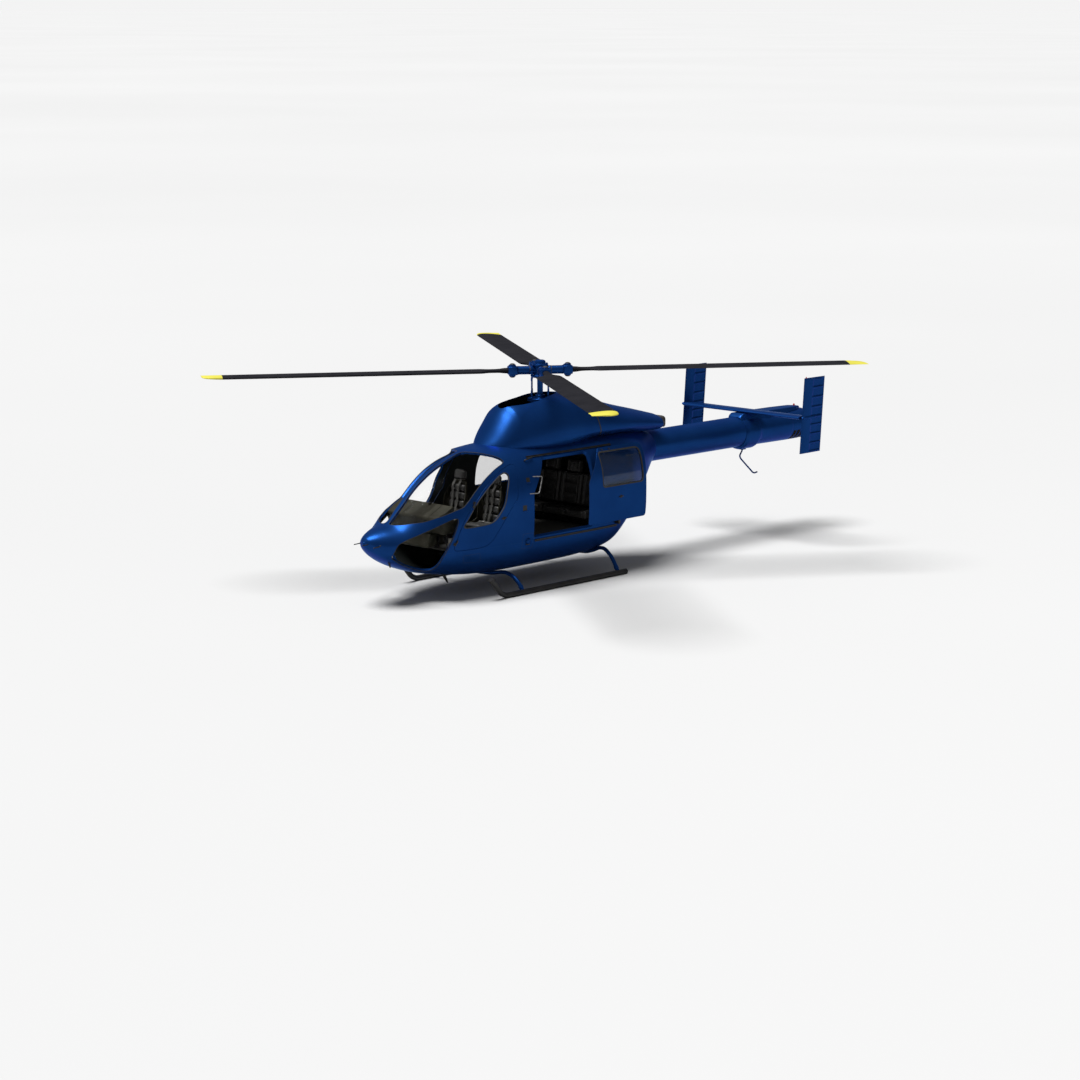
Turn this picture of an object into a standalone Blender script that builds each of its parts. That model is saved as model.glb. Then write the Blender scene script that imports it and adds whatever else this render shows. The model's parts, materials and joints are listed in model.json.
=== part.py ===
"""Light twin-engine helicopter on skids, with a four-blade rotor and a twin-fin tail.

Metres, +Z up. The nose points along -X and port is -Y. Stations along X are measured from the
rotor mast's axis, and the empty "aircraft" then moves the whole machine so that the world's
origin lies under the middle of its outline, at the height of the skids' soles.
"""

import math

import bpy
import bmesh
import numpy as np
from mathutils import Matrix, Vector

for old_object in list(bpy.data.objects):
    bpy.data.objects.remove(old_object, do_unlink=True)

# Driving dimensions
CENTRE_X = 1.1117  # station of the middle of the outline, rotor included
SEAT = 0.0003  # gap between faces that touch
WALL = 0.040  # whole thickness of the cabin wall
DOOR = 0.035  # whole thickness of a door
GLASS = 0.010  # thickness of a pane
DOOR_GAP = 0.007  # running gap round a hinged door
EDGE_TAPER = 0.7  # how far a door's edge leans in for each metre of depth
TAPER_REACH = 0.10  # how far behind its hinge line a crew door's edge gets its whole taper
DOOR_LEVELS = (-DOOR, 0.0)  # a door's faces below the skin
PANE_LEVELS = (-0.010 - GLASS, -0.010)  # a pane's faces below its door's skin
FIXED_PANE_LEVELS = (-0.004 - GLASS, -0.004)  # a windshield's faces below the skin
INNER_SHARES = (0.4, 0.75)  # rings of a curved sheet inside its outline
DOOR_SHARES = (0.0, 0.5)  # rings of a door between its window and its outline
PORT, STARBOARD = -1, 1

ROTOR_RADIUS = 5.155
ROTOR_HEIGHT = 3.174
FIRST_BLADE_ANGLE = math.radians(54.67)
BLADES = 4
BLADE_CHORD = 0.41

BOOM_HEIGHT = 1.73
BOOM_RADIUS = 0.25
POD_END, COLLAR_START, CAN_START, TAIL_END = 2.40, 4.64, 5.85, 6.45

SKID_TRACK = 1.928
SKID_RADIUS = 0.043

AROUND = 32  # points round a body section

BLUE = (0.010, 0.060, 0.300)
BLACK = (0.020, 0.020, 0.022)
CHARCOAL = (0.030, 0.030, 0.036)


def paint(name, colour, roughness, metallic=0.0, alpha=1.0):
    """A plain surface finish."""
    finish = bpy.data.materials.new(name)
    finish.use_nodes = True
    shader = finish.node_tree.nodes["Principled BSDF"]
    shader.inputs["Base Color"].default_value = (*colour, 1.0)
    shader.inputs["Roughness"].default_value = roughness
    shader.inputs["Metallic"].default_value = metallic
    shader.inputs["Alpha"].default_value = alpha
    finish.diffuse_color = (*colour, alpha)
    return finish


BLUE_PAINT = paint("blue_paint", BLUE, 0.25, 0.6)
BLACK_PAINT = paint("black_paint", BLACK, 0.5)
BLADE_SKIN = paint("blade_skin", CHARCOAL, 0.6)
CLEAR_GLASS = paint("clear_glass", (0.80, 0.88, 0.90), 0.05, 0.0, 0.3)
TINTED_GLASS = paint("tinted_glass", (0.20, 0.25, 0.30), 0.05, 0.0, 0.5)
SEAT_LEATHER = paint("seat_leather", (0.05, 0.05, 0.05), 0.6)
SHELL_PLASTIC = paint("shell_plastic", (0.25, 0.24, 0.20), 0.5)
FLOOR_TRIM = paint("floor_trim", (0.15, 0.15, 0.13), 0.8)
BARE_METAL = paint("bare_metal", (0.35, 0.35, 0.36), 0.4, 1.0)

AIRCRAFT = bpy.data.objects.new("aircraft", None)
AIRCRAFT.location = (-CENTRE_X, 0.0, 0.0)
bpy.context.collection.objects.link(AIRCRAFT)


def axis_empty(name, place):
    """An empty on a joint's axis, which carries the moving pieces."""
    empty = bpy.data.objects.new(name, None)
    empty.location = place
    empty.parent = AIRCRAFT
    bpy.context.collection.objects.link(empty)
    return empty


# Meshes


def solid(name, points, faces, finish=None, parent=AIRCRAFT, smooth_angle=35):
    """An object from points given in stations; its faces are turned to point out."""
    origin = Vector(parent.location) if parent is not AIRCRAFT else Vector((0, 0, 0))
    mesh = bpy.data.meshes.new(name)
    mesh.from_pydata([Vector(p) - origin for p in points], [], faces)
    body = bmesh.new()
    body.from_mesh(mesh)
    bmesh.ops.recalc_face_normals(body, faces=body.faces)
    body.to_mesh(mesh)
    body.free()
    mesh.shade_smooth()
    mesh.set_sharp_from_angle(angle=math.radians(smooth_angle))
    if finish:
        mesh.materials.append(finish)
    obj = bpy.data.objects.new(name, mesh)
    obj.parent = parent
    bpy.context.collection.objects.link(obj)
    return obj


def helper(obj):
    """Marks an object as a tool that isn't a piece of the machine."""
    obj.hide_render = True
    obj.display_type = "WIRE"
    return obj


def boolean(obj, tool, operation="DIFFERENCE"):
    modifier = obj.modifiers.new(tool.name, "BOOLEAN")
    modifier.operation = operation
    modifier.object = tool
    return obj


def strip(a, b, count, flipped=False):
    """Triangles between two rings, from their first points' numbers; the diagonals always run alike."""
    faces = []
    for i in range(count):
        j = (i + 1) % count
        if flipped:
            faces += [(a + i, a + j, b + i), (a + j, b + j, b + i)]
        else:
            faces += [(a + i, a + j, b + j), (a + i, b + j, b + i)]
    return faces


def fan(tip, ring, count):
    return [(tip, ring + i, ring + (i + 1) % count) for i in range(count)]


def loft(rings, closed_path=False, flipped=()):
    """Points and faces of a skin over rings of equal count; open ends get a fan to their middle."""
    rings = [np.asarray(ring, float) for ring in rings]
    count, last = len(rings[0]), len(rings) - 1
    faces = []
    for k in range(last):
        faces += strip(k * count, (k + 1) * count, count, k in flipped)
    if closed_path:
        return np.concatenate(rings), faces + strip(last * count, 0, count)
    tip = len(rings) * count
    faces += fan(tip, 0, count) + fan(tip + 1, last * count, count)
    return np.concatenate(rings + [[rings[0].mean(axis=0), rings[-1].mean(axis=0)]]), faces


def double_skin(outer, inner):
    """A cup: an outer and an inner skin, closed at their first rings and joined at their last."""
    count, split = len(outer[0]), len(outer)
    rings = outer + inner
    faces = strip((split - 1) * count, (len(rings) - 1) * count, count)
    for k in range(len(rings) - 1):
        if k != split - 1:
            faces += strip(k * count, (k + 1) * count, count)
    tip = len(rings) * count
    faces += fan(tip, 0, count) + fan(tip + 1, split * count, count)
    return np.concatenate(rings + [[outer[0].mean(axis=0), inner[0].mean(axis=0)]]), faces


def box(name, low, high, finish=None, parent=AIRCRAFT):
    corners = [(x, y, z) for x in (low[0], high[0]) for y in (low[1], high[1]) for z in (low[2], high[2])]
    faces = [(0, 1, 3, 2), (4, 6, 7, 5), (0, 4, 5, 1), (2, 3, 7, 6), (0, 2, 6, 4), (1, 5, 7, 3)]
    return solid(name, corners, faces, finish, parent)


def prism(name, outline, low, high, finish=None, parent=AIRCRAFT):
    """An outline of (x, z) points, swept along Y; its ends are whole faces, so it may be hollow-sided."""
    count = len(outline)
    points = [(x, y, z) for y in (low, high) for x, z in outline]
    faces = strip(0, count, count) + [tuple(range(count)), tuple(range(count, 2 * count))]
    return solid(name, points, faces, finish, parent)


def frame_of(direction):
    """Two unit vectors square to a direction."""
    direction = Vector(direction).normalized()
    helper_axis = Vector((0, 0, 1)) if abs(direction.z) < 0.9 else Vector((1, 0, 0))
    across = direction.cross(helper_axis).normalized()
    return across, across.cross(direction).normalized()


def rod(name, start, end, radius, finish=None, parent=AIRCRAFT, sides=12, bore=0.0):
    """A straight round rod, or a tube when it has a bore."""
    start, end = Vector(start), Vector(end)
    across, up = frame_of(end - start)
    turn = math.pi / sides

    def ring(centre, size):
        angles = [turn + 2 * math.pi * i / sides for i in range(sides)]
        return [tuple(centre + size * (math.cos(a) * across + math.sin(a) * up)) for a in angles]

    if bore:
        rings = [ring(start, radius), ring(end, radius), ring(end, bore), ring(start, bore)]
        return solid(name, *loft(rings, closed_path=True), finish, parent)
    return solid(name, *loft([ring(start, radius), ring(end, radius)]), finish, parent)


def bent_tube(name, path, radius, finish=None, parent=AIRCRAFT, sides=12):
    """A round bar along a path, with a flat of its section on each side of the path's plane."""
    path = [Vector(p) for p in path]
    rings = []
    side = None
    for i, place in enumerate(path):
        before, after = path[max(i - 1, 0)], path[min(i + 1, len(path) - 1)]
        along = (after - before).normalized()
        if side is None:
            side = frame_of(along)[0]
        side = (side - along * side.dot(along)).normalized()
        up = along.cross(side)
        stretch = 1.0
        if 0 < i < len(path) - 1:
            bend = (place - before).normalized().dot((after - place).normalized())
            stretch = 1.0 / math.sqrt(max((1.0 + bend) / 2.0, 0.5))
        angles = [math.pi / sides + 2 * math.pi * k / sides for k in range(sides)]
        out = (after - place).normalized() - (place - before).normalized() if stretch > 1.001 else up
        out = out.normalized() if out.length > 1e-6 else up
        ring = []
        for a in angles:
            spoke = radius * (math.cos(a) * side + math.sin(a) * up)
            ring.append(tuple(place + spoke + out * spoke.dot(out) * (stretch - 1.0)))
        rings.append(ring)
    return solid(name, *loft(rings), finish, parent)


# Curves and outlines


def steady(stations, values, at):
    """A smooth curve through a table that never overshoots it (Fritsch and Carlson's slopes)."""
    x, v, at = np.asarray(stations, float), np.asarray(values, float), np.asarray(at, float)
    step = np.diff(x)
    rise = np.diff(v) / step
    slope = np.zeros(len(x))
    before, after = rise[:-1], rise[1:]
    same = before * after > 0
    w1, w2 = 2 * step[1:] + step[:-1], step[1:] + 2 * step[:-1]
    safe_before, safe_after = np.where(same, before, 1.0), np.where(same, after, 1.0)
    slope[1:-1] = np.where(same, (w1 + w2) / (w1 / safe_before + w2 / safe_after), 0.0)
    slope[0], slope[-1] = rise[0], rise[-1]
    k = np.clip(np.searchsorted(x, at, side="right") - 1, 0, len(x) - 2)
    t = (at - x[k]) / step[k]
    keep = (1 + 2 * t) * (1 - t) ** 2 * v[k] + t * (1 - t) ** 2 * step[k] * slope[k]
    return keep + t**2 * (3 - 2 * t) * v[k + 1] + t**2 * (t - 1) * step[k] * slope[k + 1]


def smooth_loop(points, per_span=2):
    """A closed Catmull-Rom curve through the points."""
    p = np.asarray(points, float)
    before, after, next_but_one = np.roll(p, 1, 0), np.roll(p, -1, 0), np.roll(p, -2, 0)
    found = []
    for t in np.arange(per_span) / per_span:
        found.append(
            0.5
            * (
                2 * p
                + (after - before) * t
                + (2 * before - 5 * p + 4 * after - next_but_one) * t**2
                + (3 * p - before - 3 * after + next_but_one) * t**3
            )
        )
    return np.stack(found, 1).reshape(-1, p.shape[1])


def rounded_polygon(corners, steps=2, longest=0.25):
    """A closed outline with an arc at each corner and its long sides divided.

    Corner columns: first coordinate, second coordinate, radius.
    """
    corners = [(np.array(c[:2], float), c[2]) for c in corners]
    outline = []
    for i, (place, radius) in enumerate(corners):
        to_before = corners[i - 1][0] - place
        to_after = corners[(i + 1) % len(corners)][0] - place
        a, b = to_before / np.linalg.norm(to_before), to_after / np.linalg.norm(to_after)
        half = math.acos(float(np.clip(a @ b, -1, 1))) / 2
        reach = radius / math.tan(half)
        start, end = place + a * reach, place + b * reach
        for t in np.linspace(0, 1, steps + 1):
            outline.append((1 - t) ** 2 * start + 2 * t * (1 - t) * place + t**2 * end)
    found = []
    for a, b in zip(outline, outline[1:] + outline[:1]):
        parts = max(1, math.ceil(np.linalg.norm(b - a) / longest))
        found += [a + (b - a) * k / parts for k in range(parts)]
    return np.array(found)


def spoke_angles(hub, *outlines):
    """The directions from a hub to the corners of outlines, without near doubles."""
    points = np.concatenate([np.asarray(outline, float) for outline in outlines]) - hub
    angles = np.sort(np.arctan2(points[:, 1], points[:, 0]))
    apart = np.diff(angles, prepend=angles[-1] - 2 * np.pi)
    return angles[apart > math.radians(2.5)]


def spokes_outline(outline, hub, angles):
    """An outline's crossings with spokes from a hub."""
    outline = np.asarray(outline, float)
    starts, ends = outline - hub, np.roll(outline, -1, 0) - hub
    found = []
    for angle in angles:
        spoke = np.array([np.cos(angle), np.sin(angle)])
        square = np.array([-spoke[1], spoke[0]])
        a, b = starts @ square, ends @ square
        crossing = (a * b <= 0) & (a != b)
        t = np.where(crossing, a / np.where(crossing, a - b, 1.0), 0.0)
        reach = (starts + (ends - starts) * t[:, None]) @ spoke
        found.append(hub + spoke * reach[crossing & (reach > 0)].max())
    return np.array(found)


# The body's sections. Each is an oval whose upper and lower halves are superellipses.
# Columns: station, bottom, top, half width, height of the widest point, upper power, lower power
POD_SECTIONS = np.array(
    [
        (-3.70, 0.930, 0.980, 0.020, 0.955, 2.00, 2.00),
        (-3.66, 0.875, 1.035, 0.110, 0.945, 2.00, 2.00),
        (-3.58, 0.795, 1.085, 0.200, 0.925, 2.00, 2.10),
        (-3.45, 0.695, 1.135, 0.300, 0.905, 2.00, 2.10),
        (-3.25, 0.585, 1.195, 0.415, 0.900, 2.00, 2.20),
        (-3.00, 0.485, 1.405, 0.520, 0.930, 2.00, 2.30),
        (-2.70, 0.395, 1.672, 0.620, 1.000, 2.10, 2.40),
        (-2.40, 0.340, 1.862, 0.695, 1.080, 2.20, 2.50),
        (-2.10, 0.297, 1.992, 0.750, 1.150, 2.35, 2.70),
        (-1.80, 0.270, 2.088, 0.785, 1.200, 2.50, 2.90),
        (-1.50, 0.258, 2.135, 0.805, 1.220, 2.60, 3.00),
        (-1.00, 0.255, 2.165, 0.815, 1.240, 2.70, 3.10),
        (0.00, 0.262, 2.180, 0.815, 1.240, 2.70, 3.10),
        (0.60, 0.285, 2.180, 0.815, 1.250, 2.70, 3.00),
        (1.00, 0.345, 2.175, 0.800, 1.300, 2.70, 2.90),
        (1.25, 0.500, 2.165, 0.775, 1.360, 2.60, 2.70),
        (1.50, 0.800, 2.150, 0.720, 1.430, 2.50, 2.50),
        (1.80, 1.150, 2.120, 0.600, 1.520, 2.40, 2.30),
        (2.10, 1.375, 2.060, 0.430, 1.620, 2.20, 2.10),
        (2.40, 1.480, 1.980, 0.250, 1.730, 2.00, 2.00),
    ]
)
# The fairing over the mast, gearbox and engines, down into the roof. Columns as above
COWL_SECTIONS = np.array(
    [
        (-1.34, 2.000, 2.060, 0.050, 2.030, 2.00, 2.00),
        (-1.20, 1.950, 2.240, 0.260, 2.080, 2.00, 2.00),
        (-1.05, 1.920, 2.440, 0.370, 2.120, 2.00, 2.00),
        (-0.90, 1.900, 2.620, 0.435, 2.140, 2.00, 2.00),
        (-0.80, 1.890, 2.715, 0.470, 2.160, 2.05, 2.00),
        (-0.60, 1.870, 2.765, 0.515, 2.180, 2.10, 2.00),
        (-0.30, 1.850, 2.800, 0.550, 2.200, 2.20, 2.00),
        (0.00, 1.850, 2.830, 0.565, 2.220, 2.20, 2.00),
        (0.35, 1.930, 2.805, 0.570, 2.220, 2.20, 2.00),
        (0.70, 2.030, 2.740, 0.560, 2.220, 2.20, 2.00),
        (1.42, 2.040, 2.530, 0.520, 2.210, 2.20, 2.00),
        (2.00, 2.010, 2.390, 0.450, 2.170, 2.20, 2.00),
        (2.42, 2.000, 2.285, 0.390, 2.130, 2.20, 2.00),
    ]
)


def section_point(table, station, angle):
    """The surface at a station and an angle: 0 is starboard, pi/2 the top, pi port, -pi/2 the bottom."""
    station, angle = np.broadcast_arrays(np.asarray(station, float), np.asarray(angle, float))
    bottom, top, width, widest, upper, lower = (steady(table[:, 0], column, station) for column in table.T[1:])
    across, up = np.cos(angle), np.sin(angle)
    power = np.where(up >= 0, upper, lower)
    reach = np.where(up >= 0, top - widest, widest - bottom)
    y = width * np.abs(across) ** (2 / power) * np.sign(across)
    z = widest + reach * np.abs(up) ** (2 / power) * np.sign(up)
    return np.stack([station, y, z], -1)


def offset_point(table, station, angle, offset):
    """The surface moved out along its normal."""
    station, angle = np.broadcast_arrays(np.asarray(station, float), np.asarray(angle, float))
    small = 1e-3
    low, high = table[0, 0], table[-1, 0]
    along = section_point(table, np.minimum(station + small, high), angle)
    along = along - section_point(table, np.maximum(station - small, low), angle)
    around = section_point(table, station, angle + small) - section_point(table, station, angle - small)
    normal = np.cross(around, along)
    normal /= np.linalg.norm(normal, axis=-1, keepdims=True)
    return section_point(table, station, angle) + offset * normal


def body_rings(table, stations, offset, around=AROUND):
    angles = 2 * np.pi * np.arange(around) / around
    return [offset_point(table, np.full(around, x), angles, offset) for x in stations]


def finer(stations, longest):
    """The stations with more between them where they lie far apart."""
    found = []
    for a, b in zip(stations[:-1], stations[1:]):
        parts = max(1, math.ceil((b - a) / longest))
        found += [a + (b - a) * k / parts for k in range(parts)]
    return found + [stations[-1]]


POD_STATIONS = finer(list(POD_SECTIONS[:, 0]), 0.36)
COWL_STATIONS = finer(list(COWL_SECTIONS[:, 0]), 0.36)
INNER_START = 2  # the wall's inner face starts at this station, behind the nose's tip


def pod_body(name, offset, start=0):
    """The pod as one solid, grown or shrunk, for cutting its neighbours."""
    return helper(solid(name, *loft(body_rings(POD_SECTIONS, POD_STATIONS[start:], offset))))


def pod_shell(name, finish):
    """The pod's whole skin: thick, closed at the nose and open at the tail."""
    outer = body_rings(POD_SECTIONS, POD_STATIONS, 0.0)
    inner = body_rings(POD_SECTIONS, POD_STATIONS[INNER_START:], -WALL)
    return solid(name, *double_skin(outer, inner), finish)


def angle_at(table, station, value, view):
    """The angle of a point of the starboard half, from its height (side view) or half width (plan)."""
    bottom, top, width, widest, upper, lower = (steady(table[:, 0], c, station) for c in table.T[1:])
    if view == "plan":
        return np.arccos(np.clip(value / width, 0, 1) ** (upper / 2))
    high = value >= widest
    share = np.where(high, (value - widest) / (top - widest), (widest - value) / (widest - bottom))
    power = np.where(high, upper, lower)
    return np.arcsin(np.clip(share, 0, 1) ** (power / 2)) * np.where(high, 1, -1)


class Outline:
    """A closed line on the pod's surface, kept as stations and angles."""

    def __init__(self, station, angle):
        self.station, self.angle = station, angle

    @classmethod
    def seen(cls, points, side, view="side"):
        """From points of a side view (station, height) or a plan (station, half width)."""
        points = np.asarray(points, float)
        angle = angle_at(POD_SECTIONS, points[:, 0], points[:, 1], view)
        return cls(points[:, 0], angle if side == STARBOARD else np.pi - angle)

    def grown(self, amount):
        """The outline moved outward along the surface."""
        small = 1e-4
        here = section_point(POD_SECTIONS, self.station, self.angle)
        by_station = (section_point(POD_SECTIONS, self.station + small, self.angle) - here) / small
        by_angle = (section_point(POD_SECTIONS, self.station, self.angle + small) - here) / small
        normal = np.cross(by_station, by_angle)
        along = np.roll(here, -1, 0) - np.roll(here, 1, 0)
        outward = np.cross(along, normal)
        outward /= np.linalg.norm(outward, axis=1, keepdims=True)
        if ((here - here.mean(axis=0)) * outward).sum() < 0:
            outward = -outward
        a, b, c = ((p * q).sum(axis=1) for p, q in ((by_station,) * 2, (by_station, by_angle), (by_angle,) * 2))
        u, v = (by_station * outward).sum(axis=1), (by_angle * outward).sum(axis=1)
        scale = amount / (a * c - b * b)
        return Outline(self.station + scale * (c * u - b * v), self.angle + scale * (a * v - b * u))

    def towards(self, other, share):
        """The outline that lies the given share of the way to another."""
        station = self.station + (other.station - self.station) * share
        return Outline(station, self.angle + (other.angle - self.angle) * share)

    def shrunk(self, share):
        """The outline drawn in towards its middle."""
        middle = Outline(np.full_like(self.station, self.station.mean()), np.full_like(self.angle, self.angle.mean()))
        return middle.towards(self, share)

    def points(self, level=0.0):
        """Its points, moved off the surface to a level."""
        return offset_point(POD_SECTIONS, self.station, self.angle, level)


def panel(name, outline, levels, gap=0.0, taper=0.0, finish=None, parent=AIRCRAFT, shares=INNER_SHARES):
    """A curved sheet of the pod's surface inside an outline; levels are its rim's, inmost first."""
    rings = [outline.shrunk(share).points(levels[0]) for share in shares]
    rings += [outline.grown(taper * max(level, -DOOR) - gap).points(level) for level in levels]
    rings += [outline.shrunk(share).points(levels[-1]) for share in shares[::-1]]
    return solid(name, *loft(rings), finish, parent)


def framed_panel(name, outline, window, gap, taper, finish, parent=AIRCRAFT):
    """A door: a curved sheet between its outline and its window's."""
    inside, outside = DOOR_LEVELS
    outer_rim, inner_rim = outline.grown(-gap), outline.grown(-taper * DOOR - gap)
    rings = [window.towards(outer_rim, share).points(outside) for share in DOOR_SHARES]
    rings += [outer_rim.points(outside), inner_rim.points(inside)]
    rings += [window.towards(inner_rim, share).points(inside) for share in DOOR_SHARES[::-1]]
    rings += [window.points(level) for level in PANE_LEVELS]
    return solid(name, *loft(rings, True, {len(DOOR_SHARES)}), finish, parent)


def opening_tool(name, outline, levels, taper=0.0):
    """A cutter for an opening in the pod's wall."""
    return helper(panel(name, outline, (-WALL - 0.03, *levels, WALL), 0.0, taper))


# Openings, as seen in the side view (station, height) or in plan (station, half width)
WINDSHIELD = [
    (-3.235, 0.045),
    (-3.175, 0.235),
    (-2.971, 0.430),
    (-2.697, 0.568),
    (-2.379, 0.662),
    (-2.234, 0.682),
    (-2.080, 0.678),
    (-1.852, 0.660),
    (-1.606, 0.628),
    (-1.420, 0.598),
    (-1.385, 0.560),
    (-1.449, 0.465),
    (-1.558, 0.350),
    (-1.650, 0.200),
    (-1.725, 0.060),
    (-1.800, 0.040),
    (-2.150, 0.036),
    (-2.600, 0.036),
    (-3.000, 0.036),
]
CHIN_WINDOW = [
    (-3.398, 0.758),
    (-3.362, 0.915),
    (-3.272, 0.980),
    (-3.095, 1.045),
    (-2.873, 1.125),
    (-2.642, 1.208),
    (-2.480, 1.255),
    (-2.425, 1.215),
    (-2.495, 1.016),
    (-2.571, 0.858),
    (-2.647, 0.680),
    (-2.672, 0.520),
    (-2.720, 0.462),
    (-2.860, 0.480),
    (-3.107, 0.570),
    (-3.290, 0.665),
]
CREW_DOOR = [
    (-2.445, 0.765),
    (-2.495, 0.820),
    (-2.473, 0.900),
    (-2.405, 1.075),
    (-2.300, 1.250),
    (-2.144, 1.430),
    (-1.970, 1.597),
    (-1.780, 1.733),
    (-1.580, 1.843),
    (-1.420, 1.902),
    (-1.300, 1.930),
    (-1.235, 1.908),
    (-1.220, 1.840),
    (-1.275, 1.640),
    (-1.310, 1.440),
    (-1.400, 1.335),
    (-1.540, 1.180),
    (-1.720, 0.955),
    (-1.830, 0.830),
    (-1.950, 0.775),
    (-2.200, 0.760),
]
CREW_WINDOW = [
    (-2.335, 1.103),
    (-2.255, 1.235),
    (-2.110, 1.415),
    (-1.940, 1.570),
    (-1.760, 1.700),
    (-1.590, 1.795),
    (-1.480, 1.828),
    (-1.420, 1.795),
    (-1.430, 1.715),
    (-1.490, 1.575),
    (-1.555, 1.390),
    (-1.640, 1.265),
    (-1.800, 1.130),
    (-2.060, 1.097),
]
CREW_WINDOW_HUB = np.array([-1.78, 1.42])
HINGE_LOWER, HINGE_UPPER = (-2.473, 0.893), (-2.144, 1.424)  # station and height on the skin
# Columns: station, height, corner radius
CABIN_DOOR = [
    (-0.965, 0.792, 0.06),
    (0.350, 0.792, 0.06),
    (0.350, 1.955, 0.08),
    (-0.620, 1.955, 0.06),
    (-0.965, 1.470, 0.18),
]
CABIN_WINDOW = [
    (-0.640, 1.360, 0.05),
    (0.270, 1.360, 0.07),
    (0.270, 1.885, 0.09),
    (-0.640, 1.885, 0.06),
]
CABIN_WINDOW_HUB = np.array([-0.20, 1.55])
DOOR_SLID = (1.130, 0.068, 0.035)  # the open door's travel: aft, outboard and up
RAIL_STATIONS = (-0.93, 0.93)
LOWER_RAIL = (0.728, 0.758)
UPPER_RAIL = (1.975, 1.997)
RAIL_PROUD, RAIL_SPANS = 0.012, 8

# Where the skin's panels part: the slanted frame behind the chin windows, then level and upright lines
FRAME_LINE = np.array([(-2.645, -1.0), (-2.635, 0.50), (-2.605, 0.715), (-2.304, 1.400), (-1.995, 2.100)])
SILL_Z, ROOF_Z, NOSE_TOP_Z = 0.745, 1.985, 1.400
POST_END, AFT_FRAME = -1.735, 1.000
POST_HALF_WIDTH = 0.075
SIDE_FRAME_Y = 0.200  # the side frames lie outboard of this
FAR = 5.0

HALF = SEAT / 2
BELOW = FRAME_LINE[0, 1]


def along_frame(low, high, shift=0.0):
    """The slanted frame's line between two heights, from the lower up, moved aft by the shift."""
    heights = [low] + [z for z in FRAME_LINE[:, 1] if low < z < high] + [high]
    return [(float(np.interp(z, FRAME_LINE[:, 1], FRAME_LINE[:, 0])) + shift, z) for z in heights]


# Region of each skin panel in the side view, with its limits across the machine.
# Columns: outline of (station, height), lowest y, highest y
NOSE_REGION = [(-FAR, BELOW), *along_frame(BELOW, NOSE_TOP_Z), (-FAR, NOSE_TOP_Z)]
POST_REGION = [(-FAR, NOSE_TOP_Z + SEAT), (POST_END, NOSE_TOP_Z + SEAT), (POST_END, FAR), (-FAR, FAR)]
BELLY_REGION = [
    *along_frame(BELOW, SILL_Z - SEAT, SEAT),
    (AFT_FRAME - HALF, SILL_Z - SEAT),
    (AFT_FRAME - HALF, BELOW),
]
ROOF_REGION = [
    (POST_END + SEAT, ROOF_Z),
    (AFT_FRAME - HALF, ROOF_Z),
    (AFT_FRAME - HALF, FAR),
    (POST_END + SEAT, FAR),
]
SIDE_REGION = [
    *along_frame(SILL_Z, ROOF_Z - SEAT, SEAT),
    (AFT_FRAME - HALF, ROOF_Z - SEAT),
    (AFT_FRAME - HALF, SILL_Z),
]
AFT_REGION = [(AFT_FRAME + HALF, BELOW), (FAR, BELOW), (FAR, FAR), (AFT_FRAME + HALF, FAR)]
SKIN_REGIONS = {
    "nose_shell": (NOSE_REGION, -FAR, FAR),
    "windshield_post": (POST_REGION, -POST_HALF_WIDTH, POST_HALF_WIDTH),
    "belly_shell": (BELLY_REGION, -FAR, FAR),
    "roof_shell": (ROOF_REGION, -FAR, FAR),
    "side_frame_port": (SIDE_REGION, -FAR, -SIDE_FRAME_Y),
    "side_frame_starboard": (SIDE_REGION, SIDE_FRAME_Y, FAR),
    "aft_pod": (AFT_REGION, -FAR, FAR),
}

SIDES = (("port", PORT), ("starboard", STARBOARD))
CREW_SPOKES = spoke_angles(CREW_WINDOW_HUB, CREW_DOOR, CREW_WINDOW)
CREW_DOOR_LOOP = spokes_outline(smooth_loop(CREW_DOOR, 4), CREW_WINDOW_HUB, CREW_SPOKES)
CREW_WINDOW_LOOP = spokes_outline(smooth_loop(CREW_WINDOW, 4), CREW_WINDOW_HUB, CREW_SPOKES)
CABIN_SPOKES = spoke_angles(CABIN_WINDOW_HUB, rounded_polygon(CABIN_DOOR), rounded_polygon(CABIN_WINDOW))
CABIN_DOOR_LOOP = spokes_outline(rounded_polygon(CABIN_DOOR), CABIN_WINDOW_HUB, CABIN_SPOKES)
CABIN_WINDOW_LOOP = spokes_outline(rounded_polygon(CABIN_WINDOW), CABIN_WINDOW_HUB, CABIN_SPOKES)



def behind_hinges(loop):
    """How far each point of a side view lies behind the line through the crew door's hinges."""
    line = np.subtract(HINGE_UPPER, HINGE_LOWER)
    line /= np.linalg.norm(line)
    return (loop[:, 0] - HINGE_LOWER[0]) * line[1] - (loop[:, 1] - HINGE_LOWER[1]) * line[0]


# An edge in front of the hinges swings inward, so it has no taper there that the frame would need room for
CREW_DOOR_TAPER = EDGE_TAPER * np.clip(behind_hinges(CREW_DOOR_LOOP) / TAPER_REACH, 0.0, 1.0)

OUTLINES = {}
for side_name, side_sign in SIDES:
    OUTLINES["windshield_" + side_name] = Outline.seen(smooth_loop(WINDSHIELD), side_sign, "plan")
    OUTLINES["chin_window_" + side_name] = Outline.seen(smooth_loop(CHIN_WINDOW), side_sign)
    OUTLINES["crew_door_" + side_name] = Outline.seen(CREW_DOOR_LOOP, side_sign)
    OUTLINES["crew_window_" + side_name] = Outline.seen(CREW_WINDOW_LOOP, side_sign)
    OUTLINES["cabin_door_" + side_name] = Outline.seen(CABIN_DOOR_LOOP, side_sign)
    OUTLINES["cabin_window_" + side_name] = Outline.seen(CABIN_WINDOW_LOOP, side_sign)

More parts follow.
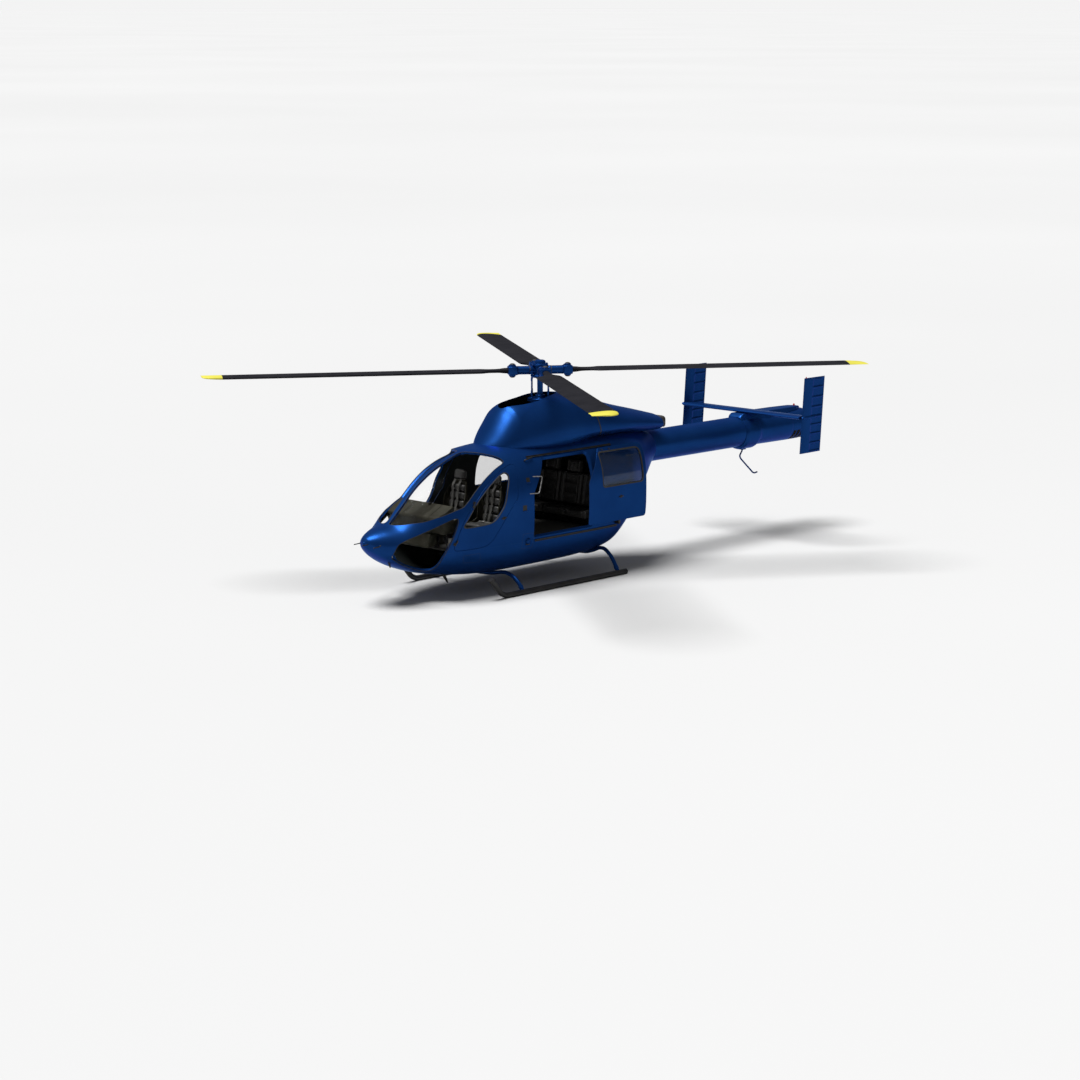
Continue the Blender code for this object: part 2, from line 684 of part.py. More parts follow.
# Which openings each skin panel has
SKIN_OPENINGS = {
    "nose_shell": ["windshield_port", "windshield_starboard", "chin_window_port", "chin_window_starboard"],
    "windshield_post": ["windshield_port", "windshield_starboard"],
    "belly_shell": [],
    "roof_shell": ["windshield_port", "windshield_starboard"],
    "side_frame_port": ["windshield_port", "crew_door_port", "cabin_door_port"],
    "side_frame_starboard": ["windshield_starboard", "crew_door_starboard", "cabin_door_starboard"],
    "aft_pod": [],
}
OPENING_TOOLS = {}
for opening_name in sorted({o for names in SKIN_OPENINGS.values() for o in names}):
    outline, tool_name = OUTLINES[opening_name], "cut_" + opening_name
    if "door" in opening_name:
        taper = CREW_DOOR_TAPER if "crew" in opening_name else EDGE_TAPER
        tool = opening_tool(tool_name, outline, DOOR_LEVELS, taper)
    else:
        tool = opening_tool(tool_name, outline, FIXED_PANE_LEVELS)
    OPENING_TOOLS[opening_name] = tool

POD_GROWN = pod_body("pod_grown", SEAT)
CABIN_SPACE = pod_body("cabin_space", -WALL - SEAT, INNER_START)


def skin_panel(name):
    """One panel of the pod's skin with its openings."""
    region, low, high = SKIN_REGIONS[name]
    shell = pod_shell(name, BLUE_PAINT)
    boolean(shell, helper(prism("region_" + name, region, low, high)), "INTERSECT")
    for opening in SKIN_OPENINGS[name]:
        boolean(shell, OPENING_TOOLS[opening])
    return shell


SKIN = {name: skin_panel(name) for name in SKIN_REGIONS}

# Fixed glass

for side_name, side_sign in SIDES:
    for pane in ("windshield", "chin_window"):
        pane_name = pane + "_" + side_name
        panel(pane_name, OUTLINES[pane_name], FIXED_PANE_LEVELS, SEAT, finish=CLEAR_GLASS)

# Crew doors. Each hangs on a slanted axis along its front edge, on two knuckles
HINGE_PROUD = 0.015  # how far the axis stands off the skin
KNUCKLE_RADIUS, KNUCKLE_LENGTH = 0.008, 0.050
HINGE_LEAF, LEAF_INSET = 0.028, 0.004
DOOR_LEAF_DEPTH, FRAME_LEAF_DEPTH = 0.012, 0.024  # how deep the leaves' far ends run into the skin
LEAF_LIFT = 0.003  # height of the leaves' undersides over the skin at the axis


def hinge_half(name, centre, along, across, outward, depth):
    """A knuckle on the axis with a leaf that runs across onto the skin."""
    knuckle_ends = (centre, centre + along * KNUCKLE_LENGTH)
    knuckle = rod(name, knuckle_ends[0], knuckle_ends[1], KNUCKLE_RADIUS)
    low_at = {0.0: LEAF_LIFT - HINGE_PROUD, HINGE_LEAF: -HINGE_PROUD - depth}
    corners = []
    for u in (LEAF_INSET, KNUCKLE_LENGTH - LEAF_INSET):
        for a, low in low_at.items():
            for n in (low, 0.0):
                corners.append(tuple(centre + along * u + across * a + outward * n))
    faces = [(0, 1, 3, 2), (4, 6, 7, 5), (0, 4, 5, 1), (2, 3, 7, 6), (0, 2, 6, 4), (1, 5, 7, 3)]
    leaf = solid(name + "_leaf", corners, faces)
    return helper(knuckle), helper(leaf)


def build_crew_door(side_name, side):
    hinges = Outline.seen([HINGE_LOWER, HINGE_UPPER], side)
    feet = hinges.points()
    lower, upper = (Vector(place) for place in hinges.points(HINGE_PROUD))
    along = (upper - lower).normalized()
    pivot = axis_empty("crew_door_axis_" + side_name, lower)
    outline, window = OUTLINES["crew_door_" + side_name], OUTLINES["crew_window_" + side_name]
    name = "crew_door_" + side_name
    door = framed_panel(name, outline, window, DOOR_GAP, CREW_DOOR_TAPER, BLUE_PAINT, pivot)
    for label, centre, foot, door_way in (("lower", lower, feet[0], along), ("upper", upper, feet[1], -along)):
        tag = f"hinge_{label}_{side_name}"
        outward = centre - Vector(foot)
        outward = (outward - along * outward.dot(along)).normalized()
        aft = along.cross(outward)
        aft = aft if aft.x > 0 else -aft
        for tool in hinge_half(tag + "_door", centre + door_way * HALF, door_way, aft, outward, DOOR_LEAF_DEPTH):
            boolean(door, tool, "UNION")
        for tool in hinge_half(tag + "_frame", centre - door_way * HALF, -door_way, -aft, outward, FRAME_LEAF_DEPTH):
            boolean(SKIN["side_frame_" + side_name], tool, "UNION")
    panel("crew_window_" + side_name, window, PANE_LEVELS, SEAT, 0.0, CLEAR_GLASS, pivot, (0.6,))


for side_name, side_sign in SIDES:
    build_crew_door(side_name, side_sign)

# Cabin doors. The starboard one is closed; the port one is slid aft, off its rollers' rails


def build_cabin_door(side_name, side):
    gap = SEAT if side == STARBOARD else DOOR_GAP
    names = ("cabin_door_" + side_name, "cabin_window_" + side_name)
    outline, window = OUTLINES[names[0]], OUTLINES[names[1]]
    door = framed_panel(names[0], outline, window, gap, EDGE_TAPER, BLUE_PAINT)
    pane = panel(names[1], window, PANE_LEVELS, SEAT, finish=TINTED_GLASS, shares=(0.6,))
    if side == PORT:
        travel = Matrix.Translation((DOOR_SLID[0], side * DOOR_SLID[1], DOOR_SLID[2]))
        door.data.transform(travel)
        pane.data.transform(travel)
    return door


def build_rail(name, heights, side):
    """A rail that lies on the skin: four corners of its section at each station."""
    rings = []
    for station in np.linspace(*RAIL_STATIONS, RAIL_SPANS + 1):
        line = Outline.seen([(station, heights[0]), (station, heights[1])], side)
        rings.append(np.concatenate([line.points(RAIL_PROUD), line.points(-RAIL_PROUD)[::-1]]))
    return boolean(solid(name, *loft(rings), BLACK_PAINT), POD_GROWN)


CABIN_DOORS = {side_name: build_cabin_door(side_name, side_sign) for side_name, side_sign in SIDES}
for side_name, side_sign in SIDES:
    build_rail("lower_rail_" + side_name, LOWER_RAIL, side_sign)
build_rail("upper_rail_port", UPPER_RAIL, PORT)

# Roller arms that hold the open door off the skin, just above the lower rail and under the upper one
# Columns: name, lowest station, highest station, outboard face, inboard face, bottom, top
ROLLER_ARMS = [
    ("roller_arm_lower", 0.870, 0.910, -0.850, -0.700, 0.775, 0.900),
    ("roller_arm_front", 0.580, 0.610, -0.730, -0.600, 1.940, 1.965),
    ("roller_arm_rear", 0.740, 0.770, -0.730, -0.600, 1.940, 1.965),
]
for arm_name, x0, x1, y0, y1, z0, z1 in ROLLER_ARMS:
    boolean(CABIN_DOORS["port"], helper(box(arm_name, (x0, y0, z0), (x1, y1, z1))), "UNION")
boolean(CABIN_DOORS["port"], POD_GROWN)

# Mast fairing and engine cowling: thin shells over the roof, parted at a slanted seam
COWL_WALL = 0.015
SEAM_X, SEAM_Z, SEAM_LEAN = 0.75, 2.32, -0.25
OPENING_FRONT, OPENING_BACK, OPENING_HALF_WIDTH = -0.86, 0.30, 0.255
COWL_STRIP = 28


def cowl_shell(name):
    outer = body_rings(COWL_SECTIONS, COWL_STATIONS, 0.0, COWL_STRIP)
    inner = body_rings(COWL_SECTIONS, COWL_STATIONS[1:], -COWL_WALL, COWL_STRIP)
    return solid(name, *double_skin(outer, inner), BLUE_PAINT)


def seam_region(name, aft):
    reach = 1.0 if aft else -1.0
    shift = HALF * reach
    low = SEAM_X + SEAM_LEAN * (1.5 - SEAM_Z) + shift
    high = SEAM_X + SEAM_LEAN * (3.5 - SEAM_Z) + shift
    outline = [(low, 1.5), (low + reach * FAR, 1.5), (high + reach * FAR, 3.5), (high, 3.5)]
    return helper(prism(name, outline, -FAR, FAR))


def teardrop(front, back, half_width, count=28):
    """The mast opening in plan: round at the back and drawn out towards the front."""
    angles = 2 * np.pi * np.arange(count) / count
    middle, reach = (front + back) / 2, (back - front) / 2
    x = middle + reach * np.cos(angles)
    y = half_width * np.sin(angles) * (0.90 + 0.10 * np.cos(angles))
    return x, y


x_rim, y_rim = teardrop(OPENING_FRONT, OPENING_BACK, OPENING_HALF_WIDTH)
rim_rings = [np.stack([x_rim, y_rim, np.full_like(x_rim, z)], 1) for z in (2.45, 3.2)]
MAST_OPENING = helper(solid("mast_opening", *loft(rim_rings)))

mast_fairing = cowl_shell("mast_fairing")
boolean(mast_fairing, seam_region("seam_front", False), "INTERSECT")
boolean(mast_fairing, POD_GROWN)
boolean(mast_fairing, MAST_OPENING)
engine_cowling = cowl_shell("engine_cowling")
boolean(engine_cowling, seam_region("seam_back", True), "INTERSECT")
boolean(engine_cowling, POD_GROWN)

# Exhausts: two oval ducts that leave the cowling's open end
ENGINE_BACK = 1.950
EXHAUST_START, EXHAUST_END = ENGINE_BACK + SEAT, 2.54
EXHAUST_Y, EXHAUST_Z = 0.166, 2.148
EXHAUST_WIDTH, EXHAUST_HEIGHT, EXHAUST_WALL = 0.155, 0.090, 0.012


def oval(x, y, z, width, height, count=20, power=2.6):
    angles = 2 * np.pi * np.arange(count) / count
    across, up = np.cos(angles), np.sin(angles)
    ys = y + width * np.abs(across) ** (2 / power) * np.sign(across)
    zs = z + height * np.abs(up) ** (2 / power) * np.sign(up)
    return np.stack([np.full(count, x), ys, zs], 1)


for side_name, side_sign in SIDES:
    duct_y = side_sign * EXHAUST_Y
    bore_size = (EXHAUST_WIDTH - EXHAUST_WALL, EXHAUST_HEIGHT - EXHAUST_WALL)
    duct_rings = [
        oval(EXHAUST_START, duct_y, EXHAUST_Z, EXHAUST_WIDTH, EXHAUST_HEIGHT),
        oval(EXHAUST_END, duct_y, EXHAUST_Z, EXHAUST_WIDTH, EXHAUST_HEIGHT),
        oval(EXHAUST_END, duct_y, EXHAUST_Z, *bore_size),
        oval(EXHAUST_START + EXHAUST_WALL, duct_y, EXHAUST_Z, *bore_size),
    ]
    boolean(solid("exhaust_" + side_name, *loft(duct_rings), BLACK_PAINT), POD_GROWN)

# Engine and gearbox, as plain blocks on the roof
ROOF_TOP = 2.1805
box("engine_block", (0.95, -0.26, ROOF_TOP), (ENGINE_BACK, 0.26, 2.33), BARE_METAL)
box("gearbox", (-0.24, -0.20, ROOF_TOP), (0.24, 0.20, 2.55), BARE_METAL)

# Rotor
ROTOR = axis_empty("main_rotor_axis", (0.0, 0.0, ROTOR_HEIGHT))
MAST_RADIUS, MAST_FOOT, HUB_BOTTOM, HUB_TOP = 0.045, 2.5503, 3.060, 3.275
rod("rotor_mast", (0, 0, MAST_FOOT), (0, 0, HUB_BOTTOM - SEAT), MAST_RADIUS, BLUE_PAINT, ROTOR, 16)

HUB_RADIUS, ARM_RADIUS, ARM_REACH, KNOB_RADIUS, KNOB_REACH = 0.125, 0.068, 0.500, 0.052, 0.430
KNOB_HEIGHTS = (3.075, 3.280)
LINK_ALONG, LINK_ACROSS, LINK_RADIUS = 0.150, 0.095, 0.011
HORN_HEIGHTS = (3.120, 3.165)
SWASH_HEIGHTS, SWASH_RADIUS = (2.700, 2.745), 0.195


def blade_axes(k):
    """Unit vectors out along blade k and across it, towards its leading edge."""
    angle = FIRST_BLADE_ANGLE + 2 * math.pi * k / BLADES
    return Vector((math.cos(angle), math.sin(angle), 0)), Vector((-math.sin(angle), math.cos(angle), 0))


hub = rod("rotor_hub", (0, 0, HUB_BOTTOM), (0, 0, HUB_TOP), HUB_RADIUS, BLUE_PAINT, ROTOR, 16)
hub_tools = [rod("hub_cap", (0, 0, HUB_TOP - 0.02), (0, 0, 3.330), 0.085, sides=12)]
for k in range(BLADES // 2):
    out, _ = blade_axes(k)
    level = Vector((0, 0, ROTOR_HEIGHT))
    hub_tools.append(rod(f"hub_arm_{k}", level - out * ARM_REACH, level + out * ARM_REACH, ARM_RADIUS, sides=8))
for k in range(BLADES):
    out, lead = blade_axes(k)
    foot = out * KNOB_REACH
    knob_ends = [foot + Vector((0, 0, z)) for z in KNOB_HEIGHTS]
    hub_tools.append(rod(f"hub_knob_{k}", knob_ends[0], knob_ends[1], KNOB_RADIUS, sides=8))
    corners = []
    for a in (LINK_ALONG - 0.020, LINK_ALONG + 0.020):
        for c in (0.0, LINK_ACROSS + 0.018):
            for z in HORN_HEIGHTS:
                corners.append(tuple(out * a + lead * c + Vector((0, 0, z))))
    horn_faces = [(0, 1, 3, 2), (4, 6, 7, 5), (0, 4, 5, 1), (2, 3, 7, 6), (0, 2, 6, 4), (1, 5, 7, 3)]
    hub_tools.append(solid(f"pitch_horn_{k}", corners, horn_faces))
for tool in hub_tools:
    boolean(hub, helper(tool), "UNION")

swashplate = rod(
    "swashplate",
    (0, 0, SWASH_HEIGHTS[0]),
    (0, 0, SWASH_HEIGHTS[1]),
    SWASH_RADIUS,
    BLUE_PAINT,
    ROTOR,
    16,
    MAST_RADIUS + SEAT,
)
for k in range(BLADES):
    out, lead = blade_axes(k)
    foot = out * LINK_ALONG + lead * LINK_ACROSS
    link_ends = (foot + Vector((0, 0, SWASH_HEIGHTS[1] - 0.01)), foot + Vector((0, 0, HORN_HEIGHTS[0] - SEAT)))
    link = rod(f"pitch_link_{k}", link_ends[0], link_ends[1], LINK_RADIUS, sides=8)
    boolean(swashplate, helper(link), "UNION")

# Blade sections. Columns: radius, leading edge, trailing edge (both across), thickness, roundness
BLADE_SECTIONS = [
    (ARM_REACH + SEAT, 0.055, -0.055, 0.110, 1.0),
    (0.570, 0.055, -0.055, 0.085, 1.0),
    (0.640, 0.060, -0.060, 0.050, 0.8),
    (0.780, 0.070, -0.075, 0.044, 0.5),
    (0.940, 0.160, -0.250, 0.048, 0.0),
    (2.800, 0.160, -0.250, 0.045, 0.0),
    (4.850, 0.160, -0.250, 0.042, 0.0),
    (5.020, 0.140, -0.252, 0.032, 0.0),
    (5.120, 0.085, -0.256, 0.020, 0.0),
    (ROTOR_RADIUS, 0.010, -0.258, 0.010, 0.0),
]
BLADE_POINTS = 16


def blade_ring(k, section):
    """One section: an airfoil that turns into an oval towards the root."""
    radius, lead_edge, trail_edge, thickness, roundness = section
    out, lead = blade_axes(k)
    chord = lead_edge - trail_edge
    ring = []
    for i in range(BLADE_POINTS):
        angle = 2 * math.pi * i / BLADE_POINTS
        share = (1 + math.cos(angle)) / 2  # 1 at the leading edge
        back = 1 - share
        wing = 2.969 * math.sqrt(back) - 1.260 * back - 3.516 * back**2 + 2.843 * back**3 - 1.036 * back**4
        wing = max(wing, 0.05)
        bulge = (1 - roundness) * wing + roundness * abs(math.sin(angle))
        z = thickness / 2 * bulge * (1 if math.sin(angle) > 1e-9 else -1 if math.sin(angle) < -1e-9 else 0)
        place = out * radius + lead * (trail_edge + chord * share) + Vector((0, 0, ROTOR_HEIGHT + z))
        ring.append(tuple(place))
    return ring


for k in range(BLADES):
    blade_rings = [blade_ring(k, section) for section in BLADE_SECTIONS]
    solid(f"rotor_blade_{k + 1}", *loft(blade_rings), BLADE_SKIN, ROTOR)

# Tail boom, its collar and tail section, and the turning jet can
TAIL_WALL = 0.012
# Columns: station, bottom, top, half width
TAIL_SECTIONS = [
    (COLLAR_START, 1.430, 1.992, 0.268),
    (5.030, 1.430, 1.992, 0.268),
    (5.034, 1.476, 1.984, 0.256),
    (5.400, 1.470, 1.990, 0.260),
    (CAN_START, 1.466, 1.994, 0.264),
]
CAN_SECTIONS = [
    (CAN_START, 0.264),
    (6.150, 0.262),
    (6.350, 0.235),
    (6.430, 0.170),
    (TAIL_END, 0.110),
]


def tail_oval(x, bottom, top, width):
    return oval(x, 0.0, (bottom + top) / 2, width, (top - bottom) / 2, AROUND, 2.0)


boom_ring = (BOOM_HEIGHT - BOOM_RADIUS, BOOM_HEIGHT + BOOM_RADIUS, BOOM_RADIUS)
boom_bore = (boom_ring[0] + TAIL_WALL, boom_ring[1] - TAIL_WALL, BOOM_RADIUS - TAIL_WALL)
boom_rings = [
    tail_oval(POD_END + SEAT, *boom_ring),
    tail_oval(COLLAR_START - SEAT, *boom_ring),
    tail_oval(COLLAR_START - SEAT, *boom_bore),
    tail_oval(POD_END + SEAT, *boom_bore),
]
solid("tail_boom", *loft(boom_rings, closed_path=True), BLUE_PAINT)

tail_outer = [tail_oval(x, low, high, width) for x, low, high, width in TAIL_SECTIONS]
tail_inner = [tail_oval(x, *boom_bore) for x in (CAN_START, COLLAR_START)]
tail_section = solid("tail_section", *loft(tail_outer + tail_inner, closed_path=True), BLUE_PAINT)

CAN = axis_empty("jet_can_axis", (CAN_START, 0.0, BOOM_HEIGHT))
can_outer = [tail_oval(x + SEAT, BOOM_HEIGHT - r, BOOM_HEIGHT + r, r) for x, r in CAN_SECTIONS]
can_bore = BOOM_RADIUS - TAIL_WALL
can_inner = [
    tail_oval(6.14, BOOM_HEIGHT - can_bore, BOOM_HEIGHT + can_bore, can_bore),
    tail_oval(CAN_START + SEAT, BOOM_HEIGHT - can_bore, BOOM_HEIGHT + can_bore, can_bore),
]
can_rings = can_outer[::-1] + can_inner[::-1]
jet_can = solid("jet_can", *loft(can_rings), BLUE_PAINT, CAN)
# The nozzle slots, low on the port side. Columns: first station, last station
CAN_SLOTS = [(5.905, 5.985), (6.005, 6.085), (6.105, 6.128)]
SLOT_LOW, SLOT_HIGH = 1.500, 1.640
for k, (x0, x1) in enumerate(CAN_SLOTS[:2]):
    boolean(jet_can, helper(box(f"can_slot_{k}", (x0, -0.40, SLOT_LOW), (x1, -0.02, SLOT_HIGH))))

# Fairing on the tail that carries the stabiliser and runs aft over the can
STABILISER_Z, STABILISER_HALF_SPAN, STABILISER_THICK = 2.0643, 1.2457, 0.056
STABILISER_FRONT, STABILISER_BACK = 4.745, 5.075
CAN_CLEAR = 0.006
# Columns: station, half width, top
RIDGE_SECTIONS = [
    (4.460, 0.030, 1.985),
    (4.520, 0.100, 2.010),
    (4.640, 0.135, 2.036),
    (5.080, 0.135, 2.036),
    (5.250, 0.150, 2.034),
    (5.700, 0.140, 2.032),
    (6.100, 0.110, 2.028),
    (6.220, 0.070, 2.020),
]
RIDGE_FOOT = 1.86
FOOT_SPREAD = 1.35  # how much wider the ridge is at its foot


def ridge_ring(x, half, top):
    """A trapezium with softened upper corners."""
    spread = half * FOOT_SPREAD
    soft = min(0.5 * half, 0.03)
    left = [(-spread, RIDGE_FOOT), (-half, top - 0.5 * soft), (-half + soft, top)]
    right = [(-y, z) for y, z in left[::-1]]
    return [(x, y, z) for y, z in left + right]


ridge = solid("tail_fairing", *loft([ridge_ring(*row) for row in RIDGE_SECTIONS]), BLUE_PAINT)
tail_grown = [
    tail_oval(x, low - SEAT, high + SEAT, width + SEAT) for x, low, high, width in TAIL_SECTIONS
]
tail_grown.insert(0, tail_oval(COLLAR_START, 1.430, BOOM_HEIGHT + BOOM_RADIUS + SEAT, 0.268))
tail_grown.insert(0, tail_oval(POD_END, 1.430, BOOM_HEIGHT + BOOM_RADIUS + SEAT, 0.268))
can_reach = CAN_SECTIONS[0][1] + CAN_CLEAR
tail_grown.append(tail_oval(CAN_START + 0.001, BOOM_HEIGHT - can_reach, BOOM_HEIGHT + can_reach, can_reach))
tail_grown.append(tail_oval(6.60, BOOM_HEIGHT - can_reach, BOOM_HEIGHT + can_reach, can_reach))
boolean(ridge, helper(solid("tail_grown", *loft(tail_grown))))


def wing_ring(lead, trail, thickness, place):
    """A flat-bottomed wing section; place turns (chordwise, thick) into a point."""
    chord = trail - lead
    # Columns: share of the chord, share of the thickness
    shape = [(0.0, 0.0), (0.06, 0.34), (0.22, 0.5), (0.5, 0.42), (1.0, 0.10)]
    shape += [(1.0, -0.10), (0.5, -0.42), (0.22, -0.5), (0.06, -0.34)]
    return [place(lead + chord * c, thickness * t) for c, t in shape]


stabiliser_rings = []
for y in (-STABILISER_HALF_SPAN, 0.0, STABILISER_HALF_SPAN):
    stabiliser_rings.append(
        wing_ring(
            STABILISER_FRONT,
            STABILISER_BACK,
            STABILISER_THICK,
            lambda c, t, y=y: (c, y, STABILISER_Z + t),
        )
    )
solid("stabiliser", *loft(stabiliser_rings), BLUE_PAINT)

FIN_Y, FIN_THICK, FIN_CHORD = 1.271, 0.050, 0.520
FIN_BOTTOM, FIN_TOP, FIN_LEAD, FIN_SWEEP = 1.479, 2.708, 4.808, math.tan(math.radians(4.52))


def fin_ring(z, side):
    lead = FIN_LEAD + FIN_SWEEP * (z - STABILISER_Z)
    return wing_ring(lead, lead + FIN_CHORD, FIN_THICK, lambda c, t: (c, side * FIN_Y + t, z))


for side_name, side_sign in SIDES:
    fin_heights = (FIN_BOTTOM, (FIN_BOTTOM + FIN_TOP) / 2, FIN_TOP)
    solid("fin_" + side_name, *loft([fin_ring(z, side_sign) for z in fin_heights]), BLUE_PAINT)

TAIL_SKID_PATH = [
    (4.827, 0.0, 1.4297),
    (4.827, 0.0, 1.395),
    (4.765, 0.0, 1.320),
    (4.790, 0.0, 1.270),
    (5.110, 0.0, 1.000),
    (5.150, 0.0, 0.985),
    (5.225, 0.0, 0.995),
]
bent_tube("tail_skid", TAIL_SKID_PATH, 0.013, BLUE_PAINT, sides=8)

# Skids and cross tubes
SKID_SIDES = 12
SKID_Z = SKID_RADIUS * math.cos(math.pi / SKID_SIDES)
SKID_PATH = [
    (-2.045, 0.330),
    (-1.835, 0.085),
    (-1.790, SKID_Z + 0.012),
    (-1.735, SKID_Z),
    (0.920, SKID_Z),
]
SKIDS = {}
for side_name, side_sign in SIDES:
    skid_path = [(x, side_sign * SKID_TRACK / 2, z) for x, z in SKID_PATH]
    SKIDS[side_name] = bent_tube("skid_" + side_name, skid_path, SKID_RADIUS, BLACK_PAINT, sides=SKID_SIDES)

CROSS_RADIUS = 0.030
# Half of each cross tube. Columns: half width, height
CROSS_TUBES = {
    "cross_tube_front": (-1.370, [(0.0, 0.2255), (0.273, 0.239), (0.40, 0.262), (0.50, 0.285), (0.61, 0.293)]),
    "cross_tube_rear": (0.735, [(0.0, 0.265), (0.30, 0.285), (0.45, 0.330), (0.56, 0.382), (0.65, 0.388)]),
}
CROSS_ENDS = {
    "cross_tube_front": [(0.70, 0.274), (0.801, 0.231), (0.884, 0.166), (0.955, 0.070)],
    "cross_tube_rear": [(0.72, 0.360), (0.817, 0.281), (0.885, 0.190), (0.955, 0.070)],
}
for tube_name, (tube_x, tube_half) in CROSS_TUBES.items():
    tube_half = tube_half + CROSS_ENDS[tube_name]
    tube_path = [(tube_x, -y, z) for y, z in tube_half[:0:-1]] + [(tube_x, y, z) for y, z in tube_half]
    cross_tube = bent_tube(tube_name, tube_path, CROSS_RADIUS, BLUE_PAINT, sides=12)
    boolean(cross_tube, POD_GROWN)
    for side_name, side_sign in SIDES:
        skid_y = side_sign * SKID_TRACK / 2
        reach = [(x, skid_y, SKID_Z) for x in (-1.60, 0.90)]
        saddle = rod(f"saddle_{tube_name}_{side_name}", reach[0], reach[1], SKID_RADIUS + SEAT, sides=SKID_SIDES)
        boolean(cross_tube, helper(saddle))

# Cabin interior
FLOOR_Z, FLOOR_THICK = 0.7455, 0.025
FLOOR_FRONT, BULKHEAD_X = -2.480, 0.960
floor = box("cabin_floor", (FLOOR_FRONT, -1, FLOOR_Z), (0.995, 1, FLOOR_Z + FLOOR_THICK), FLOOR_TRIM)
boolean(floor, CABIN_SPACE, "INTERSECT")
bulkhead_low = FLOOR_Z + FLOOR_THICK + SEAT
bulkhead = box("aft_bulkhead", (BULKHEAD_X, -1, bulkhead_low), (0.985, 1, 2.3), FLOOR_TRIM)
boolean(bulkhead, CABIN_SPACE, "INTERSECT")

FLOOR_TOP = FLOOR_Z + FLOOR_THICK + SEAT
# Crew seat seen from the side: (station, height), bucket then backrest with headrest
CREW_SEAT_SIDE = [
    (-1.840, 0.930),
    (-1.880, 0.990),
    (-1.850, 1.045),
    (-1.560, 1.015),
    (-1.475, 1.060),
    (-1.400, 1.560),
    (-1.385, 1.700),
    (-1.350, 1.735),
    (-1.270, 1.725),
    (-1.255, 1.600),
    (-1.290, 1.500),
    (-1.350, 1.020),
    (-1.400, 0.930),
    (-1.440, FLOOR_TOP),
    (-1.780, FLOOR_TOP),
]
CREW_SEAT_Y, CREW_SEAT_HALF = 0.370, 0.225
for side_name, side_sign in SIDES:
    seat_y = side_sign * CREW_SEAT_Y
    seat = prism(
        "crew_seat_" + side_name, CREW_SEAT_SIDE, seat_y - CREW_SEAT_HALF, seat_y + CREW_SEAT_HALF, SEAT_LEATHER
    )
    bevel = seat.modifiers.new("soft_edges", "BEVEL")
    bevel.width = 0.02
    bevel.segments = 1

REAR_SEAT_SIDE = [
    (0.280, 0.900),
    (0.250, 0.960),
    (0.280, 1.020),
    (0.600, 0.990),
    (0.660, 1.040),
    (0.740, 1.560),
    (0.770, 1.680),
    (0.860, 1.690),
    (0.880, 1.600),
    (0.820, 1.000),
    (0.800, 0.880),
    (0.780, FLOOR_TOP),
    (0.420, FLOOR_TOP),
    (0.400, 0.880),
]
REAR_SEATS = (("port", -0.470), ("middle", 0.0), ("starboard", 0.470))
REAR_SEAT_HALF = 0.2345
for seat_label, seat_y in REAR_SEATS:
    seat = prism(
        "rear_seat_" + seat_label, REAR_SEAT_SIDE, seat_y - REAR_SEAT_HALF, seat_y + REAR_SEAT_HALF, SEAT_LEATHER
    )
    boolean(seat, CABIN_SPACE, "INTERSECT")

PANEL_SIDE = [(-2.730, 1.230), (-2.720, 1.270), (-2.420, 1.420), (-2.390, 1.400), (-2.400, 1.020), (-2.640, 1.020)]
instrument_panel = prism("instrument_panel", PANEL_SIDE, -0.56, 0.56, SHELL_PLASTIC)
boolean(instrument_panel, CABIN_SPACE, "INTERSECT")
CONSOLE_SIDE = [(-2.470, FLOOR_TOP), (-2.100, FLOOR_TOP), (-2.120, 0.930), (-2.330, 1.0197), (-2.470, 1.0197)]
prism("centre_console", CONSOLE_SIDE, -0.13, 0.13, SHELL_PLASTIC)
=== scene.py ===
# %% [markdown]
# # A light helicopter, dressed over its solid frame
#
# The solid model of this machine is already made. It is plain: coarse skins,
# bare blocks and one flat colour a piece. This lesson loads it as a fixed frame and dresses it, node
# by node, with fine surfaces and finishes, so that it looks like the real machine from every side.
# Loading comes first, because every piece that follows is measured from the frame and rides on it.

# %% Load the frame
import json
import math

import bmesh
import bpy
import numpy as np
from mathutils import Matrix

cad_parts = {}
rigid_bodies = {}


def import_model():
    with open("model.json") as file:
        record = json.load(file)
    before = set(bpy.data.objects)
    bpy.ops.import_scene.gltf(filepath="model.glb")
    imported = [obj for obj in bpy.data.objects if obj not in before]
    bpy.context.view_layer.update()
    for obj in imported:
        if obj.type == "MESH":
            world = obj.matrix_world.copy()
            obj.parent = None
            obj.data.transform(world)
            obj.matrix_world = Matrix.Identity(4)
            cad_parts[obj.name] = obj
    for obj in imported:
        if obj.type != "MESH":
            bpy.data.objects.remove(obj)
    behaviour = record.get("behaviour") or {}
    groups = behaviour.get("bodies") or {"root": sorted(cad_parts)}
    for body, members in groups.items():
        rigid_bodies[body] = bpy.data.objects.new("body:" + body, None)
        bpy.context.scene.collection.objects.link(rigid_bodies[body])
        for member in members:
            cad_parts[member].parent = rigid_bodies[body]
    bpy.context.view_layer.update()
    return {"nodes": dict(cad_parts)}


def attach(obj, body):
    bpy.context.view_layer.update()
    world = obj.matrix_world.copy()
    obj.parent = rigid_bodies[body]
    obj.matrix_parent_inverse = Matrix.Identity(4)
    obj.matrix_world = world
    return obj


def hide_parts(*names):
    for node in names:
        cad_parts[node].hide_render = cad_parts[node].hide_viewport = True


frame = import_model()

# %% [markdown]
# ## Where things are
#
# Aircraft drawings give places along the body as stations. Here the stations are counted from the
# rotor mast's axis, with the nose at negative numbers, so that a window and the door behind it have
# simple numbers. The frame's own middle lies elsewhere, so one number moves a shape into it.

# %% Stations and sides
MAST_X = -1.1117  # where the mast's axis lies in the frame
PORT, STARBOARD = -1, 1
SIDES = (("port", PORT), ("starboard", STARBOARD))


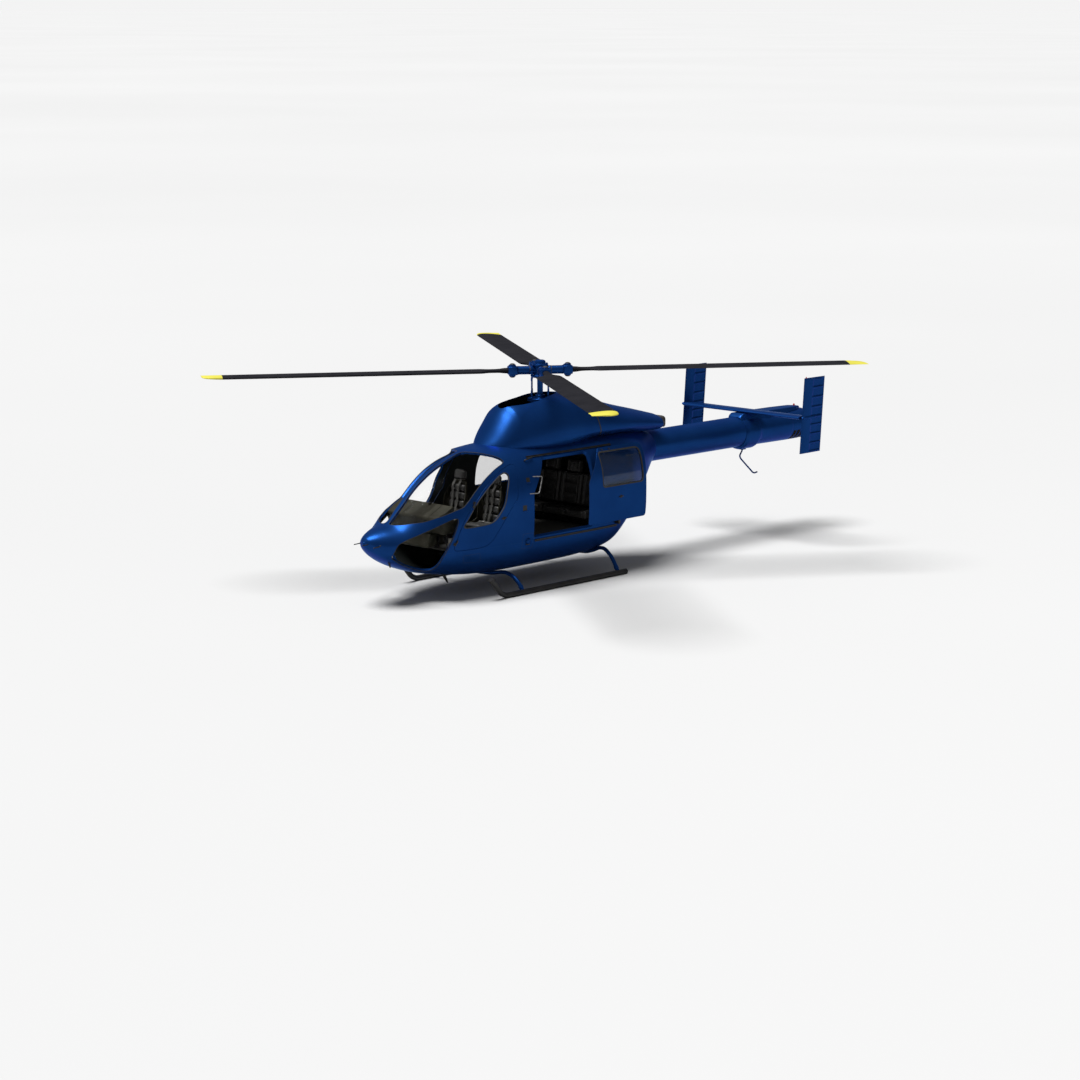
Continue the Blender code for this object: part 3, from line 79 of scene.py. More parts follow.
def in_frame(points):
    """Points given in stations, moved into the frame: the mast's place is added along X."""
    return np.asarray(points, float) + np.array([MAST_X, 0.0, 0.0])


print("the mast stands at x =", MAST_X)

# %% [markdown]
# ## Camera
#
# The photograph was taken from in front, on the port side and a little above, with a long lens: far
# lines hardly come together. So the camera stands about 44 m away with a narrow view, at the place
# and angles worked out from the rotor disc, the skids and the fins in the picture.

# %% Camera at the photograph's place
CAMERA_PLACE = (-31.885, -30.725, 8.654)
CAMERA_TURN, CAMERA_DOWN = math.radians(46.06), math.radians(10.4)
LENS_MM, SENSOR_MM = 97.05, 36.0
FARTHEST_SEEN = 20000.0  # metres, so that the far floor isn't cut off

camera_data = bpy.data.cameras.new("camera")
camera_data.lens = LENS_MM
camera_data.sensor_width = SENSOR_MM
camera_data.clip_end = FARTHEST_SEEN
camera = bpy.data.objects.new("camera", camera_data)
camera.location = in_frame(CAMERA_PLACE)
camera.rotation_euler = (math.pi / 2 - CAMERA_DOWN, 0.0, -CAMERA_TURN)
bpy.context.collection.objects.link(camera)
bpy.context.scene.camera = camera
print("camera at", [round(v, 3) for v in camera.location])

# %% [markdown]
# ## Meshes from grids
#
# Almost every surface of an aircraft is a grid: one direction runs along the body and the other runs
# round it. Such a grid can be worked out as one array of points, and its faces follow a rule. The
# helpers below turn arrays into closed meshes. Writing them once keeps each later piece short.


# %% Faces of a grid
def grid_faces(rows, columns, around=False, start=0):
    """Four-cornered faces: point (i, j) joins (i+1, j), (i+1, j+1) and (i, j+1)."""
    i, j = np.meshgrid(np.arange(rows - 1), np.arange(columns if around else columns - 1), indexing="ij")
    after = (j + 1) % columns
    corners = [i * columns + j, (i + 1) * columns + j, (i + 1) * columns + after, i * columns + after]
    return (np.stack(corners, -1).reshape(-1, 4) + start).tolist()


def tube(rings, closed=False):
    """Rings of equal count joined in order; the ends get flat caps, or join each other."""
    rings = np.asarray(rings, float)
    rows, columns = rings.shape[:2]
    faces = grid_faces(rows, columns, around=True)
    if closed:
        last = (rows - 1) * columns
        j = np.arange(columns)
        after = (j + 1) % columns
        faces += np.stack([last + j, j, after, last + after], -1).tolist()
    else:
        faces += [list(range(columns)), list(range((rows - 1) * columns, rows * columns))]
    return rings.reshape(-1, 3), faces


def thick_sheet(outer, inner, around=False):
    """Two grids of equal shape as the faces of one wall, closed along every free edge."""
    outer, inner = np.asarray(outer, float), np.asarray(inner, float)
    rows, columns = outer.shape[:2]
    count = rows * columns
    index = np.arange(count).reshape(rows, columns)
    faces = grid_faces(rows, columns, around) + grid_faces(rows, columns, around, count)
    edges = [index[0], index[-1]] if around else [index[0], index[-1], index[:, 0], index[:, -1]]
    for edge in edges:
        a, b = edge, np.roll(edge, -1)
        if not around:
            a, b = edge[:-1], edge[1:]
        faces += np.stack([a, b, b + count, a + count], -1).tolist()
    return np.concatenate([outer.reshape(-1, 3), inner.reshape(-1, 3)]), faces


def cup(outer, inner):
    """A shell of two sets of rings, flat at its first end; a rim joins their last rings."""
    rows, count = outer.shape[:2]
    inner_rows = len(inner)
    split = rows * count
    faces = grid_faces(rows, count, True) + grid_faces(inner_rows, count, True, split)
    last, inner_last = (rows - 1) * count, split + (inner_rows - 1) * count
    j = np.arange(count)
    after = (j + 1) % count
    faces += np.stack([last + j, last + after, inner_last + after, inner_last + j], -1).tolist()
    faces += [list(range(count)), list(range(split, split + count))]
    return np.concatenate([outer.reshape(-1, 3), inner.reshape(-1, 3)]), faces


print("a 4 by 5 grid has", len(grid_faces(4, 5)), "faces")


# %% Objects from points and faces
SMOOTH_BELOW = 35  # degrees between faces that still shade as one surface


def raw(name, points, faces):
    """A mesh object of points given in stations, with its faces turned outward."""
    mesh = bpy.data.meshes.new(name)
    mesh.from_pydata(in_frame(points).tolist(), [], faces)
    body = bmesh.new()
    body.from_mesh(mesh)
    bmesh.ops.remove_doubles(body, verts=body.verts, dist=1e-6)
    bmesh.ops.recalc_face_normals(body, faces=body.faces)
    body.to_mesh(mesh)
    body.free()
    piece = bpy.data.objects.new(name, mesh)
    bpy.context.collection.objects.link(piece)
    return piece


def shade(piece, angle=SMOOTH_BELOW):
    """Smooth shading, with a sharp edge wherever faces meet at more than the angle."""
    piece.data.shade_smooth()
    piece.data.set_sharp_from_angle(angle=math.radians(angle))
    return piece


def dress(piece, finish, body="airframe", stands_for=""):
    """Gives a finished piece its material and its body, and hides the node that it stands for."""
    if not piece.data.materials:
        piece.data.materials.append(finish)
    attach(piece, body)
    if stands_for:
        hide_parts(stands_for)
    return piece


def part(name, shape, finish, body="airframe", stands_for="", angle=SMOOTH_BELOW):
    """A piece in one go, from (points, faces)."""
    return dress(shade(raw(name, *shape), angle), finish, body, stands_for)


def joined(shapes):
    """Several (points, faces) as one."""
    points, faces, count = [], [], 0
    for some_points, some_faces in shapes:
        some_points = np.asarray(some_points, float).reshape(-1, 3)
        points.append(some_points)
        faces += [[k + count for k in face] for face in some_faces]
        count += len(some_points)
    return np.concatenate(points), faces


print("nodes to dress:", ", ".join(sorted(frame["nodes"])[:6]), "and so on")

# %% [markdown]
# ## Finishes
#
# A finish on an aircraft is layered: a primer, a colour coat with fine metal flake, a clear lacquer,
# and then dust and small marks. In Blender one shader can hold all of it, with small patterns of
# noise that change its colour, roughness and bump. The patterns read the piece's own coordinates,
# which are metres here, so a scale in a pattern is a count of cells in a metre.


# %% A finish with patterns
class Finish:
    """A material and its nodes; patterns are added one at a time."""

    def __init__(self, name, colour, roughness, metallic=0.0, **sockets):
        self.material = bpy.data.materials.new(name)
        self.material.use_nodes = True
        self.nodes, self.links = self.material.node_tree.nodes, self.material.node_tree.links
        self.shader = self.nodes["Principled BSDF"]
        self.place = self.nodes.new("ShaderNodeTexCoord").outputs["Object"]
        self.set("Base Color", (*colour, 1.0))
        self.set("Roughness", roughness)
        self.set("Metallic", metallic)
        for socket, value in sockets.items():
            self.set(socket.replace("_", " "), value)
        self.material.diffuse_color = (*colour, 1.0)
        self.normal = None

    def set(self, socket, value):
        self.shader.inputs[socket].default_value = value

    def noise(self, scale, detail=4.0):
        """A cloudy pattern with the given number of cells in a metre."""
        pattern = self.nodes.new("ShaderNodeTexNoise")
        pattern.inputs["Scale"].default_value = scale
        pattern.inputs["Detail"].default_value = detail
        self.links.new(self.place, pattern.inputs["Vector"])
        return pattern.outputs["Fac"]

    def ramp(self, value, stops):
        """A value turned into colours between stops of (place, colour)."""
        ramp = self.nodes.new("ShaderNodeValToRGB")
        points = ramp.color_ramp.elements
        while len(points) < len(stops):
            points.new(0.5)
        for point, (at, colour) in zip(points, stops):
            point.position = at
            point.color = (*colour, 1.0) if hasattr(colour, "__len__") else (colour, colour, colour, 1.0)
        self.links.new(value, ramp.inputs["Fac"])
        return ramp.outputs["Color"]

    def mix(self, share, first, second):
        """Two colours mixed by a pattern; each may be a colour or another node's output."""
        mixer = self.nodes.new("ShaderNodeMix")
        mixer.data_type = "RGBA"
        self.links.new(share, mixer.inputs["Factor"])
        for socket, colour in (("A", first), ("B", second)):
            target = next(i for i in mixer.inputs if i.name == socket and i.type == "RGBA")
            if hasattr(colour, "is_output"):
                self.links.new(colour, target)
            else:
                target.default_value = (*colour, 1.0)
        return next(o for o in mixer.outputs if o.type == "RGBA")

    def maths(self, kind, operation, source, second=None):
        """A node that works on a source and, where it is given, a fixed second value."""
        node = self.nodes.new(kind)
        node.operation = operation
        self.links.new(source, node.inputs[0])
        if second is not None:
            node.inputs[1].default_value = second
        return node.outputs["Value" if operation in ("LENGTH", "GREATER_THAN") else "Vector"]

    def colour(self, output):
        self.links.new(output, self.shader.inputs["Base Color"])
        return self

    def rough(self, pattern, low, high):
        """Roughness that follows a pattern between two values."""
        spread = self.nodes.new("ShaderNodeMapRange")
        spread.inputs["To Min"].default_value = low
        spread.inputs["To Max"].default_value = high
        self.links.new(pattern, spread.inputs["Value"])
        self.links.new(spread.outputs["Result"], self.shader.inputs["Roughness"])
        return self

    def bump(self, height, distance, strength=1.0):
        """A bump from a pattern, on top of any bump already there."""
        node = self.nodes.new("ShaderNodeBump")
        node.inputs["Distance"].default_value = distance
        node.inputs["Strength"].default_value = strength
        self.links.new(height, node.inputs["Height"])
        if self.normal:
            self.links.new(self.normal, node.inputs["Normal"])
        self.normal = node.outputs["Normal"]
        self.links.new(self.normal, self.shader.inputs["Normal"])
        return self

    def mottled(self, cells, detail, *stops, rough=None, bumps=()):
        """The material, with noises for its colour, between the stops, its roughness and its bumps."""
        self.colour(self.ramp(self.noise(cells, detail), stops))
        if rough:
            self.rough(self.noise(rough[0]), *rough[1:])
        for cells, detail, depth, strength in bumps:
            self.bump(self.noise(cells, detail), depth, strength)
        return self.material


print("a finish starts as one shader and gains patterns")

# %% [markdown]
# ### Blue lacquer
#
# The machine is one deep metallic blue. Metal flake makes it turn to a bright sky blue where light
# falls straight on it and nearly black where none does. A plain diffuse blue can't do that. So part of
# the colour is metallic and the lacquer's own shine is tinted sky blue. Dust varies it a little.

# %% The blue paint
BLUE = (0.0062, 0.036, 0.152)
BLUE_DUSTED = (0.007, 0.04, 0.163)
BLUE_WORN = (0.0056, 0.033, 0.14)
SKY_FLAKE = (0.06, 0.42, 1.0, 1.0)
BLUE_LACQUER = Finish(
    "blue_lacquer", BLUE, 0.33, 0.62, Specular_IOR_Level=0.06, Specular_Tint=SKY_FLAKE,
).mottled(
    1.7, 4.0, (0.35, BLUE_WORN), (0.5, BLUE), (0.65, BLUE_DUSTED),
    rough=(6.0, 0.29, 0.37), bumps=[(900.0, 1.0, 0.00005, 0.15)],
)
print("finish:", BLUE_LACQUER.name)

# %% [markdown]
# ### Dark finishes
#
# Skids, rails and fittings are satin black. The blades are a dark composite that has gone chalky in
# patches. Window seals are matt rubber. They differ in roughness and in the size of their mottling,
# which the eye reads as different materials.

# %% Black paint, rubber and blade skin
BLADE_TIP_START = 4.86  # metres from the mast's axis where the yellow tip starts
TIP_YELLOW = (0.52, 0.48, 0.07)
SATIN_BLACK = Finish("satin_black", (0.008, 0.008, 0.009), 0.45, Specular_IOR_Level=0.3).mottled(
    9.0, 8.0, (0.4, (0.006, 0.006, 0.007)), (0.72, (0.016, 0.015, 0.015)),
    rough=(22.0, 0.34, 0.55), bumps=[(240.0, 2.0, 0.0002, 0.3)],
)
SEAL_RUBBER = Finish("seal_rubber", (0.01, 0.01, 0.011), 0.7).mottled(
    30.0, 4.0, (0.3, (0.008, 0.008, 0.009)), (0.8, (0.02, 0.02, 0.021)), bumps=[(500.0, 2.0, 0.0002, 0.3)],
)


def blade_skin():
    """Dark composite, with a yellow tip that starts at a distance from the mast's axis."""
    skin = Finish("blade_composite", (0.006, 0.006, 0.009), 0.7, Specular_IOR_Level=0.08)
    streaks = skin.noise(3.0, 6.0)
    dark = skin.ramp(streaks, [(0.3, (0.005, 0.005, 0.0078)), (0.7, (0.01, 0.0098, 0.0132))])
    from_mast = skin.maths("ShaderNodeVectorMath", "SUBTRACT", skin.place, (MAST_X, 0.0, 0.0))
    flat = skin.maths("ShaderNodeVectorMath", "MULTIPLY", from_mast, (1.0, 1.0, 0.0))
    reach = skin.maths("ShaderNodeVectorMath", "LENGTH", flat)
    at_tip = skin.maths("ShaderNodeMath", "GREATER_THAN", reach, BLADE_TIP_START)
    yellow = skin.ramp(streaks, [(0.3, (0.42, 0.38, 0.045)), (0.6, TIP_YELLOW)])
    skin.colour(skin.mix(at_tip, dark, yellow))
    skin.rough(skin.noise(14.0), 0.6, 0.75)
    skin.bump(skin.noise(300.0, 2.0), 0.0002, 0.2)
    return skin.material


BLADE_SKIN = blade_skin()
print("finishes:", SATIN_BLACK.name, SEAL_RUBBER.name, BLADE_SKIN.name)

# %% [markdown]
# ### Glass
#
# Aircraft windows are thin bent acrylic. Seen from outside they are almost not there, except where
# they catch the light. Ray traced glass of this thickness would darken the cabin, because light can't
# be aimed through it. So each pane is mostly see-through, and the rest of it is a faint mirror.

# %% Clear and tinted panes
def acrylic(name, tint, solid_share):
    pane = Finish(name, tint, 0.03, 0.9, Alpha=solid_share)
    pane.rough(pane.noise(5.0), 0.02, 0.06)
    pane.bump(pane.noise(2.0, 1.0), 0.002, 0.15)
    return pane.material


CLEAR_ACRYLIC = acrylic("clear_acrylic", (0.09, 0.1, 0.11), 0.004)
TINTED_ACRYLIC = acrylic("tinted_acrylic", (0.12, 0.14, 0.16), 0.16)
print("panes:", CLEAR_ACRYLIC.name, TINTED_ACRYLIC.name)

# %% [markdown]
# ### Inside finishes
#
# Inside, the walls are lined with dark cloth over foam, the seats are black leather on moulded
# olive-grey shells, and the floor is hard-wearing carpet. Each has its own grain: leather creases,
# moulded plastic is stippled and carpet is tufted.

# %% Lining, leather, plastic and carpet
WALL_LINING = Finish("wall_lining", (0.006, 0.009, 0.009), 0.85, Specular_IOR_Level=0.2).mottled(
    60.0, 4.0, (0.3, (0.004, 0.006, 0.006)), (0.7, (0.009, 0.012, 0.011)), bumps=[(700.0, 2.0, 0.0004, 0.5)],
)
MOULDED_PLASTIC = Finish("moulded_plastic", (0.022, 0.021, 0.016), 0.6, Specular_IOR_Level=0.06).mottled(
    8.0, 4.0, (0.3, (0.018, 0.017, 0.012)), (0.7, (0.029, 0.028, 0.021)),
    rough=(30.0, 0.42, 0.6), bumps=[(650.0, 2.0, 0.0004, 0.4)],
)
CABIN_CARPET = Finish("cabin_carpet", (0.035, 0.034, 0.03), 0.9).mottled(
    180.0, 6.0, (0.35, (0.02, 0.02, 0.018)), (0.7, (0.06, 0.057, 0.05)), bumps=[(420.0, 4.0, 0.003, 0.7)],
)


def black_leather():
    """Small cells for the grain, and wider noise for the creases."""
    leather = Finish("black_leather", (0.018, 0.018, 0.018), 0.45, Specular_IOR_Level=0.45)
    cells = leather.nodes.new("ShaderNodeTexVoronoi")
    cells.inputs["Scale"].default_value = 420.0
    leather.links.new(leather.place, cells.inputs["Vector"])
    leather.bump(cells.outputs["Distance"], 0.0006, 0.5)
    return leather.mottled(
        14.0, 4.0, (0.3, (0.012, 0.012, 0.012)), (0.75, (0.034, 0.033, 0.031)),
        rough=(40.0, 0.38, 0.58), bumps=[(24.0, 3.0, 0.003, 0.35)],
    )


BLACK_LEATHER = black_leather()
print("inside finishes:", WALL_LINING.name, BLACK_LEATHER.name, MOULDED_PLASTIC.name, CABIN_CARPET.name)

# %% [markdown]
# ### Metals and small colours
#
# Engine casings and bolts are bare metal, sooted near the exhausts. The few coloured things
# are a red lamp and the instruments' dark glass faces.

# %% Metals, lamp and screens
CAST_METAL = Finish("cast_metal", (0.3, 0.3, 0.31), 0.4, 0.9).mottled(
    18.0, 6.0, (0.3, (0.2, 0.2, 0.21)), (0.7, (0.38, 0.37, 0.36)),
    rough=(45.0, 0.3, 0.55), bumps=[(300.0, 2.0, 0.0003, 0.3)],
)
SOOTY_STEEL = Finish("sooty_steel", (0.05, 0.05, 0.055), 0.55, 0.8).mottled(
    12.0, 6.0, (0.3, (0.02, 0.02, 0.022)), (0.7, (0.085, 0.08, 0.078)), rough=(30.0, 0.4, 0.7),
)
RED_LAMP = Finish("red_lamp", (0.4, 0.01, 0.008), 0.12, Coat_Weight=1.0).mottled(
    90.0, 4.0, (0.3, (0.3, 0.006, 0.005)), (0.7, (0.46, 0.014, 0.01)),
)
SCREEN_GLASS = Finish("screen_glass", (0.008, 0.012, 0.014), 0.08, Coat_Weight=1.0).mottled(
    25.0, 4.0, (0.3, (0.006, 0.008, 0.01)), (0.7, (0.012, 0.02, 0.024)),
)


def webbing():
    """Woven ribs, as a wave that lifts the surface."""
    weave = Finish("belt_webbing", (0.03, 0.029, 0.026), 0.75)
    ribs = weave.nodes.new("ShaderNodeTexWave")
    ribs.inputs["Scale"].default_value = 160.0
    weave.links.new(weave.place, ribs.inputs["Vector"])
    weave.bump(ribs.outputs["Fac"], 0.0006, 0.5)
    return weave.mottled(60.0, 4.0, (0.3, (0.02, 0.02, 0.018)), (0.7, (0.045, 0.043, 0.038)))


BELT_WEBBING = webbing()
print("metals and small finishes:", CAST_METAL.name, SOOTY_STEEL.name, RED_LAMP.name)

# %% [markdown]
# ## The pod's shape
#
# Body lofts are drawn as sections. Each section of this pod is an oval whose upper and lower halves
# are superellipses: a power of 2 is an ellipse, and a higher power is squarer. A table holds the
# numbers at a few stations, and a smooth curve that never overshoots runs between them. Any point
# of the skin then follows from two numbers, its station and its angle round the section.

# %% Section tables
# Columns: station, bottom, top, half width, height of the widest point, upper power, lower power
POD_SECTIONS = np.array([
    (-3.70, 0.930, 0.980, 0.020, 0.955, 2.00, 2.00),
    (-3.66, 0.875, 1.035, 0.110, 0.945, 2.00, 2.00),
    (-3.58, 0.795, 1.085, 0.200, 0.925, 2.00, 2.10),
    (-3.45, 0.695, 1.135, 0.300, 0.905, 2.00, 2.10),
    (-3.25, 0.585, 1.195, 0.415, 0.900, 2.00, 2.20),
    (-3.00, 0.485, 1.405, 0.520, 0.930, 2.00, 2.30),
    (-2.70, 0.395, 1.672, 0.620, 1.000, 2.10, 2.40),
    (-2.40, 0.340, 1.862, 0.695, 1.080, 2.20, 2.50),
    (-2.10, 0.297, 1.992, 0.750, 1.150, 2.35, 2.70),
    (-1.80, 0.270, 2.088, 0.785, 1.200, 2.50, 2.90),
    (-1.50, 0.258, 2.135, 0.805, 1.220, 2.60, 3.00),
    (-1.00, 0.255, 2.165, 0.815, 1.240, 2.70, 3.10),
    (0.00, 0.262, 2.180, 0.815, 1.240, 2.70, 3.10),
    (0.60, 0.285, 2.180, 0.815, 1.250, 2.70, 3.00),
    (1.00, 0.345, 2.175, 0.800, 1.300, 2.70, 2.90),
    (1.25, 0.500, 2.165, 0.775, 1.360, 2.60, 2.70),
    (1.50, 0.800, 2.150, 0.720, 1.430, 2.50, 2.50),
    (1.80, 1.150, 2.120, 0.600, 1.520, 2.40, 2.30),
    (2.10, 1.375, 2.060, 0.430, 1.620, 2.20, 2.10),
    (2.40, 1.480, 1.980, 0.250, 1.730, 2.00, 2.00),
])
COWL_SECTIONS = np.array([
    (-1.34, 2.000, 2.060, 0.050, 2.030, 2.00, 2.00),
    (-1.20, 1.950, 2.240, 0.260, 2.080, 2.00, 2.00),
    (-1.05, 1.920, 2.440, 0.370, 2.120, 2.00, 2.00),
    (-0.90, 1.900, 2.620, 0.435, 2.140, 2.00, 2.00),
    (-0.80, 1.890, 2.715, 0.470, 2.160, 2.05, 2.00),
    (-0.60, 1.870, 2.765, 0.515, 2.180, 2.10, 2.00),
    (-0.30, 1.850, 2.800, 0.550, 2.200, 2.20, 2.00),
    (0.00, 1.850, 2.830, 0.565, 2.220, 2.20, 2.00),
    (0.35, 1.930, 2.805, 0.570, 2.220, 2.20, 2.00),
    (0.70, 2.030, 2.740, 0.560, 2.220, 2.20, 2.00),
    (1.42, 2.040, 2.530, 0.520, 2.210, 2.20, 2.00),
    (2.00, 2.010, 2.390, 0.450, 2.170, 2.20, 2.00),
    (2.42, 2.000, 2.285, 0.390, 2.130, 2.20, 2.00),
])
print("pod:", len(POD_SECTIONS), "sections; cowl:", len(COWL_SECTIONS), "sections")


# %% A smooth curve through a table
def steady(stations, values, at):
    """A cubic curve through a table. A row's slope is a weighted mean of the rises beside it, 0 at a turn."""
    x, v, at = np.asarray(stations, float), np.asarray(values, float), np.asarray(at, float)
    step = np.diff(x)
    rise = np.diff(v) / step
    slope = np.zeros(len(x))
    before, after = rise[:-1], rise[1:]
    same = before * after > 0
    w1, w2 = 2 * step[1:] + step[:-1], step[1:] + 2 * step[:-1]
    safe_before, safe_after = np.where(same, before, 1.0), np.where(same, after, 1.0)
    slope[1:-1] = np.where(same, (w1 + w2) / (w1 / safe_before + w2 / safe_after), 0.0)
    slope[0], slope[-1] = rise[0], rise[-1]
    k = np.clip(np.searchsorted(x, at, side="right") - 1, 0, len(x) - 2)
    t = (at - x[k]) / step[k]
    keep = (1 + 2 * t) * (1 - t) ** 2 * v[k] + t * (1 - t) ** 2 * step[k] * slope[k]
    return keep + t**2 * (3 - 2 * t) * v[k + 1] + t**2 * (t - 1) * step[k] * slope[k + 1]


print("top of the pod, 1.9 m in front of the mast:",
      steady(POD_SECTIONS[:, 0], POD_SECTIONS[:, 2], [-1.9]).round(3))


# %% Points of the skin
def columns_at(table, station):
    """A table's other columns at a station, such as bottom, top, half width, widest height and powers."""
    return [steady(table[:, 0], column, station) for column in table.T[1:]]


def section_point(table, station, angle):
    """y = half width · cos^(2/power); z = widest height + reach · sin^(2/power)."""
    station, angle = np.broadcast_arrays(np.asarray(station, float), np.asarray(angle, float))
    bottom, top, width, widest, upper, lower = columns_at(table, station)
    across, up = np.cos(angle), np.sin(angle)
    power = np.where(up >= 0, upper, lower)
    reach = np.where(up >= 0, top - widest, widest - bottom)
    y = width * np.abs(across) ** (2 / power) * np.sign(across)
    z = widest + reach * np.abs(up) ** (2 / power) * np.sign(up)
    return np.stack([station, y, z], -1)


def offset_point(table, station, angle, offset):
    """The skin moved out by the offset along its normal, the cross product of its two directions."""
    station, angle = np.broadcast_arrays(np.asarray(station, float), np.asarray(angle, float))
    small = 1e-3
    along = section_point(table, np.minimum(station + small, table[-1, 0]), angle)
    along = along - section_point(table, np.maximum(station - small, table[0, 0]), angle)
    around = section_point(table, station, angle + small) - section_point(table, station, angle - small)
    normal = np.cross(around, along)
    normal /= np.linalg.norm(normal, axis=-1, keepdims=True)
    offset = np.asarray(offset, float)
    return section_point(table, station, angle) + (offset[..., None] if offset.ndim else offset) * normal


def skin_grid(table, stations, angles, offset=0.0):
    """A grid of skin points: one row for each station, one column for each angle."""
    station, angle = np.meshgrid(np.asarray(stations, float), np.asarray(angles, float), indexing="ij")
    return offset_point(table, station, angle, offset)


def turn(count):
    """Angles all the way round, from starboard over the top to port and back underneath."""
    return 2 * np.pi * np.arange(count) / count


print("widest half width", POD_SECTIONS[:, 3].max(), "m, roof", POD_SECTIONS[:, 2].max(), "m")

# %% [markdown]
# ## Smooth light on a cut skin
#
# Doors and windows will be cut out of the skin. Cutting leaves long thin faces beside each edge, and
# glossy paint would show them as creases. The cure is to tell every face corner the true direction of
# the skin, which is known from the formula: the direction in which the section's own measure grows
# fastest. Faces across the wall's edge keep their own direction. Faces on the inner side also get the
# lining as their material, so that the wall is painted outside and lined inside in one piece.


# %% True directions of the skin
def measure(table, points):
    """Less than 1 inside the skin: (|y| / half width)^power + (|z - widest| / reach)^power."""
    x, y, z = points.T
    x = np.clip(x, table[0, 0], table[-1, 0])
    bottom, top, width, widest, upper, lower = columns_at(table, x)
    power = np.where(z >= widest, upper, lower)
    reach = np.where(z >= widest, top - widest, widest - bottom)
    return (np.abs(y) / width) ** power + (np.abs(z - widest) / reach) ** power


def skin_direction(table, points, small=1e-4):
    """The measure's slope by central differences, as a unit vector."""
    steps = np.eye(3) * small
    slope = np.stack([measure(table, points + s) - measure(table, points - s) for s in steps], -1)
    return slope / np.maximum(np.linalg.norm(slope, axis=-1, keepdims=True), 1e-12)


def true_normals(piece, table, shift=(0.0, 0.0, 0.0), inner_finish=None, agree=0.8):
    """Corners take the skin's direction where their face agrees with it, and the face's own elsewhere."""
    mesh = piece.data
    mesh.shade_smooth()
    corner_count, face_count = len(mesh.loops), len(mesh.polygons)
    places = np.empty(len(mesh.vertices) * 3, np.float32)
    mesh.vertices.foreach_get("co", places)
    places = places.reshape(-1, 3).astype(float) - np.array([MAST_X, 0.0, 0.0]) - np.array(shift)
    corner_vertex = np.empty(corner_count, np.int32)
    mesh.loops.foreach_get("vertex_index", corner_vertex)
    face_normal = np.empty(face_count * 3, np.float32)
    mesh.polygons.foreach_get("normal", face_normal)
    face_normal = face_normal.reshape(-1, 3).astype(float)
    sizes = np.empty(face_count, np.int32)
    mesh.polygons.foreach_get("loop_total", sizes)
    corner_face = np.repeat(np.arange(face_count), sizes)
    skin = skin_direction(table, places)[corner_vertex]
    own = face_normal[corner_face]
    facing = (skin * own).sum(axis=1, keepdims=True)
    chosen = np.where(facing > agree, skin, np.where(facing < -agree, -skin, own))
    mesh.normals_split_custom_set(chosen.tolist())
    if inner_finish:
        if len(mesh.materials) < 2:
            mesh.materials.append(inner_finish)
        inward = np.zeros(face_count)
        np.add.at(inward, corner_face, facing[:, 0])
        mesh.polygons.foreach_set("material_index", (inward / sizes < -0.5).astype(np.int32))
    mesh.update()
    return piece


print("at the roof the skin faces",
      np.round(skin_direction(POD_SECTIONS, np.array([[0.0, 0.0, 2.18]]))[0], 2))

# %% [markdown]
# ## Lines drawn on the skin
#
# Windows and doors are drawn as flat outlines in a side view or a plan, the way a lofting drawing
# shows them. Each outline is turned into stations and angles, so that it lies on the curved skin. It
# can then be grown or shrunk along the skin, which gives gaps, seals and tapered door edges.


# %% Outlines
def smooth_loop(points, per_span=8):
    """A closed curve through the points: a cubic for each span, from its ends and their neighbours."""
    p = np.asarray(points, float)[:, None]
    before, after, next_but_one = np.roll(p, 1, 0), np.roll(p, -1, 0), np.roll(p, -2, 0)
    t = (np.arange(per_span) / per_span)[None, :, None]
    curve = 2 * p + (after - before) * t + (2 * before - 5 * p + 4 * after - next_but_one) * t**2
    curve = 0.5 * (curve + (3 * p - before - 3 * after + next_but_one) * t**3)
    return curve.reshape(-1, p.shape[2])


def rounded_polygon(corners, steps=10, longest=0.03):
    """Straight sides with a bend at each corner. Corner columns: first coordinate, second, radius."""
    corners = [(np.array(c[:2], float), c[2]) for c in corners]
    outline = []
    for i, (place, radius) in enumerate(corners):
        to_before, to_after = corners[i - 1][0] - place, corners[(i + 1) % len(corners)][0] - place
        a, b = to_before / np.linalg.norm(to_before), to_after / np.linalg.norm(to_after)
        reach = radius / math.tan(math.acos(float(np.clip(a @ b, -1, 1))) / 2)
        start, end = place + a * reach, place + b * reach
        t = np.linspace(0, 1, steps + 1)[:, None]
        outline += list((1 - t) ** 2 * start + 2 * t * (1 - t) * place + t**2 * end)
    found = []
    for a, b in zip(outline, outline[1:] + outline[:1]):
        count = max(1, math.ceil(np.linalg.norm(b - a) / longest))
        found += [a + (b - a) * k / count for k in range(count)]
    return np.array(found)


def on_spokes(outline, hub, angles):
    """An outline's farthest crossing with each spoke from a hub."""
    starts = (np.asarray(outline, float) - hub)[None]
    ends = np.roll(starts, -1, 1)
    spoke = np.stack([np.cos(angles), np.sin(angles)], -1)[:, None]
    square = np.stack([-np.sin(angles), np.cos(angles)], -1)[:, None]
    a, b = (starts * square).sum(-1), (ends * square).sum(-1)
    crossing = (a * b <= 0) & (a != b)
    t = np.where(crossing, a / np.where(crossing, a - b, 1.0), 0.0)
    reach = ((starts + (ends - starts) * t[..., None]) * spoke).sum(-1)
    reach = np.where(crossing & (reach > 0), reach, 0.0).max(axis=1)
    return hub + spoke[:, 0] * reach[:, None]


def spoke_angles(hub, *outlines):
    """The directions from a hub to the points of outlines, without near doubles."""
    points = np.concatenate([np.asarray(outline, float) for outline in outlines]) - hub
    angles = np.sort(np.arctan2(points[:, 1], points[:, 0]))
    return angles[np.diff(angles, prepend=angles[-1] - 2 * np.pi) > math.radians(0.35)]


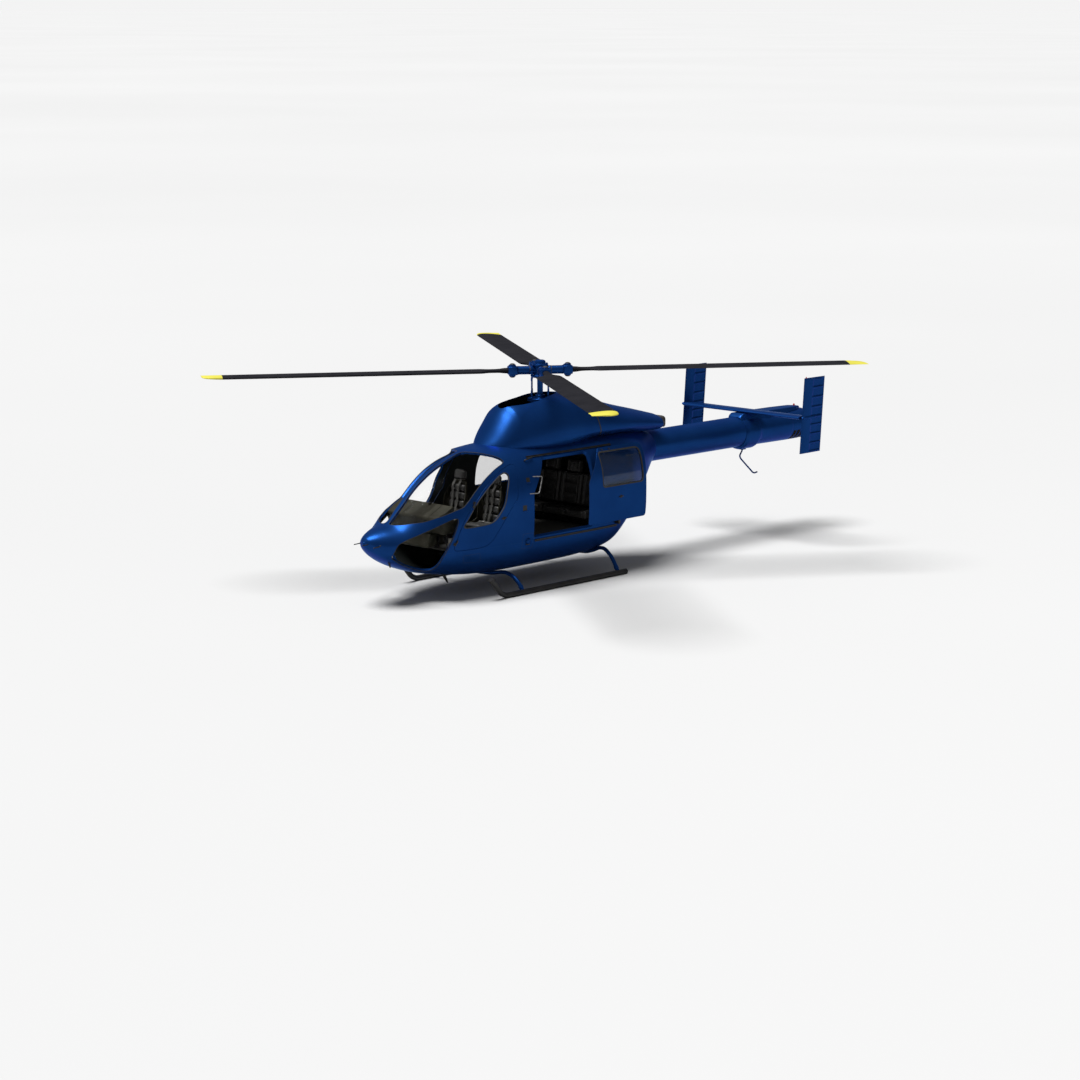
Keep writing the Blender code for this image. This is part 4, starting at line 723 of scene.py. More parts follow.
def angle_at(station, value, view):
    """The starboard angle of a height (side view) or half width (plan): the skin formula turned round."""
    bottom, top, width, widest, upper, lower = columns_at(POD_SECTIONS, station)
    if view == "plan":
        return np.arccos(np.clip(value / width, 0, 1) ** (upper / 2))
    high = value >= widest
    share = np.where(high, (value - widest) / (top - widest), (widest - value) / (widest - bottom))
    return np.arcsin(np.clip(share, 0, 1) ** (np.where(high, upper, lower) / 2)) * np.where(high, 1, -1)


print("a rounded square has",
      len(rounded_polygon([(0, 0, 0.1), (1, 0, 0.1), (1, 1, 0.1), (0, 1, 0.1)])), "points")


# %% A closed line on the skin
class Outline:
    """A closed line on the pod's skin, kept as stations and angles."""

    def __init__(self, station, angle):
        self.station, self.angle = station, angle

    @classmethod
    def seen(cls, points, side, view="side"):
        points = np.asarray(points, float)
        angle = angle_at(points[:, 0], points[:, 1], view)
        return cls(points[:, 0], angle if side == STARBOARD else np.pi - angle)

    def grown(self, amount):
        """Moved outward along the skin, square to the line."""
        small = 1e-4
        here = section_point(POD_SECTIONS, self.station, self.angle)
        by_station = (section_point(POD_SECTIONS, self.station + small, self.angle) - here) / small
        by_angle = (section_point(POD_SECTIONS, self.station, self.angle + small) - here) / small
        outward = np.cross(np.roll(here, -1, 0) - np.roll(here, 1, 0), np.cross(by_station, by_angle))
        outward /= np.linalg.norm(outward, axis=1, keepdims=True)
        if ((here - here.mean(axis=0)) * outward).sum() < 0:
            outward = -outward
        a, b, c = ((p * q).sum(axis=1) for p, q in (
            (by_station, by_station), (by_station, by_angle), (by_angle, by_angle)))
        u, v = (by_station * outward).sum(axis=1), (by_angle * outward).sum(axis=1)
        scale = amount / (a * c - b * b)
        return Outline(self.station + scale * (c * u - b * v), self.angle + scale * (a * v - b * u))

    def towards(self, other, share):
        """The line that lies the given share of the way to another."""
        station = self.station + (other.station - self.station) * share
        return Outline(station, self.angle + (other.angle - self.angle) * share)

    def shrunk(self, share):
        """The line drawn in towards its middle."""
        count = len(self.station)
        return Outline(np.full(count, self.station.mean()),
                       np.full(count, self.angle.mean())).towards(self, share)

    def points(self, level=0.0):
        return offset_point(POD_SECTIONS, self.station, self.angle, level)


print("a sill's corner lies at", Outline.seen([(0.35, 0.792)], PORT).points().round(3).tolist())

# %% Windows and doors as drawn
WINDSHIELD = [
    (-3.235, 0.045), (-3.175, 0.235), (-2.971, 0.43), (-2.697, 0.568), (-2.379, 0.662), (-2.234, 0.682),
    (-2.08, 0.678), (-1.852, 0.66), (-1.606, 0.628), (-1.42, 0.598), (-1.385, 0.56), (-1.449, 0.465),
    (-1.558, 0.35), (-1.65, 0.2), (-1.725, 0.06), (-1.8, 0.04), (-2.15, 0.036), (-2.6, 0.036),
    (-3.0, 0.036),
]
CHIN_WINDOW = [
    (-3.398, 0.758), (-3.362, 0.915), (-3.272, 0.98), (-3.095, 1.045), (-2.873, 1.125), (-2.642, 1.208),
    (-2.48, 1.255), (-2.425, 1.215), (-2.495, 1.016), (-2.571, 0.858), (-2.647, 0.68), (-2.672, 0.52),
    (-2.72, 0.462), (-2.86, 0.48), (-3.107, 0.57), (-3.29, 0.665),
]
CREW_DOOR = [
    (-2.445, 0.765), (-2.495, 0.82), (-2.473, 0.9), (-2.405, 1.075), (-2.3, 1.25), (-2.144, 1.43),
    (-1.97, 1.597), (-1.78, 1.733), (-1.58, 1.843), (-1.42, 1.902), (-1.3, 1.93), (-1.235, 1.908),
    (-1.22, 1.84), (-1.275, 1.64), (-1.31, 1.44), (-1.4, 1.335), (-1.54, 1.18), (-1.72, 0.955),
    (-1.83, 0.83), (-1.95, 0.775), (-2.2, 0.76),
]
CREW_WINDOW = [
    (-2.335, 1.103), (-2.255, 1.235), (-2.11, 1.415), (-1.94, 1.57), (-1.76, 1.7), (-1.59, 1.795),
    (-1.48, 1.828), (-1.42, 1.795), (-1.43, 1.715), (-1.49, 1.575), (-1.555, 1.39), (-1.64, 1.265),
    (-1.8, 1.13), (-2.06, 1.097),
]
# Columns: station, height, corner radius
CABIN_DOOR = [
    (-0.965, 0.792, 0.06), (0.35, 0.792, 0.06), (0.35, 1.955, 0.08), (-0.62, 1.955, 0.06),
    (-0.965, 1.47, 0.18),
]
CABIN_WINDOW = [(-0.64, 1.36, 0.05), (0.27, 1.36, 0.07), (0.27, 1.885, 0.09), (-0.64, 1.885, 0.06)]
CREW_HUB, CABIN_HUB = np.array([-1.78, 1.42]), np.array([-0.2, 1.55])
HINGE_LOWER, HINGE_UPPER = (-2.473, 0.893), (-2.144, 1.424)

crew_spokes = spoke_angles(CREW_HUB, smooth_loop(CREW_DOOR), smooth_loop(CREW_WINDOW))
cabin_spokes = spoke_angles(CABIN_HUB, rounded_polygon(CABIN_DOOR), rounded_polygon(CABIN_WINDOW))
FLAT_OUTLINES = {
    "windshield": (smooth_loop(WINDSHIELD), "plan"),
    "chin_window": (smooth_loop(CHIN_WINDOW), "side"),
    "crew_door": (on_spokes(smooth_loop(CREW_DOOR), CREW_HUB, crew_spokes), "side"),
    "crew_window": (on_spokes(smooth_loop(CREW_WINDOW), CREW_HUB, crew_spokes), "side"),
    "cabin_door": (on_spokes(rounded_polygon(CABIN_DOOR), CABIN_HUB, cabin_spokes), "side"),
    "cabin_window": (on_spokes(rounded_polygon(CABIN_WINDOW), CABIN_HUB, cabin_spokes), "side"),
}
OUTLINES = {
    f"{name}_{side_name}": Outline.seen(points, side, view)
    for name, (points, view) in FLAT_OUTLINES.items()
    for side_name, side in SIDES
}
print("outlines:", {name: len(line.station) for name, line in OUTLINES.items() if "port" in name})

# %% [markdown]
# ## The skin panels
#
# The pod is a sandwich wall 40 mm thick, built as a nose, a belly, a roof, two side frames, a post
# between the windshields and a tail cone. Each panel starts as a closed sheet with an outer and an
# inner face. A tool in the shape of the panel's region, as seen from the side, keeps its part, and a
# plug in the shape of each window or door is taken out. Cutting with solid tools is slow next to pure
# formulas, but it gives exact edges where a slanted frame line crosses three openings.

# %% Wall and cutting tools
WALL = 0.04
SEAT = 0.0003  # gap between faces that touch
DOOR_LEVELS = (-0.035, 0.0)
FIXED_PANE_LEVELS = (-0.014, -0.004)
PANE_LEVELS = (-0.02, -0.01)
EDGE_TAPER, TAPER_REACH, DOOR_GAP = 0.7, 0.1, 0.007
FAR = 5.0


def tool(name, points, faces):
    """A solid that only cuts; it is removed after its use."""
    return raw("tool_" + name, points, faces)


def cut(piece, *operations):
    """Applies each (operation, tool) in turn and keeps the resulting mesh."""
    for kind, cutter in operations:
        modifier = piece.modifiers.new("cut", "BOOLEAN")
        modifier.operation, modifier.object, modifier.solver = kind, cutter, "EXACT"
    made = bpy.data.meshes.new_from_object(piece.evaluated_get(bpy.context.evaluated_depsgraph_get()))
    piece.modifiers.clear()
    piece.data = made
    made.materials.clear()
    return piece


def skin_piece(
        node, shape, finish, inner=None, table=POD_SECTIONS, body="airframe", travel=(0, 0, 0), steps=()):
    """A pane, or a wall with an inner finish: made, cut, given the skin's true directions and dressed."""
    piece = raw(node + ("_skin" if inner else "_pane"), *shape)
    if steps:
        cut(piece, *steps)
    piece.data.materials.append(finish)
    return dress(true_normals(piece, table, travel, inner), finish, body, node)


def tidy_tools():
    for old in [o for o in bpy.data.objects if o.name.startswith("tool_")]:
        bpy.data.objects.remove(old, do_unlink=True)


def prism(outline, low, high):
    """An outline of (station, height) carried across the machine."""
    count = len(outline)
    points = [(x, y, z) for y in (low, high) for x, z in outline]
    ends = [list(range(count)), list(range(count, 2 * count))]
    return np.array(points), grid_faces(2, count, around=True) + ends


def sheet_rings(outline, levels, gap=0.0, taper=0.0, shares=(0.15, 0.35, 0.55, 0.75, 0.9)):
    """Rings over the inner face, round the rim's levels and back over the outer face."""
    rings = [outline.shrunk(share).points(levels[0]) for share in shares]
    rings += [outline.grown(taper * max(level, -0.035) - gap).points(level) for level in levels]
    return rings + [outline.shrunk(share).points(levels[-1]) for share in shares[::-1]]


def behind_hinges(loop):
    """Distance of side-view points behind the line through the crew door's hinges."""
    line = np.subtract(HINGE_UPPER, HINGE_LOWER)
    line = line / np.linalg.norm(line)
    return (loop[:, 0] - HINGE_LOWER[0]) * line[1] - (loop[:, 1] - HINGE_LOWER[1]) * line[0]


crew_taper = EDGE_TAPER * np.clip(behind_hinges(FLAT_OUTLINES["crew_door"][0]) / TAPER_REACH, 0.0, 1.0)
TAPERS = {"crew_door": crew_taper, "cabin_door": EDGE_TAPER}


def pod_plug(name, offset=SEAT, stations=None):
    """A tool in the whole pod's shape, grown by an offset."""
    stations = np.linspace(-2.4, 2.4, 170) if stations is None else stations
    return tool(name, *tube(skin_grid(POD_SECTIONS, stations, turn(150), offset)))


print("crew door taper from", round(crew_taper.min(), 2), "to", round(crew_taper.max(), 2))

# %% Regions of the panels
FRAME_LINE = np.array([(-2.645, -1.0), (-2.635, 0.5), (-2.605, 0.715), (-2.304, 1.4), (-1.995, 2.1)])
SILL_Z, ROOF_Z, NOSE_TOP_Z = 0.745, 1.985, 1.4
POST_END, AFT_FRAME, POST_HALF_WIDTH, SIDE_FRAME_Y = -1.735, 1.0, 0.075, 0.2
HALF = SEAT / 2
BELOW = FRAME_LINE[0, 1]


def along_frame(low, high, shift=0.0):
    """The slanted frame's line between two heights, from the lower up."""
    heights = [low] + [z for z in FRAME_LINE[:, 1] if low < z < high] + [high]
    return [(float(np.interp(z, FRAME_LINE[:, 1], FRAME_LINE[:, 0])) + shift, z) for z in heights]


AFT = AFT_FRAME - HALF
SIDE_REGION = [*along_frame(SILL_Z, ROOF_Z - SEAT, SEAT), (AFT, ROOF_Z - SEAT), (AFT, SILL_Z)]
# Columns: region in the side view, lowest and highest y, openings
PANELS = {
    "nose_shell": (
        [(-FAR, BELOW), *along_frame(BELOW, NOSE_TOP_Z), (-FAR, NOSE_TOP_Z)], -FAR, FAR,
        ["windshield_port", "windshield_starboard", "chin_window_port", "chin_window_starboard"],
    ),
    "windshield_post": (
        [(-FAR, NOSE_TOP_Z + SEAT), (POST_END, NOSE_TOP_Z + SEAT), (POST_END, FAR), (-FAR, FAR)],
        -POST_HALF_WIDTH, POST_HALF_WIDTH, ["windshield_port", "windshield_starboard"],
    ),
    "belly_shell": (
        [*along_frame(BELOW, SILL_Z - SEAT, SEAT), (AFT, SILL_Z - SEAT), (AFT, BELOW)], -FAR, FAR, [],
    ),
    "roof_shell": (
        [(POST_END + SEAT, ROOF_Z), (AFT, ROOF_Z), (AFT, FAR), (POST_END + SEAT, FAR)], -FAR, FAR,
        ["windshield_port", "windshield_starboard"],
    ),
    "side_frame_port": (
        SIDE_REGION, -FAR, -SIDE_FRAME_Y, ["windshield_port", "crew_door_port", "cabin_door_port"],
    ),
    "side_frame_starboard": (
        SIDE_REGION, SIDE_FRAME_Y, FAR,
        ["windshield_starboard", "crew_door_starboard", "cabin_door_starboard"],
    ),
}
# Columns: first and last station, first and last angle in degrees, of the sheet that a panel is cut from
SHEETS = {
    "windshield_post": (-3.1, -1.7, 60, 120),
    "belly_shell": (-2.7, 1.02, -170, -10),
    "roof_shell": (-1.8, 1.02, 10, 170),
    "side_frame_port": (-2.72, 1.02, 93, 215),
    "side_frame_starboard": (-2.72, 1.02, -35, 87),
}
print("panels to cut:", ", ".join(PANELS))

# %% Sheets before they are cut
STATION_STEP, ANGLE_STEP = 0.022, 2.0


def skin_sheet(first, last, low, high):
    """A thick patch of the pod's wall between two stations and two angles."""
    stations = np.linspace(first, last, math.ceil((last - first) / STATION_STEP) + 1)
    angles = np.radians(np.linspace(low, high, math.ceil((high - low) / ANGLE_STEP) + 1))
    grids = [skin_grid(POD_SECTIONS, stations, angles, level) for level in (0.0, -WALL)]
    return thick_sheet(*grids)


def nose_cup():
    """The nose as a cup: outer rings behind a small round tip, inner rings that start behind it."""
    count = 150
    near = np.array([-3.7, -3.695, -3.685, -3.67, -3.655])
    stations = np.concatenate([near, np.linspace(-3.64, -2.25, 66)])
    outer = skin_grid(POD_SECTIONS, stations, turn(count))
    middle = np.array([-3.7, 0.0, 0.955])
    tip = [middle + (outer[0] - middle) * [1, s, s] - [0.012 * math.sqrt(1 - s * s), 0, 0]
           for s in (0.3, 0.6, 0.85)]
    inner = skin_grid(POD_SECTIONS, np.linspace(-3.58, -2.25, 50), turn(count), -WALL)
    return cup(np.concatenate([tip, outer]), inner)


print("the nose cup has", len(nose_cup()[0]), "points")

# %% Panels cut and painted
openings = {}
for opening in sorted({o for row in PANELS.values() for o in row[3]}):
    kind = opening.rsplit("_", 1)[0]
    levels = DOOR_LEVELS if "door" in kind else FIXED_PANE_LEVELS
    rings = sheet_rings(OUTLINES[opening], (-WALL - 0.03, *levels, WALL), 0.0, TAPERS.get(kind, 0.0))
    openings[opening] = tool(opening, *tube(rings))
for name, (region, low, high, holes) in PANELS.items():
    shape = nose_cup() if name == "nose_shell" else skin_sheet(*SHEETS[name])
    keep = tool("region", *prism(region, low, high))
    steps = [("INTERSECT", keep), *[("DIFFERENCE", openings[hole]) for hole in holes]]
    panel = skin_piece(name, shape, BLUE_LACQUER, WALL_LINING, steps=steps)
    print(name, len(panel.data.polygons), "faces")
tidy_tools()

# %% [markdown]
# The tail cone has no openings, so it needs no cutting: it is one thick tube from the last cabin frame
# to the boom.

# %% Tail cone
cone_stations = np.linspace(AFT_FRAME + HALF, 2.4, 66)
cone = thick_sheet(*(skin_grid(POD_SECTIONS, cone_stations, turn(150), level) for level in (0.0, -WALL)),
                   around=True)
aft_pod = skin_piece("aft_pod", cone, BLUE_LACQUER, WALL_LINING)
print("tail cone:", len(aft_pod.data.polygons), "faces")

# %% [markdown]
# ## Windows
#
# A windshield pane is a thin curved sheet that lies in its opening, a few millimetres under the skin,
# in a bead of black sealant. The pane uses the same rings as its opening. The bead is a narrow band
# that follows the opening's edge, with a rounded top, so that it catches a line of light.


# %% Panes and beads
def pane_shape(outline, levels):
    return tube(sheet_rings(outline, levels, SEAT, shares=np.linspace(0.05, 0.95, 10)))


def bead_shape(outline, outside, inside, low, high, steps=6):
    """A band along an outline: its section is half an ellipse over a straight foot."""
    t = np.linspace(0, np.pi, steps)
    middle, half = (outside + inside) / 2, (outside - inside) / 2
    rings = [outline.grown(inside).points(low), outline.grown(outside).points(low)]
    rings += [outline.grown(middle + half * math.cos(a)).points(low + (high - low) * math.sin(a))
              for a in t[1:-1]]
    return tube(np.array(rings), closed=True)


for side_name, side in SIDES:
    for window in ("windshield", "chin_window"):
        name = f"{window}_{side_name}"
        line = OUTLINES[name]
        skin_piece(name, pane_shape(line, FIXED_PANE_LEVELS), CLEAR_ACRYLIC)
        part(name + "_bead", bead_shape(line, -0.0006, -0.009, -0.0065, 0.0005), SEAL_RUBBER)

# %% [markdown]
# ## Crew doors
#
# A crew door is a frame of the same sandwich round one big window. Its rim leans inward, so that it
# wedges into its opening. In front of the hinges the rim is square, because that part swings inward as
# the door opens. Both faces are rings that run from the window's edge to the door's, so the door's
# faces flow round the window, and the outer edge is rounded over a few millimetres like a pressed
# skin. The pane, the seal and the handle ride with the door.


# %% Door frames
def door_frame(line, window, gap, taper, rounding=0.003):
    """Rings: outer face from window to edge, over the rounded edge, in along the rim and back inside."""
    shares = np.linspace(0.0, 1.0, 16)
    outside, inside = line.grown(-gap - rounding), line.grown(-taper * 0.035 - gap)
    rings = [window.towards(outside, s).points(0.0) for s in shares]
    rings += [line.grown(-gap - rounding * (1 - math.sin(a))).points(-rounding * (1 - math.cos(a)))
              for a in np.radians((30, 60, 90))]
    rings += [inside.points(-0.035)]
    rings += [window.towards(inside, s).points(-0.035) for s in shares[-2::-1]]
    rings += [window.points(-0.02), window.points(-0.01)]
    return tube(np.array(rings), closed=True)


def moved(shape, travel):
    return shape[0] + np.asarray(travel, float), shape[1]


def door_pieces(kind, side_name, gap, taper, glass, body, travel=(0.0, 0.0, 0.0)):
    """A door, its pane and its window seal, all moved by the door's travel."""
    name = f"{kind}_{side_name}"
    window_name = name.replace("door", "window")
    line, window = OUTLINES[name], OUTLINES[window_name]
    door = moved(door_frame(line, window, gap, taper), travel)
    skin_piece(name, door, BLUE_LACQUER, WALL_LINING, body=body, travel=travel)
    pane = moved(pane_shape(window, PANE_LEVELS), travel)
    skin_piece(window_name, pane, glass, body=body, travel=travel)
    wide = 0.02 if kind == "cabin_door" else 0.007
    seal = moved(bead_shape(window, wide, -0.012, -0.009, 0.0035), travel)
    part(window_name + "_seal", seal, SEAL_RUBBER, body)


for side_name, side in SIDES:
    door_pieces("crew_door", side_name, DOOR_GAP, crew_taper, CLEAR_ACRYLIC, side_name + "_crew_door")
print("crew doors made, with gaps of", DOOR_GAP * 1000, "mm")

# %% [markdown]
# Each crew door hangs on two small barrel hinges along its slanted front edge. One half is screwed to
# the door and the other to the frame, and the halves meet end to end on the axis.


# %% Hinges
HINGE_PROUD, KNUCKLE_RADIUS, KNUCKLE_LENGTH, HINGE_LEAF = 0.015, 0.008, 0.05, 0.028


def unit(v):
    v = np.asarray(v, float)
    return v / np.linalg.norm(v)


def rod_shape(start, end, radius, count=20, chamfer=0.0):
    """A round bar between two points, with its end edges cut back by a chamfer."""
    start, end = np.asarray(start, float), np.asarray(end, float)
    along = unit(end - start)
    across = unit(np.cross(along, (0, 0, 1) if abs(along[2]) < 0.9 else (1, 0, 0)))
    spokes = np.cos(turn(count))[:, None] * across + np.sin(turn(count))[:, None] * np.cross(across, along)
    if not chamfer:
        return tube([start + radius * spokes, end + radius * spokes])
    return tube([
        start + (radius - chamfer) * spokes, start + along * chamfer + radius * spokes,
        end - along * chamfer + radius * spokes, end + (radius - chamfer) * spokes,
    ])


def block_shape(low, high, soft=0.0):
    """A block; soft corners come from a ring pulled in by that much at each end and on each corner."""
    (x0, y0, z0), (x1, y1, z1) = low, high
    if not soft:
        corners = [(y0, z0), (y1, z0), (y1, z1), (y0, z1)]
        return tube([[(x, y, z) for y, z in corners] for x in (x0, x1)])

    def outline(inset):
        a, b, c, d, k = y0 + inset, y1 - inset, z0 + inset, z1 - inset, soft
        m = 0.3 * k
        return [(a + k, c), (b - k, c), (b - m, c + m), (b, c + k), (b, d - k), (b - m, d - m),
                (b - k, d), (a + k, d), (a + m, d - m), (a, d - k), (a, c + k), (a + m, c + m)]

    part_way = 0.3 * soft
    rows = [(x0, soft), (x0 + part_way, part_way), (x0 + soft, 0.0)]
    rows += [(x1 - soft, 0.0), (x1 - part_way, part_way), (x1, soft)]
    return tube([[(x, y, z) for y, z in outline(inset)] for x, inset in rows])


def hinge_shape(centre, along, across, outward, depth):
    knuckle = rod_shape(centre, centre + along * KNUCKLE_LENGTH, KNUCKLE_RADIUS, 24, 0.001)
    corners = []
    leaf = [(0.0, 0.003 - HINGE_PROUD), (HINGE_LEAF, -HINGE_PROUD - depth), (HINGE_LEAF, -0.011)]
    leaf += [(0.004, 0.0), (0.0, 0.0)]
    for u in (0.004, KNUCKLE_LENGTH - 0.004):
        corners.append([centre + along * u + across * a + outward * n for a, n in leaf])
    return joined([knuckle, tube(corners)])


print("a hinge has", len(hinge_shape(np.zeros(3), *np.eye(3), 0.012)[0]), "points")

# %% Hinges in place
for side_name, side in SIDES:
    feet = Outline.seen([HINGE_LOWER, HINGE_UPPER], side)
    lower, upper = feet.points(HINGE_PROUD)
    axis = unit(upper - lower)
    for label, centre, foot, way in zip(("lower", "upper"), (lower, upper), feet.points(), (axis, -axis)):
        outward = centre - foot
        outward = unit(outward - axis * (outward @ axis))
        aft = np.cross(axis, outward)
        aft = aft if aft[0] > 0 else -aft
        half_gap, door_body = way * HALF, side_name + "_crew_door"
        on_door = hinge_shape(centre + half_gap, way, aft, outward, 0.012)
        on_frame = hinge_shape(centre - half_gap, -way, -aft, outward, 0.024)
        part(f"hinge_{label}_door_{side_name}", on_door, SATIN_BLACK, door_body)
        part(f"hinge_{label}_frame_{side_name}", on_frame, SATIN_BLACK)
print("hinge axis, starboard:", np.round(axis, 3))

# %% [markdown]
# ## Cabin doors and rails
#
# The cabin doors pop out of their openings and slide aft on rails, on rollers at the ends of short
# arms. The port one stands open, as in the photograph, so it shows its whole thickness, its arms and
# the rails that it ran along. Its window has a broad black rubber seal and a grey tint.

# %% Cabin doors
DOOR_SLID = (1.13, -0.068, 0.035)
door_pieces("cabin_door", "starboard", 0.004, EDGE_TAPER, TINTED_ACRYLIC, "airframe")
door_pieces("cabin_door", "port", DOOR_GAP, EDGE_TAPER, TINTED_ACRYLIC, "airframe", DOOR_SLID)
ARMS = {
    "lower": ((0.87, -0.85, 0.775), (0.91, -0.7, 0.9)),
    "front": ((0.58, -0.745, 1.945), (0.61, -0.64, 1.962)),
    "rear": ((0.74, -0.745, 1.945), (0.77, -0.64, 1.962)),
}
for name, (low, high) in ARMS.items():
    part(f"roller_arm_{name}", block_shape(low, high, 0.003), SATIN_BLACK)
print("the port door has slid", DOOR_SLID[0], "m aft on", len(ARMS), "arms")

# %% Rails on the skin
RAIL_STATIONS = (-0.93, 0.93)
RAILS = {
    "lower_rail_port": ((0.728, 0.758), PORT),
    "lower_rail_starboard": ((0.728, 0.758), STARBOARD),
    "upper_rail_port": ((1.975, 1.997), PORT),
}


def rail_shape(low, high, side, count=60):
    """A strip along the skin whose section is a flat channel: two lips and a groove between them."""
    stations = np.linspace(*RAIL_STATIONS, count)
    across = [0.0, 0.0, 0.18, 0.18, 0.82, 0.82, 1.0, 1.0]
    levels = [-0.008, 0.012, 0.012, 0.005, 0.005, 0.012, 0.012, -0.008]
    rings = []
    for share, level in zip(across, levels):
        line = Outline.seen(np.stack([stations, np.full(count, low + (high - low) * share)], -1), side)
        rings.append(line.points(level))
    return tube(np.swapaxes(np.array(rings), 0, 1))


for name, ((low, high), side) in RAILS.items():
    part(name + "_channel", rail_shape(low, high, side), SATIN_BLACK, stands_for=name)
print("rails:", list(RAILS))

# %% [markdown]
# ## Mast fairing and engine cowling
#
# Over the roof, a smooth fairing covers the gearbox, the mast's foot and the engines. It is a thin
# shell with its own section table, in two parts that meet at a slanted seam. The roof's shape is taken
# out of its lower edge, so that it sits on the roof, and a long oval opening lets the mast through.

# %% Cowl shells
COWL_WALL = 0.015
SEAM_X, SEAM_Z, SEAM_LEAN = 0.75, 2.32, -0.25
OPENING_FRONT, OPENING_BACK, OPENING_HALF_WIDTH = -0.86, 0.3, 0.255


def cowl_shape(first, last, count=140):
    """Outer rings and inner rings a wall's thickness inside: a cup in front, an open tube behind."""
    stations = np.concatenate([[-1.34, -1.335, -1.325, -1.31], np.linspace(-1.29, 2.42, 150)])
    stations = stations[(stations >= first) & (stations <= last)]
    inner_stations = stations[stations > -1.2] if first < -1.2 else stations
    outer = skin_grid(COWL_SECTIONS, stations, turn(count))
    inner = skin_grid(COWL_SECTIONS, inner_stations, turn(count), -COWL_WALL)
    return thick_sheet(outer, inner, around=True) if first >= -1.2 else cup(outer, inner)


def seam_region(aft):
    """The half of the machine in front of, or behind, the slanted seam."""
    way = 1.0 if aft else -1.0
    low, high = (SEAM_X + SEAM_LEAN * (z - SEAM_Z) + 0.001 * way for z in (1.5, 3.5))
    return prism([(low, 1.5), (low + way * FAR, 1.5), (high + way * FAR, 3.5), (high, 3.5)], -FAR, FAR)


def mast_opening(grow, low, high, count=96):
    """An upright plug: an oval, a little wider towards the front."""
    a = turn(count)
    middle, reach = (OPENING_FRONT + OPENING_BACK) / 2, (OPENING_BACK - OPENING_FRONT) / 2 + grow
    x = middle + reach * np.cos(a)
    y = (OPENING_HALF_WIDTH + grow) * np.sin(a) * (0.97 - 0.08 * np.cos(a))
    return [np.stack([x, y, np.full(count, z)], 1) for z in (low, high)]


roof_plug = pod_plug("roof")
for name, aft, first, last in (("mast_fairing", False, -1.34, 1.1), ("engine_cowling", True, 0.35, 2.42)):
    steps = [("INTERSECT", tool("seam", *seam_region(aft))), ("DIFFERENCE", roof_plug)]
    if not aft:
        steps.append(("DIFFERENCE", tool("mast_opening", *tube(mast_opening(0.0, 2.45, 3.2)))))
    cowl = skin_piece(name, cowl_shape(first, last), BLUE_LACQUER, SATIN_BLACK, COWL_SECTIONS, steps=steps)
    print(name, len(cowl.data.polygons), "faces")

# %% [markdown]
# ## Exhausts, engine and gearbox
#
# Two engines sit side by side at the back of the roof. The scene shows them as one plain block,
# because the cowling hides them. Their exhausts leave the open end of the cowling as two oval ducts of
# thin steel, with a rolled lip and a sooty bore.

# %% Exhaust ducts
EXHAUST_START, EXHAUST_Y, EXHAUST_Z = 1.9503, 0.166, 2.148
EXHAUST_HALF = np.array([0.155, 0.09])
# Columns: station, growth of the section
EXHAUST_ROWS = [
    (EXHAUST_START, 0.0), (2.2, 0.0), (2.44, 0.0), (2.515, 0.0), (2.527, 0.002), (2.536, 0.003),
    (2.541, 0.001), (2.542, -0.003), (2.54, -0.008), (2.53, -0.011), (2.5, -0.012), (2.3, -0.012),
    (2.1, -0.012), (1.97, -0.014),
]


def oval_ring(station, y, z, half, power=2.0, count=64):
    """y = a·|cos t|^(2/p) and z = b·|sin t|^(2/p), each with its own sign: an oval, squarer as p grows."""
    c, s = np.cos(turn(count)), np.sin(turn(count))
    across = y + half[0] * np.sign(c) * np.abs(c) ** (2 / power)
    return np.stack([np.full(count, station), across, z + half[1] * np.sign(s) * np.abs(s) ** (2 / power)], 1)


for side_name, side in SIDES:
    rings = [oval_ring(x, side * EXHAUST_Y, EXHAUST_Z, EXHAUST_HALF + grow, 4.5) for x, grow in EXHAUST_ROWS]
    duct = raw(f"exhaust_{side_name}_duct", *tube(rings))
    cut(duct, ("DIFFERENCE", roof_plug))
    dress(shade(duct), SOOTY_STEEL, stands_for="exhaust_" + side_name)
tidy_tools()

for node in ("engine_block", "gearbox"):
    for holder in frame["nodes"][node].material_slots:
        holder.material = CAST_METAL
print("exhausts end at station", max(x for x, grow in EXHAUST_ROWS))

# %% [markdown]
# ## Rotor hub
#
# The rotor turns on a hollow mast. A swashplate round the mast tilts, and four thin links carry its
# tilt up to a horn on each blade's arm, which twists the blade. Each arm is a round case that ends in
# a fork with a damper: a short drum with a dark rubber dome above and below.


# %% Turned shapes
def turned(profile, place=(0.0, 0.0), count=64, closed=False):
    """A profile of (radius, height) turned round an upright axis."""
    r, z = np.asarray(profile, float).T
    a = turn(count)
    x = place[0] + r[:, None] * np.cos(a)
    y = place[1] + r[:, None] * np.sin(a)
    return tube(np.stack([x, y, np.repeat(z[:, None], count, 1)], -1), closed)


def softened(radius, low, high, edge):
    """The profile of a drum with rounded rims."""
    t = np.radians([0, 30, 60, 90])
    bottom = np.stack([radius - edge + edge * np.sin(t), low + edge - edge * np.cos(t)], 1)
    top = np.stack([radius - edge + edge * np.cos(t), high - edge + edge * np.sin(t)], 1)
    return np.concatenate([[(0.4 * radius, low)], bottom, top, [(0.4 * radius, high)]])


ROTOR_HEIGHT = 3.174
mast_profile = [
    (0.045, 2.5503), (0.045, 2.8), (0.0445, 2.802), (0.0445, 2.95), (0.045, 2.952), (0.045, 3.0597),
]
part("rotor_mast_tube", turned(mast_profile), BLUE_LACQUER, "rotor", "rotor_mast")

FIRST_BLADE_ANGLE = math.radians(54.67)


